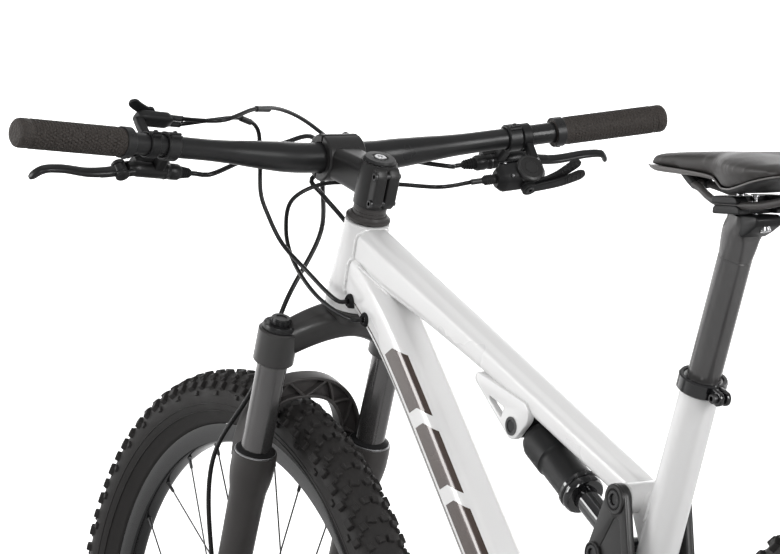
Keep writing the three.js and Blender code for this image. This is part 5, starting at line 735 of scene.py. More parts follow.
CAST = material("lowers_matt", (0.046, 0.0425, 0.0415), 0.42, slot="matt_black", grain=(1300, 0.2), bump=0.02,
                level=0.35)
make("fork_lower_casting", lowers, CAST, "fork_lowers", "fork_lowers", angle=36)
trim = [ring(22.6, 16.6, on_leg(-174.5, hand), on_leg(-172, hand), 64, edge=0.6) for hand in (1, -1)]
rubber_seals = [turned([(16.2, 0), (21, 0), (21, 1.2), (18.6, 2.4), (17.4, 3.2), (16.2, 3.4)], on_leg(-172.4, hand),
                       STEER_UP, 64) for hand in (1, -1)]


# Round bolt head with a socket, proud of a face
def bolt(at, axis, radius=4.5, height=3.5, socket=2.5):
    return turned([(0, height - 2.2), (socket * 0.5, height - 2.2), (socket, height - 2.1), (socket, height),
                   (radius - 0.6, height), (radius, height - 0.6), (radius, 0), (0, 0)], at, axis, 24)


axle_parts = [rod(7.5, *span(FRONT_AXLE, -73, 71)), rod(9.5, *span(FRONT_AXLE, 71, 75), edge=1),
              bolt(beside(FRONT_AXLE, 74), LEFT, 7, 2.4, 3)]
axle_parts += [bolt(on_leg(LEG_FOOT + 0.5, hand), -STEER_UP, 8.5, 4, 3) for hand in (1, -1)]

SEAL = material("seal_silver", (0.4, 0.4, 0.41), 0.3, metallic=1.0, slot="black_alloy", grain=(900, 0.1))
make("fork_seal_rings", trim, SEAL, "fork_lowers")

BOOT = material("rubber_boot", (0.01, 0.01, 0.0105), 0.55, slot="grip_rubber", grain=(1200, 0.2), level=0.2)
make("fork_wiper_seals", rubber_seals, BOOT, "fork_lowers")

BOLT = material("bolt_black", (0.03, 0.03, 0.031), 0.3, metallic=0.9, slot="black_alloy", wear=0.1)
make("front_axle", axle_parts, BOLT, "fork_lowers")


# Brake calipers: a two-piston alloy body round the disc, with its pads and the hose's banjo. Two bolts through
# its ears fix it to the fork leg or to the stay.
def caliper(name, body, node, size, high, low, ears, centre, hose_at, up):
    inner, outer, split, slot, body_radius = size
    parts = []
    for a, b in ((inner, split - slot), (split + slot, outer)):
        parts.append(plate(strap([spot(high, body_radius), spot(low, body_radius)]), a, b, edge=2.5))
    bridge_out = (high + low) / 2 - centre
    bridge_out = vec(bridge_out.x, 0, bridge_out.z).normalized()
    for p in (high, low):
        q = p + bridge_out * (body_radius * 0.55)
        parts.append(rod(body_radius * 0.36, *span(q, inner + 2, outer - 2), edge=1))
    parts.append(plate(strap([spot(e, 6.5) for e in ears]), split + 2 * slot, outer, edge=1.5))
    make(f"{name}_body", parts, ALLOY, body, node, angle=36)
    middle = (high + low) / 2
    extra = [ring(body_radius * 0.75, body_radius * 0.45, *span(middle, outer, outer + 0.8), edge=0.3)]
    extra += [bolt(beside(e, outer - 0.2), LEFT, 4.6, 3.2, 2.4) for e in ears]
    extra.append(rod(4.2, hose_at, hose_at + up * 7, edge=0.8))
    extra.append(rod(3, hose_at, hose_at + up * (12 if body == "fork_lowers" else 8), edge=0.6))
    make(f"{name}_hardware", extra, BOLT, body)


front_high, front_low = steer(-424, -16), steer(-453, -16)
caliper("front_caliper", "fork_lowers", "front_caliper", (31, 59.7, 44, 1.8, 14), front_high, front_low,
        [post_high, post_low], FRONT_AXLE, steer(-412, -16, 52.7), STEER_UP)


# Wheels, alike in front and behind: a knobbed rubber tyre on a gloss black alloy rim, laced with crossed black
# spokes to a turned hub. Each spoke ends in a nipple at the rim.
WHEEL_STEPS, KNOB_ROWS, SPOKES, NIPPLE_RADIUS = 144, 96, 28, 289.4


def polar(axle, radius, turn, across):
    return vec(axle.x + radius * math.cos(turn), across, axle.z + radius * math.sin(turn))


def mirrored(half, *middle):
    """The whole of an outline of (radius, across) points from its left half."""
    return [*half, *middle, *[(r, -w) for r, w in half[::-1]]]


def hoop(axle, outline):
    return [[polar(axle, r, i / WHEEL_STEPS * math.tau, w) for r, w in outline] for i in range(WHEEL_STEPS)]


RUBBER = material("tyre_rubber", (0.022, 0.0205, 0.02), 0.6, slot="tyre", grain=(1100, 0.5), bump=0.1,
                  blotch=(30, 0.25), level=0.25)


def tyre(axle, body, name):
    half = [(311.2, 12.6), (318, 17), (328, 24.5), (338, 28.2), (346, 28.8), (353, 27), (359.5, 22), (364, 15),
            (366.3, 7)]
    outline = mirrored(half, (367, 0))
    dense = [(p.y, p.z) for p in spaced([vec(0, *p) for p in outline], 40)]
    make(f"{name}_carcass", skin(hoop(axle, dense), loop=True), RUBBER, body, name, angle=70)
    ribs = []
    for w, r in ((26.6, 334), (23.2, 326), (-26.6, 334), (-23.2, 326)):
        ribs.append(tube([polar(axle, r, i / 72 * math.tau, w * 1.02) for i in range(72)], 0.7, 216, 6, loop=True))
    make(f"{name}_sidewall_ribs", ribs, RUBBER, body, angle=70)
    verts, faces = [], []

    def knob(turn, across, radius, length, width, height, tilt=0.0, skew=0.0):
        radial = vec(math.cos(turn), 0, math.sin(turn))
        along_way = vec(-math.sin(turn), 0, math.cos(turn))
        up = (radial * math.cos(tilt) + LEFT * math.sin(tilt)).normalized()
        wide = up.cross(along_way)
        along_way = (along_way * math.cos(skew) + wide * math.sin(skew)).normalized()
        wide = up.cross(along_way)
        base = axle + radial * radius + LEFT * across
        start = len(verts)
        for level, grow in ((-1.5, 1.12), (height - 0.7, 0.98), (height, 0.84)):
            for a, b in ((-1, -1), (-0.35, -1.08), (0.35, -1.08), (1, -1), (1, 1), (0.35, 0.92), (-0.35, 0.92),
                         (-1, 1)):
                verts.append(base + up * level + along_way * (a * length / 2 * grow) + wide * (b * width / 2 * grow))
        for k in range(8):
            m = (k + 1) % 8
            for row in (0, 8):
                faces.append((start + row + k, start + row + m, start + row + 8 + m, start + row + 8 + k))
        faces.append(tuple(range(start + 16, start + 24)))

    step = math.tau / KNOB_ROWS
    for i in range(KNOB_ROWS):
        turn, long = i / KNOB_ROWS * math.tau, i % 2
        for hand in (1, -1):
            knob(turn + 0.1 * step, hand * 26.6, 354.2, 10.4 if long else 7.6, 8.2, 4.2, hand * 0.95, hand * 0.12)
            knob(turn + 0.55 * step, hand * 17.2, 362.6, 7.6, 7.4 if long else 6.0, 4.0, hand * 0.42, hand * 0.3)
            if long:
                knob(turn + 0.3 * step, hand * 7.0, 366.2, 7.0, 8.6, 3.9, hand * 0.12, -hand * 0.25)
            else:
                knob(turn + 0.3 * step, hand * 5.6, 366.4, 7.6, 7.2, 3.9, hand * 0.1, hand * 0.18)
            if long:
                knob(turn + 0.6 * step, hand * 29.4, 346.2, 7.0, 5.0, 1.7, hand * 1.35)
            knob(turn + 0.82 * step, hand * 21.8, 359.6, 4.6, 4.2, 3.0, hand * 0.62, hand * 0.3)
    make(f"{name}_tread", (verts, faces), RUBBER, body, angle=30, weld=1e-7)


GLOSS = material("gloss_black", (0.008, 0.008, 0.009), 0.1, coat=0.6, slot="gloss_black", grain=(2000, 0.03),
                 bump=0.005)
RIM = material("rim_black", (0.008, 0.008, 0.0085), 0.16, slot="matt_black", grain=(1200, 0.12), level=0.5)


def wheel(axle, body, side_name, hub_size):
    tyre(axle, body, f"{side_name}_tyre")
    half = [(289.6, 4), (289.9, 7.4), (291.4, 9.6), (300, 11.3), (309, 12.3), (310.6, 12.3), (310.6, 10.8),
            (306, 10.2)]
    rings = hoop(axle, mirrored(half) + [(289.2, 0)])
    make(f"{side_name}_rim_extrusion", skin(rings, loop=True), RIM, body, f"{side_name}_rim", angle=34)
    (flange_radius, flange_left, flange_right, flange_thick, waist, shell, disc_seat, end, start_y, seat_y,
     stop_y) = hub_size
    profile = [(end - 4, start_y), (end, start_y), (end, -flange_right - flange_thick - 2),
               (shell, -flange_right - flange_thick), (flange_radius - 3, -flange_right - flange_thick),
               (flange_radius, -flange_right - flange_thick + 0.8), (flange_radius, -flange_right - 0.6),
               (flange_radius - 4, -flange_right), (waist + 3, -flange_right + 2), (waist, -flange_right + 7),
               (waist, 0), (waist, flange_left - 7), (waist + 3, flange_left - 2), (flange_radius - 4, flange_left),
               (flange_radius, flange_left + 0.6), (flange_radius, flange_left + flange_thick - 0.8),
               (flange_radius - 3, flange_left + flange_thick), (disc_seat, flange_left + flange_thick),
               (disc_seat, seat_y), (end, seat_y), (end, stop_y), (end - 4, stop_y)]
    make(f"{side_name}_hub_shell", turned(profile, axle, LEFT, 64), ALLOY, body, f"{side_name}_hub", angle=30)
    spokes, nipples = [], []
    for i in range(SPOKES):
        turn = i / SPOKES * math.tau
        hand = 1 if i % 2 else -1
        lean = 1 if i % 4 < 2 else -1
        hub_turn = turn + lean * 5 * (math.tau / SPOKES)
        face = (flange_left if hand > 0 else flange_right) + flange_thick + (0.9 if i % 4 < 2 else 1.2)
        start = polar(axle, flange_radius - 2.6, hub_turn, hand * face)
        finish_at = polar(axle, NIPPLE_RADIUS, turn, hand * 0.6)
        heading = (finish_at - start).normalized()
        spokes.append(rod(0.95, start, finish_at, 10, edge=0.2))
        spokes.append(rod(1.9, start - LEFT * hand * 0.9, start + LEFT * hand * 0.9, 12, edge=0.5))
        nipples.append(turned([(0, -13), (1.5, -13), (1.9, -12), (1.9, -3), (2.8, -1), (2.8, 1), (0, 1)], finish_at,
                              heading, 12))
    make(f"{side_name}_spoke_wires", spokes, GLOSS, body, f"{side_name}_spokes", angle=40)
    make(f"{side_name}_nipples", nipples, BOLT, body, angle=40)
    valve_turn = math.pi / SPOKES
    valve = [turned([(0, -38), (1.4, -38), (1.8, -36), (1.8, -30), (2.8, -29.5), (2.8, -4), (5, -3.5), (5, 0),
                     (0, 0)], polar(axle, NIPPLE_RADIUS, valve_turn, 0),
                    vec(math.cos(valve_turn), 0, math.sin(valve_turn)), 16)]
    make(f"{side_name}_valve", valve, BOLT, body, angle=40)


# Disc rotors: stamped steel, with a slotted and wavy brake track on swept arms. Six screws
# fix each to the left side of its hub.
STEEL = material("steel_brushed", (0.42, 0.42, 0.43), 0.3, metallic=1.0, slot="silver_steel", grain=(700, 0.2),
                 blotch=(40, 0.18))


def rotor(name, body, axle, radius, across, thick=0.9):
    inner = radius - 15
    outline = [(axle.x + (radius - 0.8 + 0.8 * math.cos(i / 192 * math.tau * 12)) * math.cos(i / 192 * math.tau),
                axle.z + (radius - 0.8 + 0.8 * math.cos(i / 192 * math.tau * 12)) * math.sin(i / 192 * math.tau))
               for i in range(192)]
    holes = [circle(axle.x, axle.z, 16, 40)]
    for i in range(6):
        start = (i + 1 / 7) * math.tau / 6
        spread = math.tau / 6 * 0.72
        outer_arc = [(inner, start + spread * t) for t in np.linspace(0, 1, 9)]
        inner_arc = [(27, start + spread * 0.5 * (t + 0.5) + math.tau / 18) for t in np.linspace(1, 0, 5)]
        holes.append(soft([(axle.x + r * math.cos(a), axle.z + r * math.sin(a)) for r, a in outer_arc + inner_arc], 2,
                          2))
    for i in range(36):
        a = i / 36 * math.tau
        for r, k in ((inner + 4.2, 0.0), (inner + 8, 0.5), (inner + 11.6, 1.0)):
            if (i + int(2 * k)) % 2:
                continue
            t = a + k * 0.06
            x, z = axle.x + r * math.cos(t), axle.z + r * math.sin(t)
            holes.append(strap([(x - 1.6 * math.cos(t + 0.7), z - 1.6 * math.sin(t + 0.7), 0.9),
                                (x + 1.6 * math.cos(t + 0.7), z + 1.6 * math.sin(t + 0.7), 0.9)], 8))
    make(f"{name}_disc", plate(outline, across - thick, across + thick, holes, edge=0.15), STEEL, body, name,
         angle=40)
    make(f"{name}_carrier", [ring(23, 16.2, *span(axle, across - thick - 0.2, across + thick + 1.2)),
                             *[bolt(beside(vec(axle.x + 25 * math.cos(a), 0, axle.z + 25 * math.sin(a)),
                                           across + thick), LEFT, 3, 0.9, 1.6)
                               for a in (j * math.tau / 6 + 0.1 for j in range(6))]], BOLT, body)


wheel(FRONT_AXLE, "front_wheel", "front", (29, 26, 36, 4, 13, 16, 21, 12.5, -54.7, 42.8, 54.7))
rotor("front_rotor", "front_wheel", FRONT_AXLE, 90, 44)
wheel(REAR_AXLE, "rear_wheel", "rear", (30, 33, 21, 4, 15, 18, 21, 14, -33.2, 55.8, 73.7))
rotor("rear_rotor", "rear_wheel", REAR_AXLE, 80, 57)


# Headset cover and handlebar: a turned matt cap over the upper bearing, and a satin alloy bar that rises and
# sweeps back. The bar is thickest where the stem clamps it and tapers to the grips.
cover = turned([(14.9, 0.3), (23.3, 0.3), (23.3, 1.8), (22.9, 2.1), (22.9, 2.5), (21.4, 3.2), (20.3, 4.4),
                (18.9, 6.2), (17.4, 6.6), (17.4, 9.7), (17.0, 9.9), (17.0, 10.1), (17.4, 10.3), (17.4, 15.6),
                (17, 15.7), (14.9, 15.7)], steer(100), STEER_UP, 72)
make("headset_cap_cover", cover, CAST, "steering", "headset_cover", angle=34)

BAR_RISE = [(0, 0), (0.1, 0), (0.16, 0.045), (1, 1)]
BAR_BACK = [(0, 0), (0.11, 0), (0.34, 0.15), (1, 1)]
STEM_UP, BAR_HALF, GRIP_LENGTH, BAR_STEPS = 134.5, 390, 134, 160
BAR_CENTRE = steer(STEM_UP, 79)


def linear(pairs, share):
    return float(np.interp(share, [p[0] for p in pairs], [p[1] for p in pairs]))


def bar_at(across):
    share = abs(across) / BAR_HALF
    return vec(BAR_CENTRE.x - 41.5 * linear(BAR_BACK, share), across, BAR_CENTRE.z + 34.5 * linear(BAR_RISE, share))


bar_knots = [25, 50, 80, 110, 150, 200, 290, 386]
bar_line = spaced([bar_at(a) for a in [-a for a in bar_knots[::-1]] + bar_knots], BAR_STEPS)


def bar_radius(across):
    return lerp(11.1, 15.9, along([(0, 1), (0.16, 1), (0.24, 0.72), (0.36, 0.12), (0.42, 0), (1, 0)],
                                  abs(across) / BAR_HALF))


bar_rings = []
for i, point in enumerate(bar_line):
    tangent = (bar_line[min(i + 1, BAR_STEPS)] - bar_line[max(i - 1, 0)]).normalized()
    one = (UP - tangent * UP.dot(tangent)).normalized()
    two = tangent.cross(one)
    r = bar_radius(point.y)
    bar_rings.append([point + (one * math.cos(a) + two * math.sin(a)) * r
                      for a in np.linspace(0, math.tau, 40, False)])

BAR = material("bar_satin", (0.016, 0.016, 0.0165), 0.3, slot="matt_black", grain=(1600, 0.15), level=0.3)
make("handlebar_tube", skin(bar_rings), BAR, "steering", "handlebar", angle=40)


# Stem: a hollowed alloy forging with a slotted rear clamp round the steerer. Its bolted face holds the bar,
# and a cap closes the steerer's top.
stem_path = [steer(lerp(141, STEM_UP, s), lerp(4, 64, s)) for s in np.linspace(0, 1, 13)]
stem = [sweep(stem_path, lambda s: octagon(lerp(17.5, 22, s**2), lerp(20, 18, s), 4, 7))]
stem.append(turned([(14.9, 0.4), (18.4, 0), (19, 0.6), (19, 47.4), (18.4, 48), (14.9, 47.6)], steer(116), STEER_UP,
                   64))
back_block = [(steer(u, -a).x, steer(u, -a).z) for u, a in ((117, 8), (163, 8), (163, 19), (155, 24), (125, 24),
                                                            (117, 19))]
stem += both(plate(soft(back_block, 3, 3), 1.1, 14, edge=2))


def arc_shell(start, end, outer=24.5, inner=16.1, half=22):
    """A part of a sleeve about the bar, between two angles from straight ahead."""
    edges = [(0.7 - half, inner), (-half, inner + 0.7), (-half, outer - 1.6), (1.6 - half, outer),
             (half - 1.6, outer), (half, outer - 1.6), (half, inner + 0.7), (half - 0.7, inner)]
    rows = []
    for a in np.linspace(start, end, 41):
        out = STEER_AHEAD * math.cos(a) + STEER_UP * math.sin(a)
        rows.append([steer(STEM_UP, 79, across) + out * r for across, r in edges])
    return skin(rows)


stem.append(arc_shell(math.pi / 2 + 0.02, math.pi * 1.5 - 0.02))

FORGED = material("alloy_forged_matt", (0.013, 0.0125, 0.0125), 0.36, slot="black_alloy", grain=(1500, 0.25),
                  bump=0.03, wear=0.015, level=0.4)
make("stem_forging", stem, FORGED, "steering", "stem", angle=34)
face = [arc_shell(-math.pi / 2 + 0.13, math.pi / 2 - 0.13)]
corners = [(STEM_UP + high * 17, hand * 14) for hand in (1, -1) for high in (1, -1)]
face += [rod(5.2, steer(up, 82.5, across), steer(up, 95, across), edge=1) for up, across in corners]
make("stem_face_clamp", face, FORGED, "steering", "stem_faceplate", angle=34)
stem_bolts = []
for up in (125, 155):
    stem_bolts.append(bolt(steer(up, -20, 13.6), LEFT, 4.1, 2.6, 2.2))
    stem_bolts.append(rod(3, steer(up, -20, -15), steer(up, -20, 13)))
stem_bolts += [bolt(steer(up, 94.6, across), STEER_AHEAD, 3.9, 1.6, 2.1) for up, across in corners]
make("stem_bolts", stem_bolts, BOLT, "steering")
cap = turned([(3.6, 164.5), (15.8, 164.5), (17, 165), (17, 166.2), (15.6, 168.1), (9, 168.3), (7.2, 167.3),
              (3.6, 167.2)], steer(0), STEER_UP, 64)
make("stem_cap_plate", cap, ALLOY, "steering", "stem_top_cap", angle=30)

SILVER = material("alloy_bare", (0.6, 0.6, 0.61), 0.26, metallic=1.0, slot="alloy_bare", grain=(900, 0.1))
make("stem_cap_bolt", turned([(0, 165), (2.5, 165), (3.0, 168), (3, 169), (5.6, 169), (6.3, 168.4), (6.3, 167.3),
                              (0, 167.3)][::-1], steer(0), STEER_UP, 32), SILVER, "steering", angle=30)


# Grips: waffle rubber moulded on a sleeve, between an alloy lock collar and a smooth end cap.
# The collar's screw pinches the grip on the bar.
GRIP_ROWS, GRIP_SIDES, CELL_ROWS, CELLS_AROUND = 230, 96, 8, 24

GRIP = material("grip_rubber", (0.036, 0.03, 0.0265), 0.6, slot="grip_rubber", grain=(1600, 0.5), bump=0.08,
                level=0.35, blotch=(520, 0.6), bumps=(430, 0.9))


def grip(hand, name):
    start, end = bar_at(hand * (BAR_HALF - GRIP_LENGTH)), bar_at(hand * BAR_HALF)
    axis = (end - start).normalized()
    reach = (end - start).length
    one = UP.cross(axis).normalized()
    two = axis.cross(one)
    rings = []
    for i in range(GRIP_ROWS + 1):
        h = lerp(13.4, reach - 13, i / GRIP_ROWS)
        edge = min(1, i / CELL_ROWS, (GRIP_ROWS - i) / CELL_ROWS)
        ring_points = []
        for j in range(GRIP_SIDES):
            a = j / GRIP_SIDES * math.tau
            cell_a = (j / GRIP_SIDES * CELLS_AROUND + (int(i / CELL_ROWS) % 2) * 0.5) % 1
            cell_h = (i / CELL_ROWS) % 1
            pad = min(1, max(0, 0.5 - abs(cell_a - 0.5)) * 5) * min(1, max(0, 0.5 - abs(cell_h - 0.5)) * 5)
            palm = 0.75 + 0.25 * math.cos(a)
            r = 14.35 + 0.95 * pad * palm * edge
            ring_points.append(start + axis * h + (one * math.cos(a) + two * math.sin(a)) * r)
        rings.append(ring_points)
    ends = turned([(11.2, 0.6), (14.4, 0.6), (14.4, 14), (14.2, 14.1), (11.2, 14.1)], start, axis, 64)
    cap_end = turned([(0, reach), (9, reach), (12.4, reach - 0.6), (14.2, reach - 2.4), (14.9, reach - 5),
                      (14.9, reach - 12.6), (14.2, reach - 13.2), (11.2, reach - 13.2), (11.2, reach - 3),
                      (0, reach - 3)], start, axis, 64)
    make(f"grip_sleeve_{name}", [skin(rings, caps=False), ends, cap_end], GRIP, "steering", f"grip_{name}", angle=50)
    lock = [ring(16.0, 14.6, start + axis * 0.2, start + axis * 10.8, 64, edge=0.9)]
    for k in range(3):
        a = k * math.tau / 3 + 0.5
        out = one * math.cos(a) + two * math.sin(a)
        lock.append(rod(1.8, start + axis * 5.5 + out * 14.8, start + axis * 5.5 + out * 16.4, edge=0.4))
    make(f"grip_lock_{name}", lock, ALLOY, "steering")
    make(f"grip_lock_screw_{name}", bolt(start + axis * 5.5 - two * 14.6, -two, 2.6, 2.2, 1.4), BOLT, "steering")


grip(1, "left")
grip(-1, "right")


# Brake levers: a satin alloy cylinder body with a lid, clamped on the bar inside the grip. The blade turns on a pin
# at the body's outer end, and the hose leaves the inner end through a rubber boot.
TILT = math.radians(42)
LEVER_AHEAD = vec(math.cos(TILT), 0, -math.sin(TILT))
LEVER_NORMAL = vec(math.sin(TILT), 0, math.cos(TILT))
POD_LIFT, REMOTE_LIFT = -47, 38


def off_bar(across, offset, lift=0.0):
    return bar_at(across) + LEVER_AHEAD * offset + LEVER_NORMAL * lift


def bar_clamp(across, width, outer, gap_dir):
    """A hinged band clamp round the bar, with an ear and its bolt."""
    start, end = bar_at(across - width / 2), bar_at(across + width / 2)
    axis = (end - start).normalized()
    out = (gap_dir - axis * gap_dir.dot(axis)).normalized()
    other = axis.cross(out)
    parts = [ring(outer, 11.4, start, end, 56, edge=1.1)]
    for lean in (0.9, -2.6):
        path = [start.lerp(end, t) + out * (outer - 0.6) + other * (lean + 0.9) for t in (0.08, 0.92)]
        parts.append(sweep(path, lambda s: box(1.2, 4, 0.8), other))
    middle = start.lerp(end, 0.5) + out * (outer + 1)
    return parts, bolt(middle + other * 2.8, other, 2.9, 2.4, 1.5)


LEVER_PIVOT, CYLINDER_END = (250, 41), (166, 37)


def apply_modifiers(obj):
    obj.data = bpy.data.meshes.new_from_object(obj.evaluated_get(bpy.context.evaluated_depsgraph_get()))
    obj.modifiers.clear()


PLASTIC = material("plastic_black", (0.011, 0.011, 0.0115), 0.45, slot="black_plastic", grain=(1400, 0.3), bump=0.04,
                   level=0.25)


def lever_set(hand, name):
    def at(across, offset, lift=0.0):
        return off_bar(hand * across, offset, lift)

    axis = (at(244, 37) - at(*CYLINDER_END)).normalized()
    barrel = turned([(0, 14), (5.5, 14), (7.6, 15), (8.5, 17), (8.5, 26), (7.9, 27), (7.9, 29), (8.5, 30), (8.5, 66),
                     (8, 70), (6, 76), (4, 78), (0, 78)], at(*CYLINDER_END), axis, 40)
    middle = 212.5
    tank_path = [at(middle + t * 21, 37, 7.4) for t in np.linspace(-1, 1, 17)]
    tank = sweep(tank_path, lambda s: octagon(8 * (1 - 0.35 * abs(2 * s - 1) ** 4),
                                              9 * (1 - 0.3 * abs(2 * s - 1) ** 5), 4, 3), LEVER_NORMAL)
    arm = sweep([at(208, lerp(13, 37, t)) for t in np.linspace(0, 1, 5)],
                lambda s: octagon(lerp(6.4, 7, s), 6.4, 4, 2.4), LEFT)
    neck = sweep([at(lerp(237, 250, t), lerp(37, 41, t)) for t in np.linspace(0, 1, 5)],
                 lambda s: octagon(8.8, 4.8, 4, 2), LEVER_NORMAL)
    ears = [rod(7.5, at(*LEVER_PIVOT, a), at(*LEVER_PIVOT, b), edge=0.8) for a, b in ((-9, -5), (5, 9))]
    clamp, clamp_bolt = bar_clamp(hand * 208, 15, 14.9, -LEVER_AHEAD)
    make(f"brake_master_{name}", [barrel, tank, arm, *ears, *clamp], ALLOY, "steering", f"brake_body_{name}",
         angle=34)
    lid_path = [at(middle + t * 19, 37, 15.4) for t in (-1, -0.9, 0.9, 1)]
    lid = sweep(lid_path, lambda s: box(0.45, 7.4, 0.4), LEVER_NORMAL)
    trims = [ring(8.9, 8.2, at(176, 37) + axis * 22, at(176, 37) + axis * 23.6, 48), clamp_bolt]
    trims += [bolt(at(middle + t * 14, 37 + u * 5, 15.4), LEVER_NORMAL, 1.7, 1.0, 0.9) for t in (-1, 1)
              for u in (-1, 1)]
    trims += [bolt(at(*LEVER_PIVOT, 8.8), LEVER_NORMAL, 3.2, 1.0, 1.6),
              rod(2.5, at(*LEVER_PIVOT, -9), at(*LEVER_PIVOT, 9))]
    make(f"brake_lid_{name}", lid, PLASTIC, "steering", angle=30)
    make(f"brake_trim_{name}", trims, BOLT, "steering", angle=30)
    boot = [(0, 0.3), (4.0, 0.3)]
    for k in range(5):
        h = 1.5 + k * 2.8
        boot += [(4.4 + k * 0.36, h), (5.3 + k * 0.36, h + 0.9), (4.4 + k * 0.38, h + 1.9)]
    boot += [(6.8, 15.4), (6.8, 18), (0, 18)]
    make(f"brake_boot_{name}", turned(boot, at(*CYLINDER_END), axis, 36), BOOT, "steering", angle=40)
    path = spaced([at(x, offset) for x, offset in ((250, 41), (262, 45.4), (285, 49), (320, 47), (340, 51),
                                                   (350, 64))], 40)

    def blade(s):
        tip = max(0, (s - 0.94) / 0.06) ** 2
        high, deep = 6 * (1 - s / 4) * (1 - 0.5 * tip), lerp(4.4, 3, s) * (1 - 0.4 * tip)
        return [(a, n * (0.72 if n > 0 and 0.2 < s < 0.85 else 1)) for a, n in oval(high, deep, 28, 2.6)]
    knuckle = rod(7, at(*LEVER_PIVOT, -4.6), at(*LEVER_PIVOT, 4.6), edge=0.8)
    make(f"brake_blade_{name}", [sweep(path, blade, LEVER_NORMAL), knuckle], BAR, f"brake_lever_{name}",
         f"brake_lever_{name}", angle=44)
    make(f"brake_reach_screw_{name}", bolt(at(258, 46), (at(262, 50) - at(*LEVER_PIVOT)).normalized(), 2.2, 3, 1.2),
         SILVER, f"brake_lever_{name}")
    # The yoke's slot is cut with a tool that is then removed
    yoke = make(f"brake_yoke_{name}", neck, ALLOY, "steering", angle=34)
    cutter = make(f"slot_tool_{name}", rod(11, at(*LEVER_PIVOT, -4.9), at(*LEVER_PIVOT, 4.9)), ALLOY, None)
    cut = yoke.modifiers.new("slot", "BOOLEAN")
    cut.object, cut.operation, cut.solver = cutter, "DIFFERENCE", "EXACT"
    bpy.context.view_layer.update()
    apply_modifiers(yoke)
    bpy.data.objects.remove(cutter)


lever_set(1, "left")
lever_set(-1, "right")


# Shifter: a layered black pod with a clamp of its own, under the right of the bar. Its two thumb paddles turn
# on one pin.
def pod_at(across, offset=6.0, lift=POD_LIFT):
    return off_bar(across, offset, lift)


def pod_section(half_width, half_depth, end, radius):
    """A section that narrows towards both ends of its path."""
    def section(s):
        share = min(1, end + 3 * min(s, 1 - s))
        return octagon(half_width * share, half_depth * share, 3.4, radius)
    return section


pod = sweep([pod_at(lerp(-172, -226, s)) for s in np.linspace(0, 1, 21)], pod_section(15, 13, 0.62, 4), LEVER_AHEAD)
pod_arm = sweep([off_bar(-222.5, 0, -13), off_bar(-222.5, 2, -28), off_bar(-222.5, 3, -44)],
                lambda s: octagon(5, 5, 4, 1.6), LEFT)
clamp, clamp_bolt = bar_clamp(-222.5, 11, 13.9, -LEVER_NORMAL * 0.3 + LEVER_AHEAD)
barrel_axis = (pod_at(-156) - pod_at(-172)).normalized()
adjuster = turned([(0, -3), (5, -3), (5, 4)] + [(5.2 + 0.4 * (k % 2), 4 + k * 1.1) for k in range(9)]
                  + [(4, 14), (3.2, 16), (0, 16)], pod_at(-172), barrel_axis, 28)
to_rear = (off_bar(-200, 0, POD_LIFT) - off_bar(-200, 10, POD_LIFT)).normalized()
facing = (to_rear * 0.94 - LEVER_NORMAL * 0.2 + LEFT * 0.1).normalized()
disc = turned([(0, -6), (14.2, -6), (15.4, -1), (15.4, 1.4), (14.6, 2.6), (12.4, 3.4), (12, 3), (7.5, 3.3), (7, 3.9),
               (0, 4)], pod_at(-205, -8.6, -50.5), facing, 56)
make("shifter_cover_disc", disc, FORGED, "steering", angle=26)
make("shifter_cover_screws", [rod(1.5, pod_at(x, -7, z), pod_at(x, -9.4, z), 16, edge=0.3)
                              for x, z in ((-181, -39), (-219, -39), (-183, -56))], STEEL, "steering")
make("shifter_pod", [pod, pod_arm, *clamp, adjuster], PLASTIC, "steering", "shifter_body", angle=36)
lid = sweep([pod_at(lerp(-180, -218, s), 6, -33.6) for s in (0, 0.06, 0.94, 1)], lambda s: box(10, 0.6, 0.5),
            LEVER_AHEAD)
make("shifter_lid", [lid], ALLOY, "steering", angle=30)
make("shifter_screws", [clamp_bolt, bolt(pod_at(-204, 6, -59.6), -LEVER_NORMAL, 4.6, 9.4, 2),
                        bolt(pod_at(-190, 6, -33), LEVER_NORMAL, 2.4, 0.8, 1.2)], BOLT, "steering", angle=30)


def paddle(name, top, low, reach, ahead, node):
    hub = ring(8.5, 3.6, off_bar(-204, 6, low), off_bar(-204, 6, top), 40, edge=0.5)
    middle = (top + low) / 2
    path = spaced([off_bar(lerp(-204, reach, s), lerp(6, ahead, l), middle)
                   for s, l in ((0.07, 0.03), (0.6, 0.35), (1, 1))], 24)
    blade = sweep(path,
                  lambda s: octagon(lerp(6, 9, s) * (1 if s < 0.85
                                                     else math.sqrt(max(0.05, 1 - ((s - 0.85) / 0.16) ** 2))),
                                    (top - low) / 2, 5, 0.8), LEVER_AHEAD)
    wide = (path[16] - path[14]).normalized().cross(LEVER_NORMAL).normalized() * 5
    ridges = [rod(0.7, p - wide, p + wide, 8) for p in (path[k] - LEVER_NORMAL * (top - low) / 2
                                                        for k in (15, 16, 18, 20, 22))]
    make(name, [hub, blade, *ridges], PLASTIC, node, node, angle=36)


paddle("shift_paddle_main", -60.8, -64, -250, -27, "shift_lever_main")
paddle("shift_paddle_release", -64.6, -68, -262, -10, "shift_lever_release")


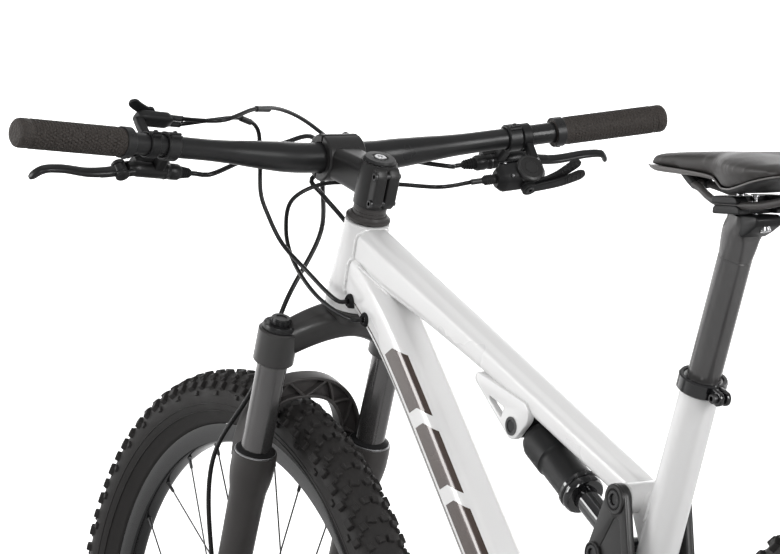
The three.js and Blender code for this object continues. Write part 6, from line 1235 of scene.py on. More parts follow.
# Lockout remote: a small moulded body above the left of the bar, on an arm and clamp of its own, with a thumb
# lever. Two housings run from it to the fork and the shock.
remote_path = [off_bar(lerp(190, 232, s), 2, REMOTE_LIFT) for s in np.linspace(0, 1, 15)]
remote = sweep(remote_path, pod_section(9, 6.5, 0.66, 3), LEVER_AHEAD)
remote_arm = sweep([off_bar(231, 0, 13), off_bar(231, 1, 24), off_bar(230, 2, 35)], lambda s: octagon(5, 5, 4, 1.6),
                   LEFT)
clamp, clamp_bolt = bar_clamp(231, 11, 13.9, -LEVER_AHEAD)
out_axis = (off_bar(188, 2, REMOTE_LIFT) - off_bar(200, 2, REMOTE_LIFT)).normalized()
barrels = [turned([(0, -2), (3.2, -2), (3.2, 3), (2.6, 4)], off_bar(192, 2 + k * 4.5, REMOTE_LIFT), out_axis, 20)
           for k in (1, -1)]
make("remote_housing", [remote, remote_arm, *clamp, *barrels], PLASTIC, "steering", "remote_body", angle=36)
make("remote_screws", [clamp_bolt, bolt(off_bar(214, 2, 48.4), LEVER_NORMAL, 3.4, 1.5, 1.5)], BOLT, "steering",
     angle=30)
thumb_path = spaced([off_bar(214, 2, 46.9), off_bar(227, -4, 46.9), off_bar(240, -12, 46.9)], 18)
thumb = sweep(thumb_path, lambda s: octagon(6 * (1 if s < 0.8 else math.sqrt(max(0.06, 1 - ((s - 0.8) / 0.21) ** 2))),
                                            1.7, 5, 0.8), LEFT)
make("remote_thumb", [thumb, ring(7.5, 2.8, off_bar(214, 2, 45.2), off_bar(214, 2, 48.6), 36, edge=0.4)], PLASTIC,
     "remote_lever", "remote_lever", angle=36)


# Cables and hoses: black plastic housings with alloy ferrules, held at both ends. Each runs on one smooth line
# from its lever to its port or fitting.
PORT_UP, PORT_LOW = steer(21, -31), steer(16, -65)


def steered(*points):
    return [steer(*p) for p in points]


HOUSING = material("housing_black", (0.009, 0.009, 0.0095), 0.28, slot="housing", grain=(1800, 0.1), level=0.3)


def cord(name, points, radius):
    obj = make(f"{name}_line", tube(points, radius, 110, 12), HOUSING, None, name, angle=60)
    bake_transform(obj)


front_banjo = steer(-412, -16, 52.7)
cord("front_brake_hose", [off_bar(165.7, 37), off_bar(156, 37), *steered((116, 84.7, 149), (119.4, 100.4, 110.4),
        (125, 124.2, 64.4), (125.3, 140.5, 29.2), (126, 154.4, -11), (107, 161.1, -32.7), (70, 152, -36),
        (28.7, 128, -30), (-37.7, 92, 20), (-120, 62, 58), (-200, 58, 94), (-300, 30, 92), (-380, -12, 80)),
                          front_banjo + STEER_UP * 20.1, front_banjo + STEER_UP * 12.3], 2.6)
cord("rear_brake_hose", [off_bar(-165.7, 37), off_bar(-156, 37), *steered((119.1, 80, -148), (119.6, 86.5, -128),
        (117.6, 105.1, -96.1), (101.8, 131.1, -51.8), (83.2, 138, -11.7), (68.7, 130, -24), (51.2, 106.5, -39.7),
        (33.9, 60.8, -48), (26, 15, -40)), *span(PORT_UP, -35, -25.3)], 2.6)
cord("shift_cable", [off_bar(-155.7, 6, POD_LIFT), off_bar(-146, 6, POD_LIFT), *steered((97, 77.4, -135),
        (94.1, 93.5, -94.6), (90, 112, -48.8), (82.8, 124, -13.2), (67.2, 119, 20.2), (44, 100, 32), (24, 66, 38),
        (8, 10, 36)), *span(PORT_LOW, 35, 25.3)], 2.3)
cord("remote_cable_shock", [off_bar(188, 6.5, REMOTE_LIFT), off_bar(180, 6.5, REMOTE_LIFT), *steered((173, 94, 150),
        (172, 100, 112), (156, 110, 84), (124, 114, 72), (85.5, 100, 70.7), (67.2, 87.1, 65.5), (44.6, 65.1, 56),
        (30, 30, 44)), *span(PORT_UP, 35, 25.3)], 2.3)
make("remote_cable_fork_line", tube([off_bar(188, -2.5, REMOTE_LIFT), off_bar(180, -2.5, REMOTE_LIFT),
                                     *steered((180, 76, 150), (182, 100, 96), (168, 128, 45), (140, 146, -8),
                                              (104, 146, -54), (56.1, 106, -72), (20, 50, -72)),
                                     on_leg(-16.9 + 11.5, -1), on_leg(-16.9, -1)], 2.3, 120, 12), HOUSING, "steering",
     "remote_cable_fork", angle=60)
ferrules = []
for points in ((off_bar(188, 6.5, REMOTE_LIFT), off_bar(180, 6.5, REMOTE_LIFT)), (off_bar(188, -2.5, REMOTE_LIFT),
        off_bar(180, -2.5, REMOTE_LIFT)), (off_bar(-155.7, 6, POD_LIFT), off_bar(-146, 6, POD_LIFT))):
    ferrules.append(rod(3.1, points[0], points[0] + (points[1] - points[0]).normalized() * 12, 20, edge=0.6))
for a, b in (((172, 100, 112), (165, 105, 96)), ((182, 100, 96), (176, 113, 72)), ((93, 98, -84), (91, 106, -64))):
    ferrules.append(rod(3.3, steer(*a), steer(*b), 20, edge=0.8))
make("cable_ferrules", ferrules, ALLOY, "steering", angle=36)
ports = []
for port, hand in ((PORT_UP, 1), (PORT_LOW, 1), (PORT_UP, -1)):
    ports.append(turned([(0, -6), (8, -6), (7.4, -1.5), (5.4, 0.6), (5.0, 0), (3.1, -0.2), (3.1, -3), (0, -3)],
                        beside(port, hand * 25), vec(0, hand, 0), 36))
make("cable_ports", ports, BOOT, "front_triangle", angle=36)


# Seatpost, collar and rail clamp: a satin alloy tube in the seat tube, pinched by a slotted collar. The clamp on
# its head holds the saddle's rails between a lower and an upper cradle.
post = [turned([(0, -110), (15.2, -110), (15.45, -109.4), (15.45, 118.6), (15.1, 119), (15.1, 119.8), (15.45, 120.2),
                (15.5, 127), (0, 127)], COLLAR, SEAT_UP, 72)]
HEAD_WIDE = [(0, 15.4), (0.35, 15.6), (0.75, 16.4), (1, 16.2)]
HEAD_DEEP = [(0, 15.4), (0.35, 16.2), (0.7, 15.4), (1, 12.6)]
head_path = spaced([seat_line(121), seat_line(132), seat_line(143), vec(-314.5, 0, 938), vec(-317, 0, 946.4)], 33)
post.append(sweep(head_path, lambda s: oval(along(HEAD_WIDE, s), along(HEAD_DEEP, s), 40, lerp(2, 3.4, s)), LEFT))
post.append(plate(soft([(-303, 946.4), (-304, 934), (-318, 924), (-330, 931), (-329.6, 946.4)], 5, 4), -12, 12,
                  edge=2.5))

POST = material("post_satin", (0.085, 0.083, 0.083), 0.2, metallic=0.35, slot="gloss_black", grain=(1200, 0.1),
                stretch=(6, 6, 0.4), level=0.8)
make("seatpost_tube", post, POST, "seat", "seatpost", angle=38)
make("seatpost_yoke", [plate(soft([(-318, 946.6), (-345, 946.6), (-349, 943), (-347, 937), (-336, 931), (-324, 926),
                                   (-318, 932)], 2.5, 4), -14, 14, edge=2)], ALLOY, "seat")
make("seatpost_yoke_bolt", [turned([(0, 0), (4.6, 0), (5.2, 0.6), (5.2, 4.4), (4.6, 5), (2.8, 5), (2.6, 2.2),
                                    (0, 2.2)], vec(-341, 0, 936.5), vec(-0.25, 0, -0.97), 24),
                            rod(3, vec(-340.6, 0, 934), vec(-338, 0, 946))], SILVER, "seat", angle=28)
inner, outer = 18.7, 22.7
back = vec(-SEAT_UP.z, 0, SEAT_UP.x)
ring_part = []
for i in range(61):
    a = lerp(0.085, math.tau - 0.085, i / 60)
    d = back * math.cos(a) + LEFT * math.sin(a)
    base = seat_line(-12)
    ring_part.append([base + d * inner, base + d * (outer - 0.8), base + d * outer + SEAT_UP * 0.8,
                      base + d * outer + SEAT_UP * 12.8, base + d * (outer - 1.2) + SEAT_UP * 14,
                      base + d * inner + SEAT_UP * 14])
collar = [skin(ring_part)]
for hand in (1, -1):
    y0, y1 = (1.4, 6.3) if hand > 0 else (-6.3, -1.4)
    outline = [(p.x, p.z) for p in (seat_line(-11.6) + back * 19.5, seat_line(-11.6) + back * 34, seat_line(-8) + back
                                    * 37.4, seat_line(-2) + back * 37.4, seat_line(1.6) + back * 34,
                                    seat_line(1.6) + back * 19.5)]
    collar.append(plate(soft(outline, 3, 4), y0, y1, edge=1.2))
make("seat_collar_ring", collar, GLOSS, "front_triangle", "seat_collar", angle=34)
make("seat_collar_bolt", [rod(2.5, *span(seat_line(-5) + back * 30, -7, 6)),
                          bolt(beside(seat_line(-5) + back * 30, 6.1), LEFT, 4.4, 5, 2.4)], BOLT, "front_triangle")
cradle = both(plate(soft([(-340, 947.2), (-301, 947.2), (-302, 953), (-305, 955), (-334, 955), (-339, 953)], 2, 3),
                    14, 27, edge=1.4))
cradle += both(plate(soft([(-338, 956), (-300, 956), (-302, 961.5), (-305, 963), (-331, 963), (-336, 961.5)], 2, 3),
                     14, 27.5, edge=1.4))
cradle.append(plate(soft([(-332, 947.2), (-304, 947.2), (-304, 951), (-332, 951)], 1, 2), -14.5, 14.5, edge=1))
cradle.append(plate(soft([(-326, 958), (-310, 958), (-310, 962.4), (-326, 962.4)], 1, 2), -14.5, 14.5, edge=1))
make("rail_clamp", cradle, PLASTIC, "seat", "seatpost_clamp", angle=34)
make("rail_clamp_bolts", [bolt(vec(-318 + k, 0, 962), UP, 4, 2.2, 2.2) for k in (10, -10)]
     + [rod(2.6, vec(-318 + k, 0, 940), vec(-318 + k, 0, 962)) for k in (10, -10)], SILVER, "seat")


# Saddle rails: one bent wire, 7 mm thick and matt black. It is pushed into the shell at nose and tail, and the
# seatpost's clamp holds it between.
half = [vec(-446, 32, 969), vec(-404, 29.5, 961), vec(-366, 24, 956), vec(-342, 22, 955), vec(-318, 22, 955.2),
        vec(-300, 20.5, 957), vec(-282, 16.5, 961.6), vec(-264, 11, 967.4), vec(-249, 6.5, 971)]
make("saddle_rail_wire", tube(half + [beside(p, -p.y) for p in half][::-1], 3.5, 170, 18), CAST, "seat",
     "saddle_rails", angle=60)

# Saddle: a stuffed cover with a drooping skirt, over a moulded shell. Each station from tail to nose holds its share
# of the length, its share of the width, the heights of its top and edge, and the shell's depth below the edge.
STATIONS = [(0, 0.6, 988, 984.5, 3), (0.035, 0.84, 991.5, 984.5, 3.2), (0.1, 0.985, 994, 983, 3.6),
            (0.2, 1.0, 996, 979, 4), (0.31, 0.92, 998.6, 974, 4.4), (0.41, 0.77, 1000.4, 970.4, 4.8),
            (0.49, 0.59, 1001, 970.2, 5.4), (0.555, 0.43, 1001, 973.5, 4.6), (0.61, 0.335, 1000.8, 979, 4.2),
            (0.7, 0.295, 1000.3, 981.8, 4.6), (0.82, 0.27, 999.7, 984.2, 5.4), (0.93, 0.245, 999, 986, 5.6),
            (0.975, 0.2, 998, 986.8, 4.4), (1, 0.12, 995.6, 988.4, 2)]
columns = [[(row[0], row[k]) for row in STATIONS] for k in (1, 2, 3, 4)]
SADDLE_TAIL, SADDLE_LENGTH, SADDLE_HALF_WIDTH = -458.5, 275, 71


def saddle_ring(share, inset=0.0):
    wide, top, edge = (along(c, share) for c in columns[:3])
    x = SADDLE_TAIL + inset * 0.3 + (SADDLE_LENGTH - 0.6 * inset) * share
    half_width, height = wide * SADDLE_HALF_WIDTH - inset, top - edge - inset
    groove = 2.0 * math.exp(-((share - 0.4) / 0.26) ** 2)
    shoulder = lerp(0.34, 0.2, share) if height > 16 else 0.34
    points = []
    for t in np.linspace(-1, 1, 61):
        a = abs(t)
        if a < 0.8:
            across, up = math.sin(a / 0.8 * math.pi / 2), 1 - shoulder * (a / 0.8) ** 3
        else:
            k = (a - 0.8) / 0.2
            across, up = 1 - 0.2 * k ** 1.7 * min(1, height / 26), (1 - shoulder) * (1 - k)
        dip = groove * math.exp(-(across * half_width / 9) ** 2)
        points.append(vec(x, math.copysign(across * half_width, t), edge + up * height - dip))
    return points


shares = [0.5 - 0.5 * math.cos(math.pi * i / 72) for i in range(73)]

CLOTH_STEPS, FILL_PRESSURE, SMOOTHINGS = 20, 4.0, 10


def stuffed(geometry, voxel, cap, is_held):
    """Swells a closed pad from within, as its filling does, and holds the points that are glued down."""
    mesh = bpy.data.meshes.new("pad")
    mesh.from_pydata([v * MM for v in geometry[0]], [], geometry[1])
    pad = bpy.data.objects.new("pad", mesh)
    scene.collection.objects.link(pad)
    remesh = pad.modifiers.new("remesh", "REMESH")
    remesh.mode, remesh.voxel_size = "VOXEL", voxel * MM
    apply_modifiers(pad)
    held = pad.vertex_groups.new(name="held")
    held.add([v.index for v in pad.data.vertices if is_held(v.co / MM)], 1.0, "REPLACE")
    cloth = pad.modifiers.new("cloth", "CLOTH")
    cloth.settings.quality, cloth.settings.vertex_group_mass = 6, "held"
    cloth.settings.use_pressure, cloth.settings.uniform_pressure_force = True, FILL_PRESSURE
    cloth.settings.effector_weights.gravity = 0.0
    cloth.collision_settings.use_collision = False
    for step in range(1, CLOTH_STEPS + 1):
        scene.frame_set(step)
    swollen = pad.evaluated_get(bpy.context.evaluated_depsgraph_get()).to_mesh()
    points = []
    for before, after in zip(pad.data.vertices, swollen.vertices):
        moved = (after.co - before.co) / MM
        points.append(before.co / MM + moved * min(1.0, cap / max(moved.length, 1e-9)))
    faces = [tuple(p.vertices) for p in pad.data.polygons]
    ends = np.array([tuple(e.vertices) for e in pad.data.edges])
    flat = np.array([tuple(p) for p in points])
    soft_weight = np.array([[0.12] if is_held(p) else [0.6] for p in points])
    for _ in range(SMOOTHINGS):
        total, count = np.zeros_like(flat), np.zeros((len(flat), 1))
        for a, b in ((0, 1), (1, 0)):
            np.add.at(total, ends[:, a], flat[ends[:, b]])
            np.add.at(count, ends[:, a], 1)
        flat += (total / count - flat) * soft_weight
    points = [vec(*p) for p in flat]
    scene.frame_set(1)
    bpy.data.objects.remove(pad)
    return points, faces


pad_shape = skin([saddle_ring(min(max(s, 0.002), 0.998), 1.6) for s in shares], caps=True)
pad_shape = stuffed(pad_shape, 4.0, 2.4, lambda p: p.z < along(columns[2], (p.x - SADDLE_TAIL) / SADDLE_LENGTH) + 2.4)

SKIN = material("saddle_skin", (0.033, 0.03, 0.0285), 0.5, slot="saddle_cover", grain=(2200, 0.4), bump=0.05,
                blotch=(14, 0.18), level=0.35)
cover = make("saddle_cover_skin", pad_shape, SKIN, "seat", "saddle_cover", angle=70, level=1)
SHELL_SECTION = [(-0.98, -0.08), (-1, -0.2), (-0.95, -0.62), (-0.78, -0.88), (0, -1), (0.78, -0.88), (0.95, -0.62),
                 (1, -0.2), (0.98, -0.08), (0, -0.05)]
base_rings, seam_lines = [], [[], []]
for s in shares:
    s = min(max(s, 0.012), 0.982)
    low = saddle_ring(s)
    w, edge, deep = abs(low[0].y) * 0.985, low[0].z, along(columns[3], s)
    x = low[0].x
    base_rings.append([vec(x, y * w, edge + z * deep) for y, z in SHELL_SECTION])
    for seam, hand in zip(seam_lines, (1, -1)):
        seam.append(vec(x, hand * w * 1.012, edge - 0.25))
nose = [r for r in base_rings if r[0].x > SADDLE_TAIL + SADDLE_LENGTH * 0.6]
base = [skin(base_rings[:len(base_rings) - len(nose) + 1])]

SEAT_SHELL = material("saddle_shell", (0.14, 0.132, 0.128), 0.4, slot="black_plastic", grain=(1500, 0.2))
make("saddle_shell_nose", skin(nose), SEAT_SHELL, "seat", angle=50)
for hand in (1, -1):
    base.append(rod(7.5, vec(-449, hand * 32, 969), vec(-430, hand * 31, 965.6), edge=1.6))
    base.append(sweep([vec(-448, hand * 32, 970), vec(-446, hand * 33, 977), vec(-443, hand * 34, 983)],
                      lambda s: octagon(6, 7, 3, 2), LEFT))
    base.append(sweep([vec(-252, hand * 7.4, 970.6), vec(-243, hand * 5.6, 974.6), vec(-233, hand * 4.4, 981)],
                      lambda s: octagon(4.6, 4.8, 2.4, 1), LEFT))
make("saddle_shell_base", base, PLASTIC, "seat", "saddle_base", angle=44)
make("saddle_edge_seam", [tube(seam, 0.8, 150, 8) for seam in seam_lines], SEAT_SHELL, "seat", angle=60)


# Chainstays: two matt alloy arms that turn on the main pivot's pin and carry the rear axle in their dropouts.
# The left one holds the rear brake's mount.
RUN = REAR_AXLE - MAIN_PIVOT
DROPOUT_IN, DROPOUT_OUT = 74.3, 84
ACROSS = (DROPOUT_IN + DROPOUT_OUT) / 2
CHAINSTAY_OUT = [(0, 0.435), (0.14, 0.44), (0.3, 0.48), (0.62, 0.7), (0.85, 0.985), (1, 0.99)]
CHAINSTAY_LIFT = [(0, 0), (0.3, 0.012), (0.62, 0.02), (1, 0)]
HORN = REAR_AXLE + vec(13.5, 0, 27)


def chainstay(hand):
    path = [MAIN_PIVOT + RUN * s + UP * (along(CHAINSTAY_LIFT, s) * RUN.length) + LEFT
            * (hand * ACROSS * along(CHAINSTAY_OUT, s)) for s in np.linspace(0, 0.975, 49)]
    return sweep(path, lambda s: octagon(4.6, lerp(15, 11, s), 5, 2.6), LEFT)


rear_high, rear_low = REAR_AXLE + vec(52, 0, 52), REAR_AXLE + vec(72, 0, 29)
stays = [chainstay(1), chainstay(-1)]
for hand in (1, -1):
    near, far = sorted((hand * DROPOUT_IN, hand * DROPOUT_OUT))
    stays.append(plate(strap([spot(REAR_AXLE, 15), spot(HORN, 9)]), near, far, [circle(HORN.x, HORN.z, 4.2, 20)],
                       edge=1.6))
    stays.append(rod(15, *span(MAIN_PIVOT, hand * 29.3, hand * 43), 44, edge=1.8))


def across_rod(point, radius, half, **more):
    return rod(radius, *span(point, -half, half), **more)


stays += [across_rod(MAIN_PIVOT, 7.4, 31), rod(5.9, *span(REAR_AXLE, -84, 86), edge=0.4)]
stays.append(plate(strap([spot(rear_high, 6.5), spot(rear_low, 6.5), (rear_high.x, MAIN_PIVOT.z - 15, 6.5)]), 70.3,
                   76.3, edge=1.5))
make("chainstay_pair", stays, CAST, "chainstays", "chainstays", angle=36)
stay_bolts = [bolt(beside(MAIN_PIVOT, hand * 42.8), LEFT * hand, 8, 2.6, 4) for hand in (1, -1)]
stay_bolts += [bolt(beside(REAR_AXLE, 84), LEFT, 8.5, 5, 3), bolt(beside(REAR_AXLE, -84), -LEFT, 6.4, 1.2, 3)]
make("rear_pivot_bolts", stay_bolts, BOLT, "chainstays")
banjo = rear_high + LEFT * ((46 + 70) / 2 - 3.5 - 1.8) + STEER_UP * 10
caliper("rear_caliper", "chainstays", "rear_caliper", (46, 70, 57, 1.8, 12), rear_high, rear_low,
        [rear_high, rear_low], REAR_AXLE, banjo, STEER_UP)


# Seatstays: two slim matt alloy arms from the dropouts' pivots up to the rocker, tied by a bridge near the top.
# Bolts hold both of their ends.
FOOT, BRACE = ROCKER + vec(-9, 0, -85.5), ROCKER + vec(43, 0, -74.5)
STAY_RUN = FOOT - HORN
BELOW = STAY_RUN.normalized().cross(LEFT)
BELOW = BELOW if BELOW.z < 0 else -BELOW
STAY_SWING = [(0, 1.02), (0.2, 0.94), (0.5, 0.72), (0.72, 0.55), (0.88, 0.53), (1, 0.53)]
STAY_SAG = [(0, 0), (0.25, -0.055), (0.5, -0.085), (0.72, -0.08), (0.88, -0.05), (1, 0)]
STAY_OUT = DROPOUT_OUT + 0.6 + 4.5


def stay_at(share, hand):
    return (HORN + STAY_RUN * share - BELOW * (along(STAY_SAG, share) * STAY_RUN.length) + LEFT
            * (hand * STAY_OUT * along(STAY_SWING, share)))


seat_stays = []
for hand in (1, -1):
    seat_stays.append(sweep([stay_at(s, hand) for s in np.linspace(0, 1, 49)],
                            lambda s: octagon(4.5, lerp(7, 13, s), 5, 2.4), LEFT))
    seat_stays.append(rod(12, *span(FOOT, hand * 38.7, hand * 46.7), 40, edge=1.4))
    seat_stays.append(rod(9, *span(HORN, hand * 84.6, hand * 93.6), 36, edge=1.2))
    seat_stays.append(rod(3.9, *span(HORN, hand * 74.9, hand * 88.5)))
half = STAY_OUT * along(STAY_SWING, 0.83)
seat_stays.append(sweep([beside(stay_at(0.83, 0), half * t) for t in np.linspace(-1, 1, 13)],
                        lambda s: octagon(7, 9, 4, 3), UP))
make("seatstay_pair", seat_stays, CAST, "seatstays", "seatstays", angle=36)
make("seatstay_bolts", [bolt(beside(HORN, hand * 93.4), LEFT * hand, 5.5, 2.0, 2.5) for hand in (1, -1)]
     + [bolt(beside(FOOT, hand * 46.5), LEFT * hand, 7, 2.2, 3) for hand in (1, -1)], BOLT, "seatstays")


# Rocker: two dished alloy arms on the seat tube's pivot, tied by a brace, with bolt bosses.
# It links the seatstays to the shock.
SHOCK_DOWN = vec(-math.cos(math.radians(32.5)), 0, -math.sin(math.radians(32.5)))
SHOCK_REAR = SHOCK_FRONT + SHOCK_DOWN * 190

outline = strap([spot(ROCKER, 14.5), spot(FOOT, 13), spot(SHOCK_REAR, 12), spot(BRACE, 6.5)])
inner_line = strap([(ROCKER.x - 1, ROCKER.z - 22, 5), (FOOT.x + 3, FOOT.z + 20, 4),
                    (SHOCK_REAR.x - 10, SHOCK_REAR.z - 10, 3), (BRACE.x - 9, BRACE.z + 12, 3)])
link = both(plate(outline, 28.6, 37.2, edge=2.2))
link += both(plate(outline, 34, 38, [inner_line], edge=1.1))
link += [across_rod(BRACE, 6.5, 30), across_rod(ROCKER, 7.4, 31)]
for point, radius in ((ROCKER, 14.2), (SHOCK_REAR, 11.6)):
    link += both(ring(radius, 9.4, *span(point, 37, 40.2), 48, edge=1.1))
    link += both(rod(9, *span(point, 31, 38.4), 40, edge=0.3))
make("rocker_arms", link, FORGED, "rocker", "rocker_link", angle=36)
link_bolts = [turned([(0, 37.8), (8.6, 37.8), (9, 38.4), (9, 39.6), (8, 40.4), (5.6, 40.4), (4.9, 39.4), (4.6, 38.2),
                      (0, 38.2)], beside(point, 0), LEFT * hand, 40) for point in (ROCKER, SHOCK_REAR)
              for hand in (1, -1)]
make("rocker_bolts", link_bolts, BOLT, "rocker", angle=28)


# Shock: a stepped alloy air can over a hard-coated damper shaft, with an eye at each end.
# It is bolted to the frame's tab in front and to the rocker behind.
def on_shock(down, across=0.0):
    return SHOCK_FRONT + SHOCK_DOWN * down + LEFT * across


can = turned([(0, 13), (9, 13), (12.6, 14.5), (15, 17), (17.6, 20), (19.8, 26), (20, 30), (20, 54), (19.3, 55),
              (18.5, 57), (18.3, 60), (18.6, 62), (18.6, 90), (19, 91), (19, 97.4), (12.6, 97.4), (12.6, 56),
              (0, 56)], on_shock(0), SHOCK_DOWN, 96)
collars = [turned([(12.4, 97.6), (20.6, 97.6), (21.5, 98.4), (21.5, 101.6), (20.8, 102.4), (19.6, 103), (19.6, 104.6),
                   (20.9, 105.2), (21, 106), (20.6, 109.5), (19.2, 111.4), (17, 112), (12.4, 112)], on_shock(0),
                  SHOCK_DOWN, 96)]
eye = [rod(12, on_shock(0, -12.4), on_shock(0, 12.4), 44, edge=1.2), rod(10.6, on_shock(2), on_shock(17), 36)]
make("shock_can", [can, *eye], PLASTIC, "shock_body", "shock_body", angle=34)
make("shock_collars", collars, GLOSS, "shock_body", angle=34)
valve_dir = (SHOCK_DOWN.cross(LEFT)).normalized()
valve_dir = valve_dir if valve_dir.z < 0 else -valve_dir
make("shock_valve", [rod(4.2, on_shock(34) + valve_dir * 12, on_shock(34) + valve_dir * 19.6, edge=0.8)], BOLT,
     "shock_body")
shaft = [rod(11.9, on_shock(99.5), on_shock(183), 56, edge=0.4), rod(12, on_shock(190, -12.4), on_shock(190, 12.4),
        44, edge=1.2), rod(9, on_shock(190, -28), on_shock(190, 28), 36, edge=0.6)]
make("shock_damper", shaft, GLOSS, "shock_shaft", "shock_shaft", angle=34)
make("shock_travel_band", [ring(13.4, 11.95, on_shock(167), on_shock(170), 48, edge=0.9)], BOOT, "shock_shaft")
tab_bolt = [turned([(0, 20.3), (8.6, 20.3), (9.2, 20.9), (9.2, 21.4), (6.2, 21.4), (5.4, 20.8), (0, 20.8)],
                   beside(SHOCK_FRONT, 0), LEFT * hand, 40) for hand in (1, -1)]
make("shock_tab_bolts", tab_bolt, BOLT, "front_triangle", angle=28)


# Bottom bracket: turned alloy cups on both sides of the frame's shell, joined by a sleeve.
# Their rims have notches for the tool that screws them in.
shell = [turned([(15.6, -49.3), (23, -49.3), (23, -46.4), (20.2, -46.3), (20.2, 46.3), (23, 46.4), (23, 49.3),
                 (15.6, 49.3)], BRACKET, LEFT, 72)]
notches = [rod(1.6, polar(BRACKET, 23, i / 16 * math.tau, hand * 46.8),
               polar(BRACKET, 23, i / 16 * math.tau, hand * 49), 12) for i in range(16) for hand in (1, -1)]
make("bracket_cups", shell + notches, ALLOY, "front_triangle", "bottom_bracket", angle=30)


# Chain drive, laid out by tooth counts: steel links on riveted pins round the chainring, one cog and the two
# pulleys. The links stand on the same closed line as the solid chain.
PITCH, LINE, ARC_STEPS = 12.7, 52, 60
RING_TEETH, COG_TEETH, PULLEY_TEETH = 36, 21, 12
CRANK_TURN, CRANK_LENGTH, CRANK_RIGHT, CRANK_LEFT = math.radians(38), 175, 61, 56


def pitch_of(teeth):
    return teeth * PITCH / math.tau


FOOT_OF_MECH = REAR_AXLE + vec(20, 0, -62)
GUIDE = FOOT_OF_MECH + vec(10, 0, -12)
TENSION = vec(-512.88171, 0, 222.30273)
circles = [(BRACKET, pitch_of(RING_TEETH), 1), (REAR_AXLE, pitch_of(COG_TEETH), 1),
           (GUIDE, pitch_of(PULLEY_TEETH), -1), (TENSION, pitch_of(PULLEY_TEETH), 1)]
legs = []
for i, (start, r0, t0) in enumerate(circles):
    end, r1, t1 = circles[(i + 1) % 4]
    between = end - start
    heading = math.atan2(between.z, between.x) + math.asin((t0 * r0 - t1 * r1) / between.length)
    normal = vec(math.sin(heading), 0, -math.cos(heading))
    legs.append([start + normal * (t0 * r0), end + normal * (t1 * r1), end, r1, t1])
line, phases, travelled = [], [], 0.0
for i, (start, end, centre, radius, turn) in enumerate(legs):
    after = legs[(i + 1) % 4][0]
    a, b = math.atan2(end.z - centre.z, end.x - centre.x), math.atan2(after.z - centre.z, after.x - centre.x)
    while turn > 0 and b < a:
        b += math.tau
    while turn < 0 and b > a:
        b -= math.tau
    travelled += (end - start).length
    phases.append(a + turn * (math.ceil(travelled / PITCH) * PITCH - travelled) / radius)
    travelled += abs(b - a) * radius
    line += [start.lerp(end, k / ARC_STEPS) for k in range(ARC_STEPS)]
    line += [polar(centre, radius, lerp(a, b, k / ARC_STEPS), 0) for k in range(ARC_STEPS)]
reach = [0.0]
for p, q in zip(line, line[1:] + line[:1]):
    reach.append(reach[-1] + (q - p).length)
link_count = 2 * round(reach[-1] / PITCH / 2)
closed_line = np.array([tuple(p) for p in line] + [tuple(line[0])])


def chain_point(k):
    at = (k % link_count) / link_count * reach[-1]
    return vec(*[np.interp(at, reach, closed_line[:, j]) for j in range(3)])


links, rollers = [], []
for k in range(link_count):
    p, q = chain_point(k), chain_point(k + 1)
    d = (q - p).normalized()
    side = vec(-d.z, 0, d.x)
    outline = []
    for centre, face in ((p, -1), (q, 1)):
        for a in np.linspace(-1.15, 1.15, 7):
            c = centre + d * (face * 4.0 * math.cos(a)) + side * (face * 4.0 * math.sin(a))
            outline.append((c.x, c.z))
    above, below = (p + q) / 2 + side * 2.5, (p + q) / 2 - side * 2.5
    outline = outline[:7] + [(below.x, below.z)] + outline[7:] + [(above.x, above.z)]
    low, high = (1.25, 1.75) if k % 2 else (1.95, 2.45)
    for hand in (1, -1):
        near, far = sorted((-LINE + hand * low, -LINE + hand * high))
        n = len(outline)
        verts = [vec(x, y, z) for y in (near, far) for x, z in outline]
        faces = [tuple(range(n)), tuple(range(2 * n - 1, n - 1, -1))]
        faces += [(i, n + i, n + (i + 1) % n, (i + 1) % n) for i in range(n)]
        links.append((verts, faces))
    rollers.append(rod(3.7, *span(p, -LINE - 1.2, -LINE + 1.2), 10, edge=0.15))
    rollers.append(rod(1.7, *span(p, -LINE - 2.48, -LINE + 2.48), 8, edge=0.1))
make("chain_links", links + rollers, STEEL, "chainstays", "chain", angle=30)


def teeth_ring(centre, teeth, phase, hole, half, y, top=1.3):
    """A sprocket with one tooth between each two rollers, and a bored middle."""
    radius, step, outline, root = pitch_of(teeth), math.tau / teeth, [], 3.4
    for i in range(teeth):
        base = phase + i * step
        for share, high in ((0, -root), (0.14, -root * 0.86), (0.27, -root * 0.3), (0.4, top * 0.7), (0.46, top),
                            (0.54, top), (0.6, top * 0.7), (0.73, -root * 0.3), (0.86, -root * 0.86)):
            a = base + share * step
            outline.append((centre.x + (radius + high) * math.cos(a), centre.z + (radius + high) * math.sin(a)))
    return plate(outline, y - half, y + half, [circle(centre.x, centre.z, hole, 64)], edge=0.25)


cogs = [teeth_ring(REAR_AXLE, COG_TEETH, phases[0], 16, 0.75, -LINE)]
stack = [(51, 34.6, 100), (45, 38.2, 88), (39, 41.8, 76), (33, 45.2, 64), (28, 48.2, 52)]
for teeth, y, hole in stack:
    cogs.append(teeth_ring(REAR_AXLE, teeth, 0.1 * teeth, min(hole, pitch_of(teeth) - 12), 0.8, -y, top=0.5))
for k, (teeth, y) in enumerate(((17, 55.8), (15, 59.4), (13, 63.2), (11, 67), (10, 70.6))):
    cogs.append(teeth_ring(REAR_AXLE, teeth, 0.2 * k, 8, 0.8, -y, top=0.5))
cone = turned([(14, 33.6), (92, 34.2), (92, 35), (48, 47.4), (38, 49.4), (21, 50.6), (21, 71.2), (14, 71.4)],
              REAR_AXLE, -LEFT, 96)
make("cassette_cogs", cogs, STEEL, "cassette", "cassette", angle=30)
make("cassette_carrier", [cone], ALLOY, "cassette", angle=30)


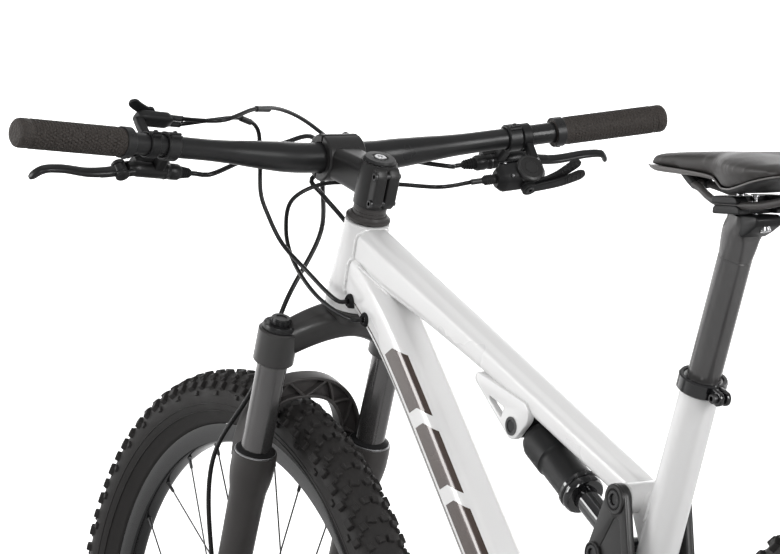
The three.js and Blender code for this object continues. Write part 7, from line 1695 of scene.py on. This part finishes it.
# Crankset: a satin alloy arm on each end of the axle, with a four-armed spider on the right one.
# Four bolts hold the chainring on it.
DOWN = vec(math.cos(CRANK_TURN), 0, -math.sin(CRANK_TURN))


def arm_of(hand, start):
    middle, toe = start + 6.5, BRACKET + DOWN * (CRANK_LENGTH * hand)
    path = [beside(BRACKET, -hand * middle).lerp(beside(toe, -hand * (middle + 6)), s) for s in np.linspace(0, 1, 41)]
    arm = sweep(path, lambda s: octagon(6, lerp(14, 11, s) * (1 - 0.1 * math.sin(math.pi * s)), 5, 2.6), LEFT)
    boss = rod(17, *span(BRACKET, -hand * start, -hand * (start + 13)), 56, edge=2)
    eye = ring(13, 6.9, *span(toe, -hand * (start + 6), -hand * (start + 19)), 44, edge=1.6)
    return [arm, boss, eye], toe


right, toe_right = arm_of(1, CRANK_RIGHT)
spider = []
spider_tips = [polar(BRACKET, 55, -(CRANK_TURN + math.tau / 8 + i / 4 * math.tau), 0) for i in range(4)]
for tip in spider_tips:
    spider.append(plate(strap([spot(BRACKET, 15), spot(tip, 8.6)]), -63, -53.6, edge=1.6))
    spider.append(rod(4.6, *span(tip, -53.5, -51), edge=0.4))
make("crank_arms_spider", [*right, *spider, rod(14.9, *span(BRACKET, -63, 64), 48, edge=1)], ALLOY, "crank",
     "crankset", angle=34)
big_ring = teeth_ring(BRACKET, RING_TEETH, phases[3], 50, 0.9, -LINE)
make("chainring_teeth", [big_ring, ring(66, 62, *span(BRACKET, -53.6, -50.4), 96, edge=0.6)], ALLOY, "crank",
     angle=30)
left_arm, toe_left = arm_of(-1, CRANK_LEFT)
make("crank_arm_near", left_arm, ALLOY, "crank", "crank_arm_left", angle=34)
ring_bolts = [bolt(beside(tip, -63), -LEFT, 4.6, 1.6, 2.2) for tip in spider_tips]
ring_bolts.append(turned([(0, 73.6), (10, 73.6), (11, 74.4), (11, 76), (9.6, 77), (6, 77), (5.2, 75), (0, 75)],
                         BRACKET, -LEFT, 44))
ring_bolts.append(turned([(0, 64), (12, 64), (12, 69.2), (10, 70), (7, 70), (6, 68.4), (0, 68.4)], BRACKET, LEFT, 44))
make("crank_bolts", ring_bolts, BOLT, "crank", angle=28)


# Pedals: a matt alloy platform with steel grip pins on both faces, turning on an axle that is screwed into the
# arm's end.
def pedal(hand, start, toe, name):
    face = start + 19

    def at(out, dx=0.0, dz=0.0):
        return vec(toe.x + dx, -hand * (face + out), toe.z + dz)

    y0, y1 = sorted((at(20).y, at(108).y))
    outline = [(toe.x + x, toe.z + z) for x, z in box(46, 8, 4)]
    parts = []
    for a, b in ((20, 29), (99, 108)):
        near, far = sorted((at(a).y, at(b).y))
        parts.append(plate(outline, near, far, edge=1.6))
    for middle, half in ((41.5, 4.5), (-41.5, 4.5), (0, 12)):
        bar = [(toe.x + middle + x, toe.z + z) for x, z in box(half, 7.8, 2.4)]
        parts.append(plate(bar, y0 + 4, y1 - 4, edge=1.2))
    parts.append(rod(6.2, at(-9), at(22), 32, edge=0.8))
    make(f"pedal_body_{name}", parts, FORGED, f"pedal_{name}", f"pedal_{name}", angle=34)
    pins = [rod(1.6, at(out, dx, high * 7.2), at(out, dx, high * 8.25), 12, edge=0.2) for dx in (-41.5, -9, 9, 41.5)
            for out in (28, 48, 80, 100) for high in (1, -1)]
    make(f"pedal_pins_{name}", pins, STEEL, f"pedal_{name}")


pedal(1, CRANK_RIGHT, toe_right, "right")
pedal(-1, CRANK_LEFT, toe_left, "left")


# Rear derailleur: a black alloy body hung below the dropout, with a cage of two plates.
# The cage holds the two pulleys that keep the chain tight.
MECH_TOP = REAR_AXLE + vec(6, 0, -20)
mid_mech = MECH_TOP.lerp(FOOT_OF_MECH, 0.5)
body = [plate(strap([spot(MECH_TOP, 9), spot(mid_mech, 9)]), -88, -84.6, edge=1),
        plate(strap([spot(mid_mech, 6), spot(FOOT_OF_MECH, 12)]), -88, -80, edge=1.6),
        plate(strap([spot(mid_mech, 4), spot(FOOT_OF_MECH, 10.6)]), -80.4, -60.6, edge=2.4),
        rod(4, *span(FOOT_OF_MECH, -56, -62.6)), rod(4, *span(MECH_TOP, -74.9, -86))]
make("mech_body", body, ALLOY, "chainstays", "derailleur_body", angle=36)
make("mech_screws", [bolt(beside(MECH_TOP, -87.8), -LEFT, 6, 2, 2.6),
                     bolt(beside(FOOT_OF_MECH, -87.8), -LEFT, 5, 1.6, 2.2),
                     bolt(beside(mid_mech, -87.8), -LEFT, 3.4, 1.4, 1.5)], BOLT, "chainstays")
gap_line = strap([(lerp(GUIDE.x, TENSION.x, 0.3), lerp(GUIDE.z, TENSION.z, 0.3), 4), (lerp(GUIDE.x, TENSION.x, 0.66),
        lerp(GUIDE.z, TENSION.z, 0.66), 3.4)])
cage = [plate(strap([spot(GUIDE, 10), spot(TENSION, 8)]), -48, -46.2, [gap_line], edge=0.4),
        plate(strap([spot(GUIDE, 10), spot(TENSION, 8), spot(FOOT_OF_MECH, 10)]), -57.8, -56,
              [circle(FOOT_OF_MECH.x, FOOT_OF_MECH.z, 4.3, 28), gap_line], edge=0.4)]
cage += [rod(2.95, *span(p, -56.9, -47.1), 24) for p in (GUIDE, TENSION)]
make("mech_cage", cage, ALLOY, "derailleur_cage", "derailleur_cage", angle=36)
make("mech_cage_screws", [bolt(beside(p, side), LEFT * sign, 3.4, 0.9, 1.5) for p in (GUIDE, TENSION)
                          for side, sign in ((-57.7, -1), (-46.3, 1))], BOLT, "derailleur_cage")
for name, centre, phase in (("upper_pulley", GUIDE, phases[1]), ("lower_pulley", TENSION, phases[2])):
    wheel_parts = [teeth_ring(centre, PULLEY_TEETH, phase, 5, 0.9, -LINE),
                   ring(6, 3.2, *span(centre, -LINE - 3.4, -LINE + 3.4), 32, edge=0.4)]
    make(f"{name}_wheel", wheel_parts, PLASTIC, name, name, angle=34)
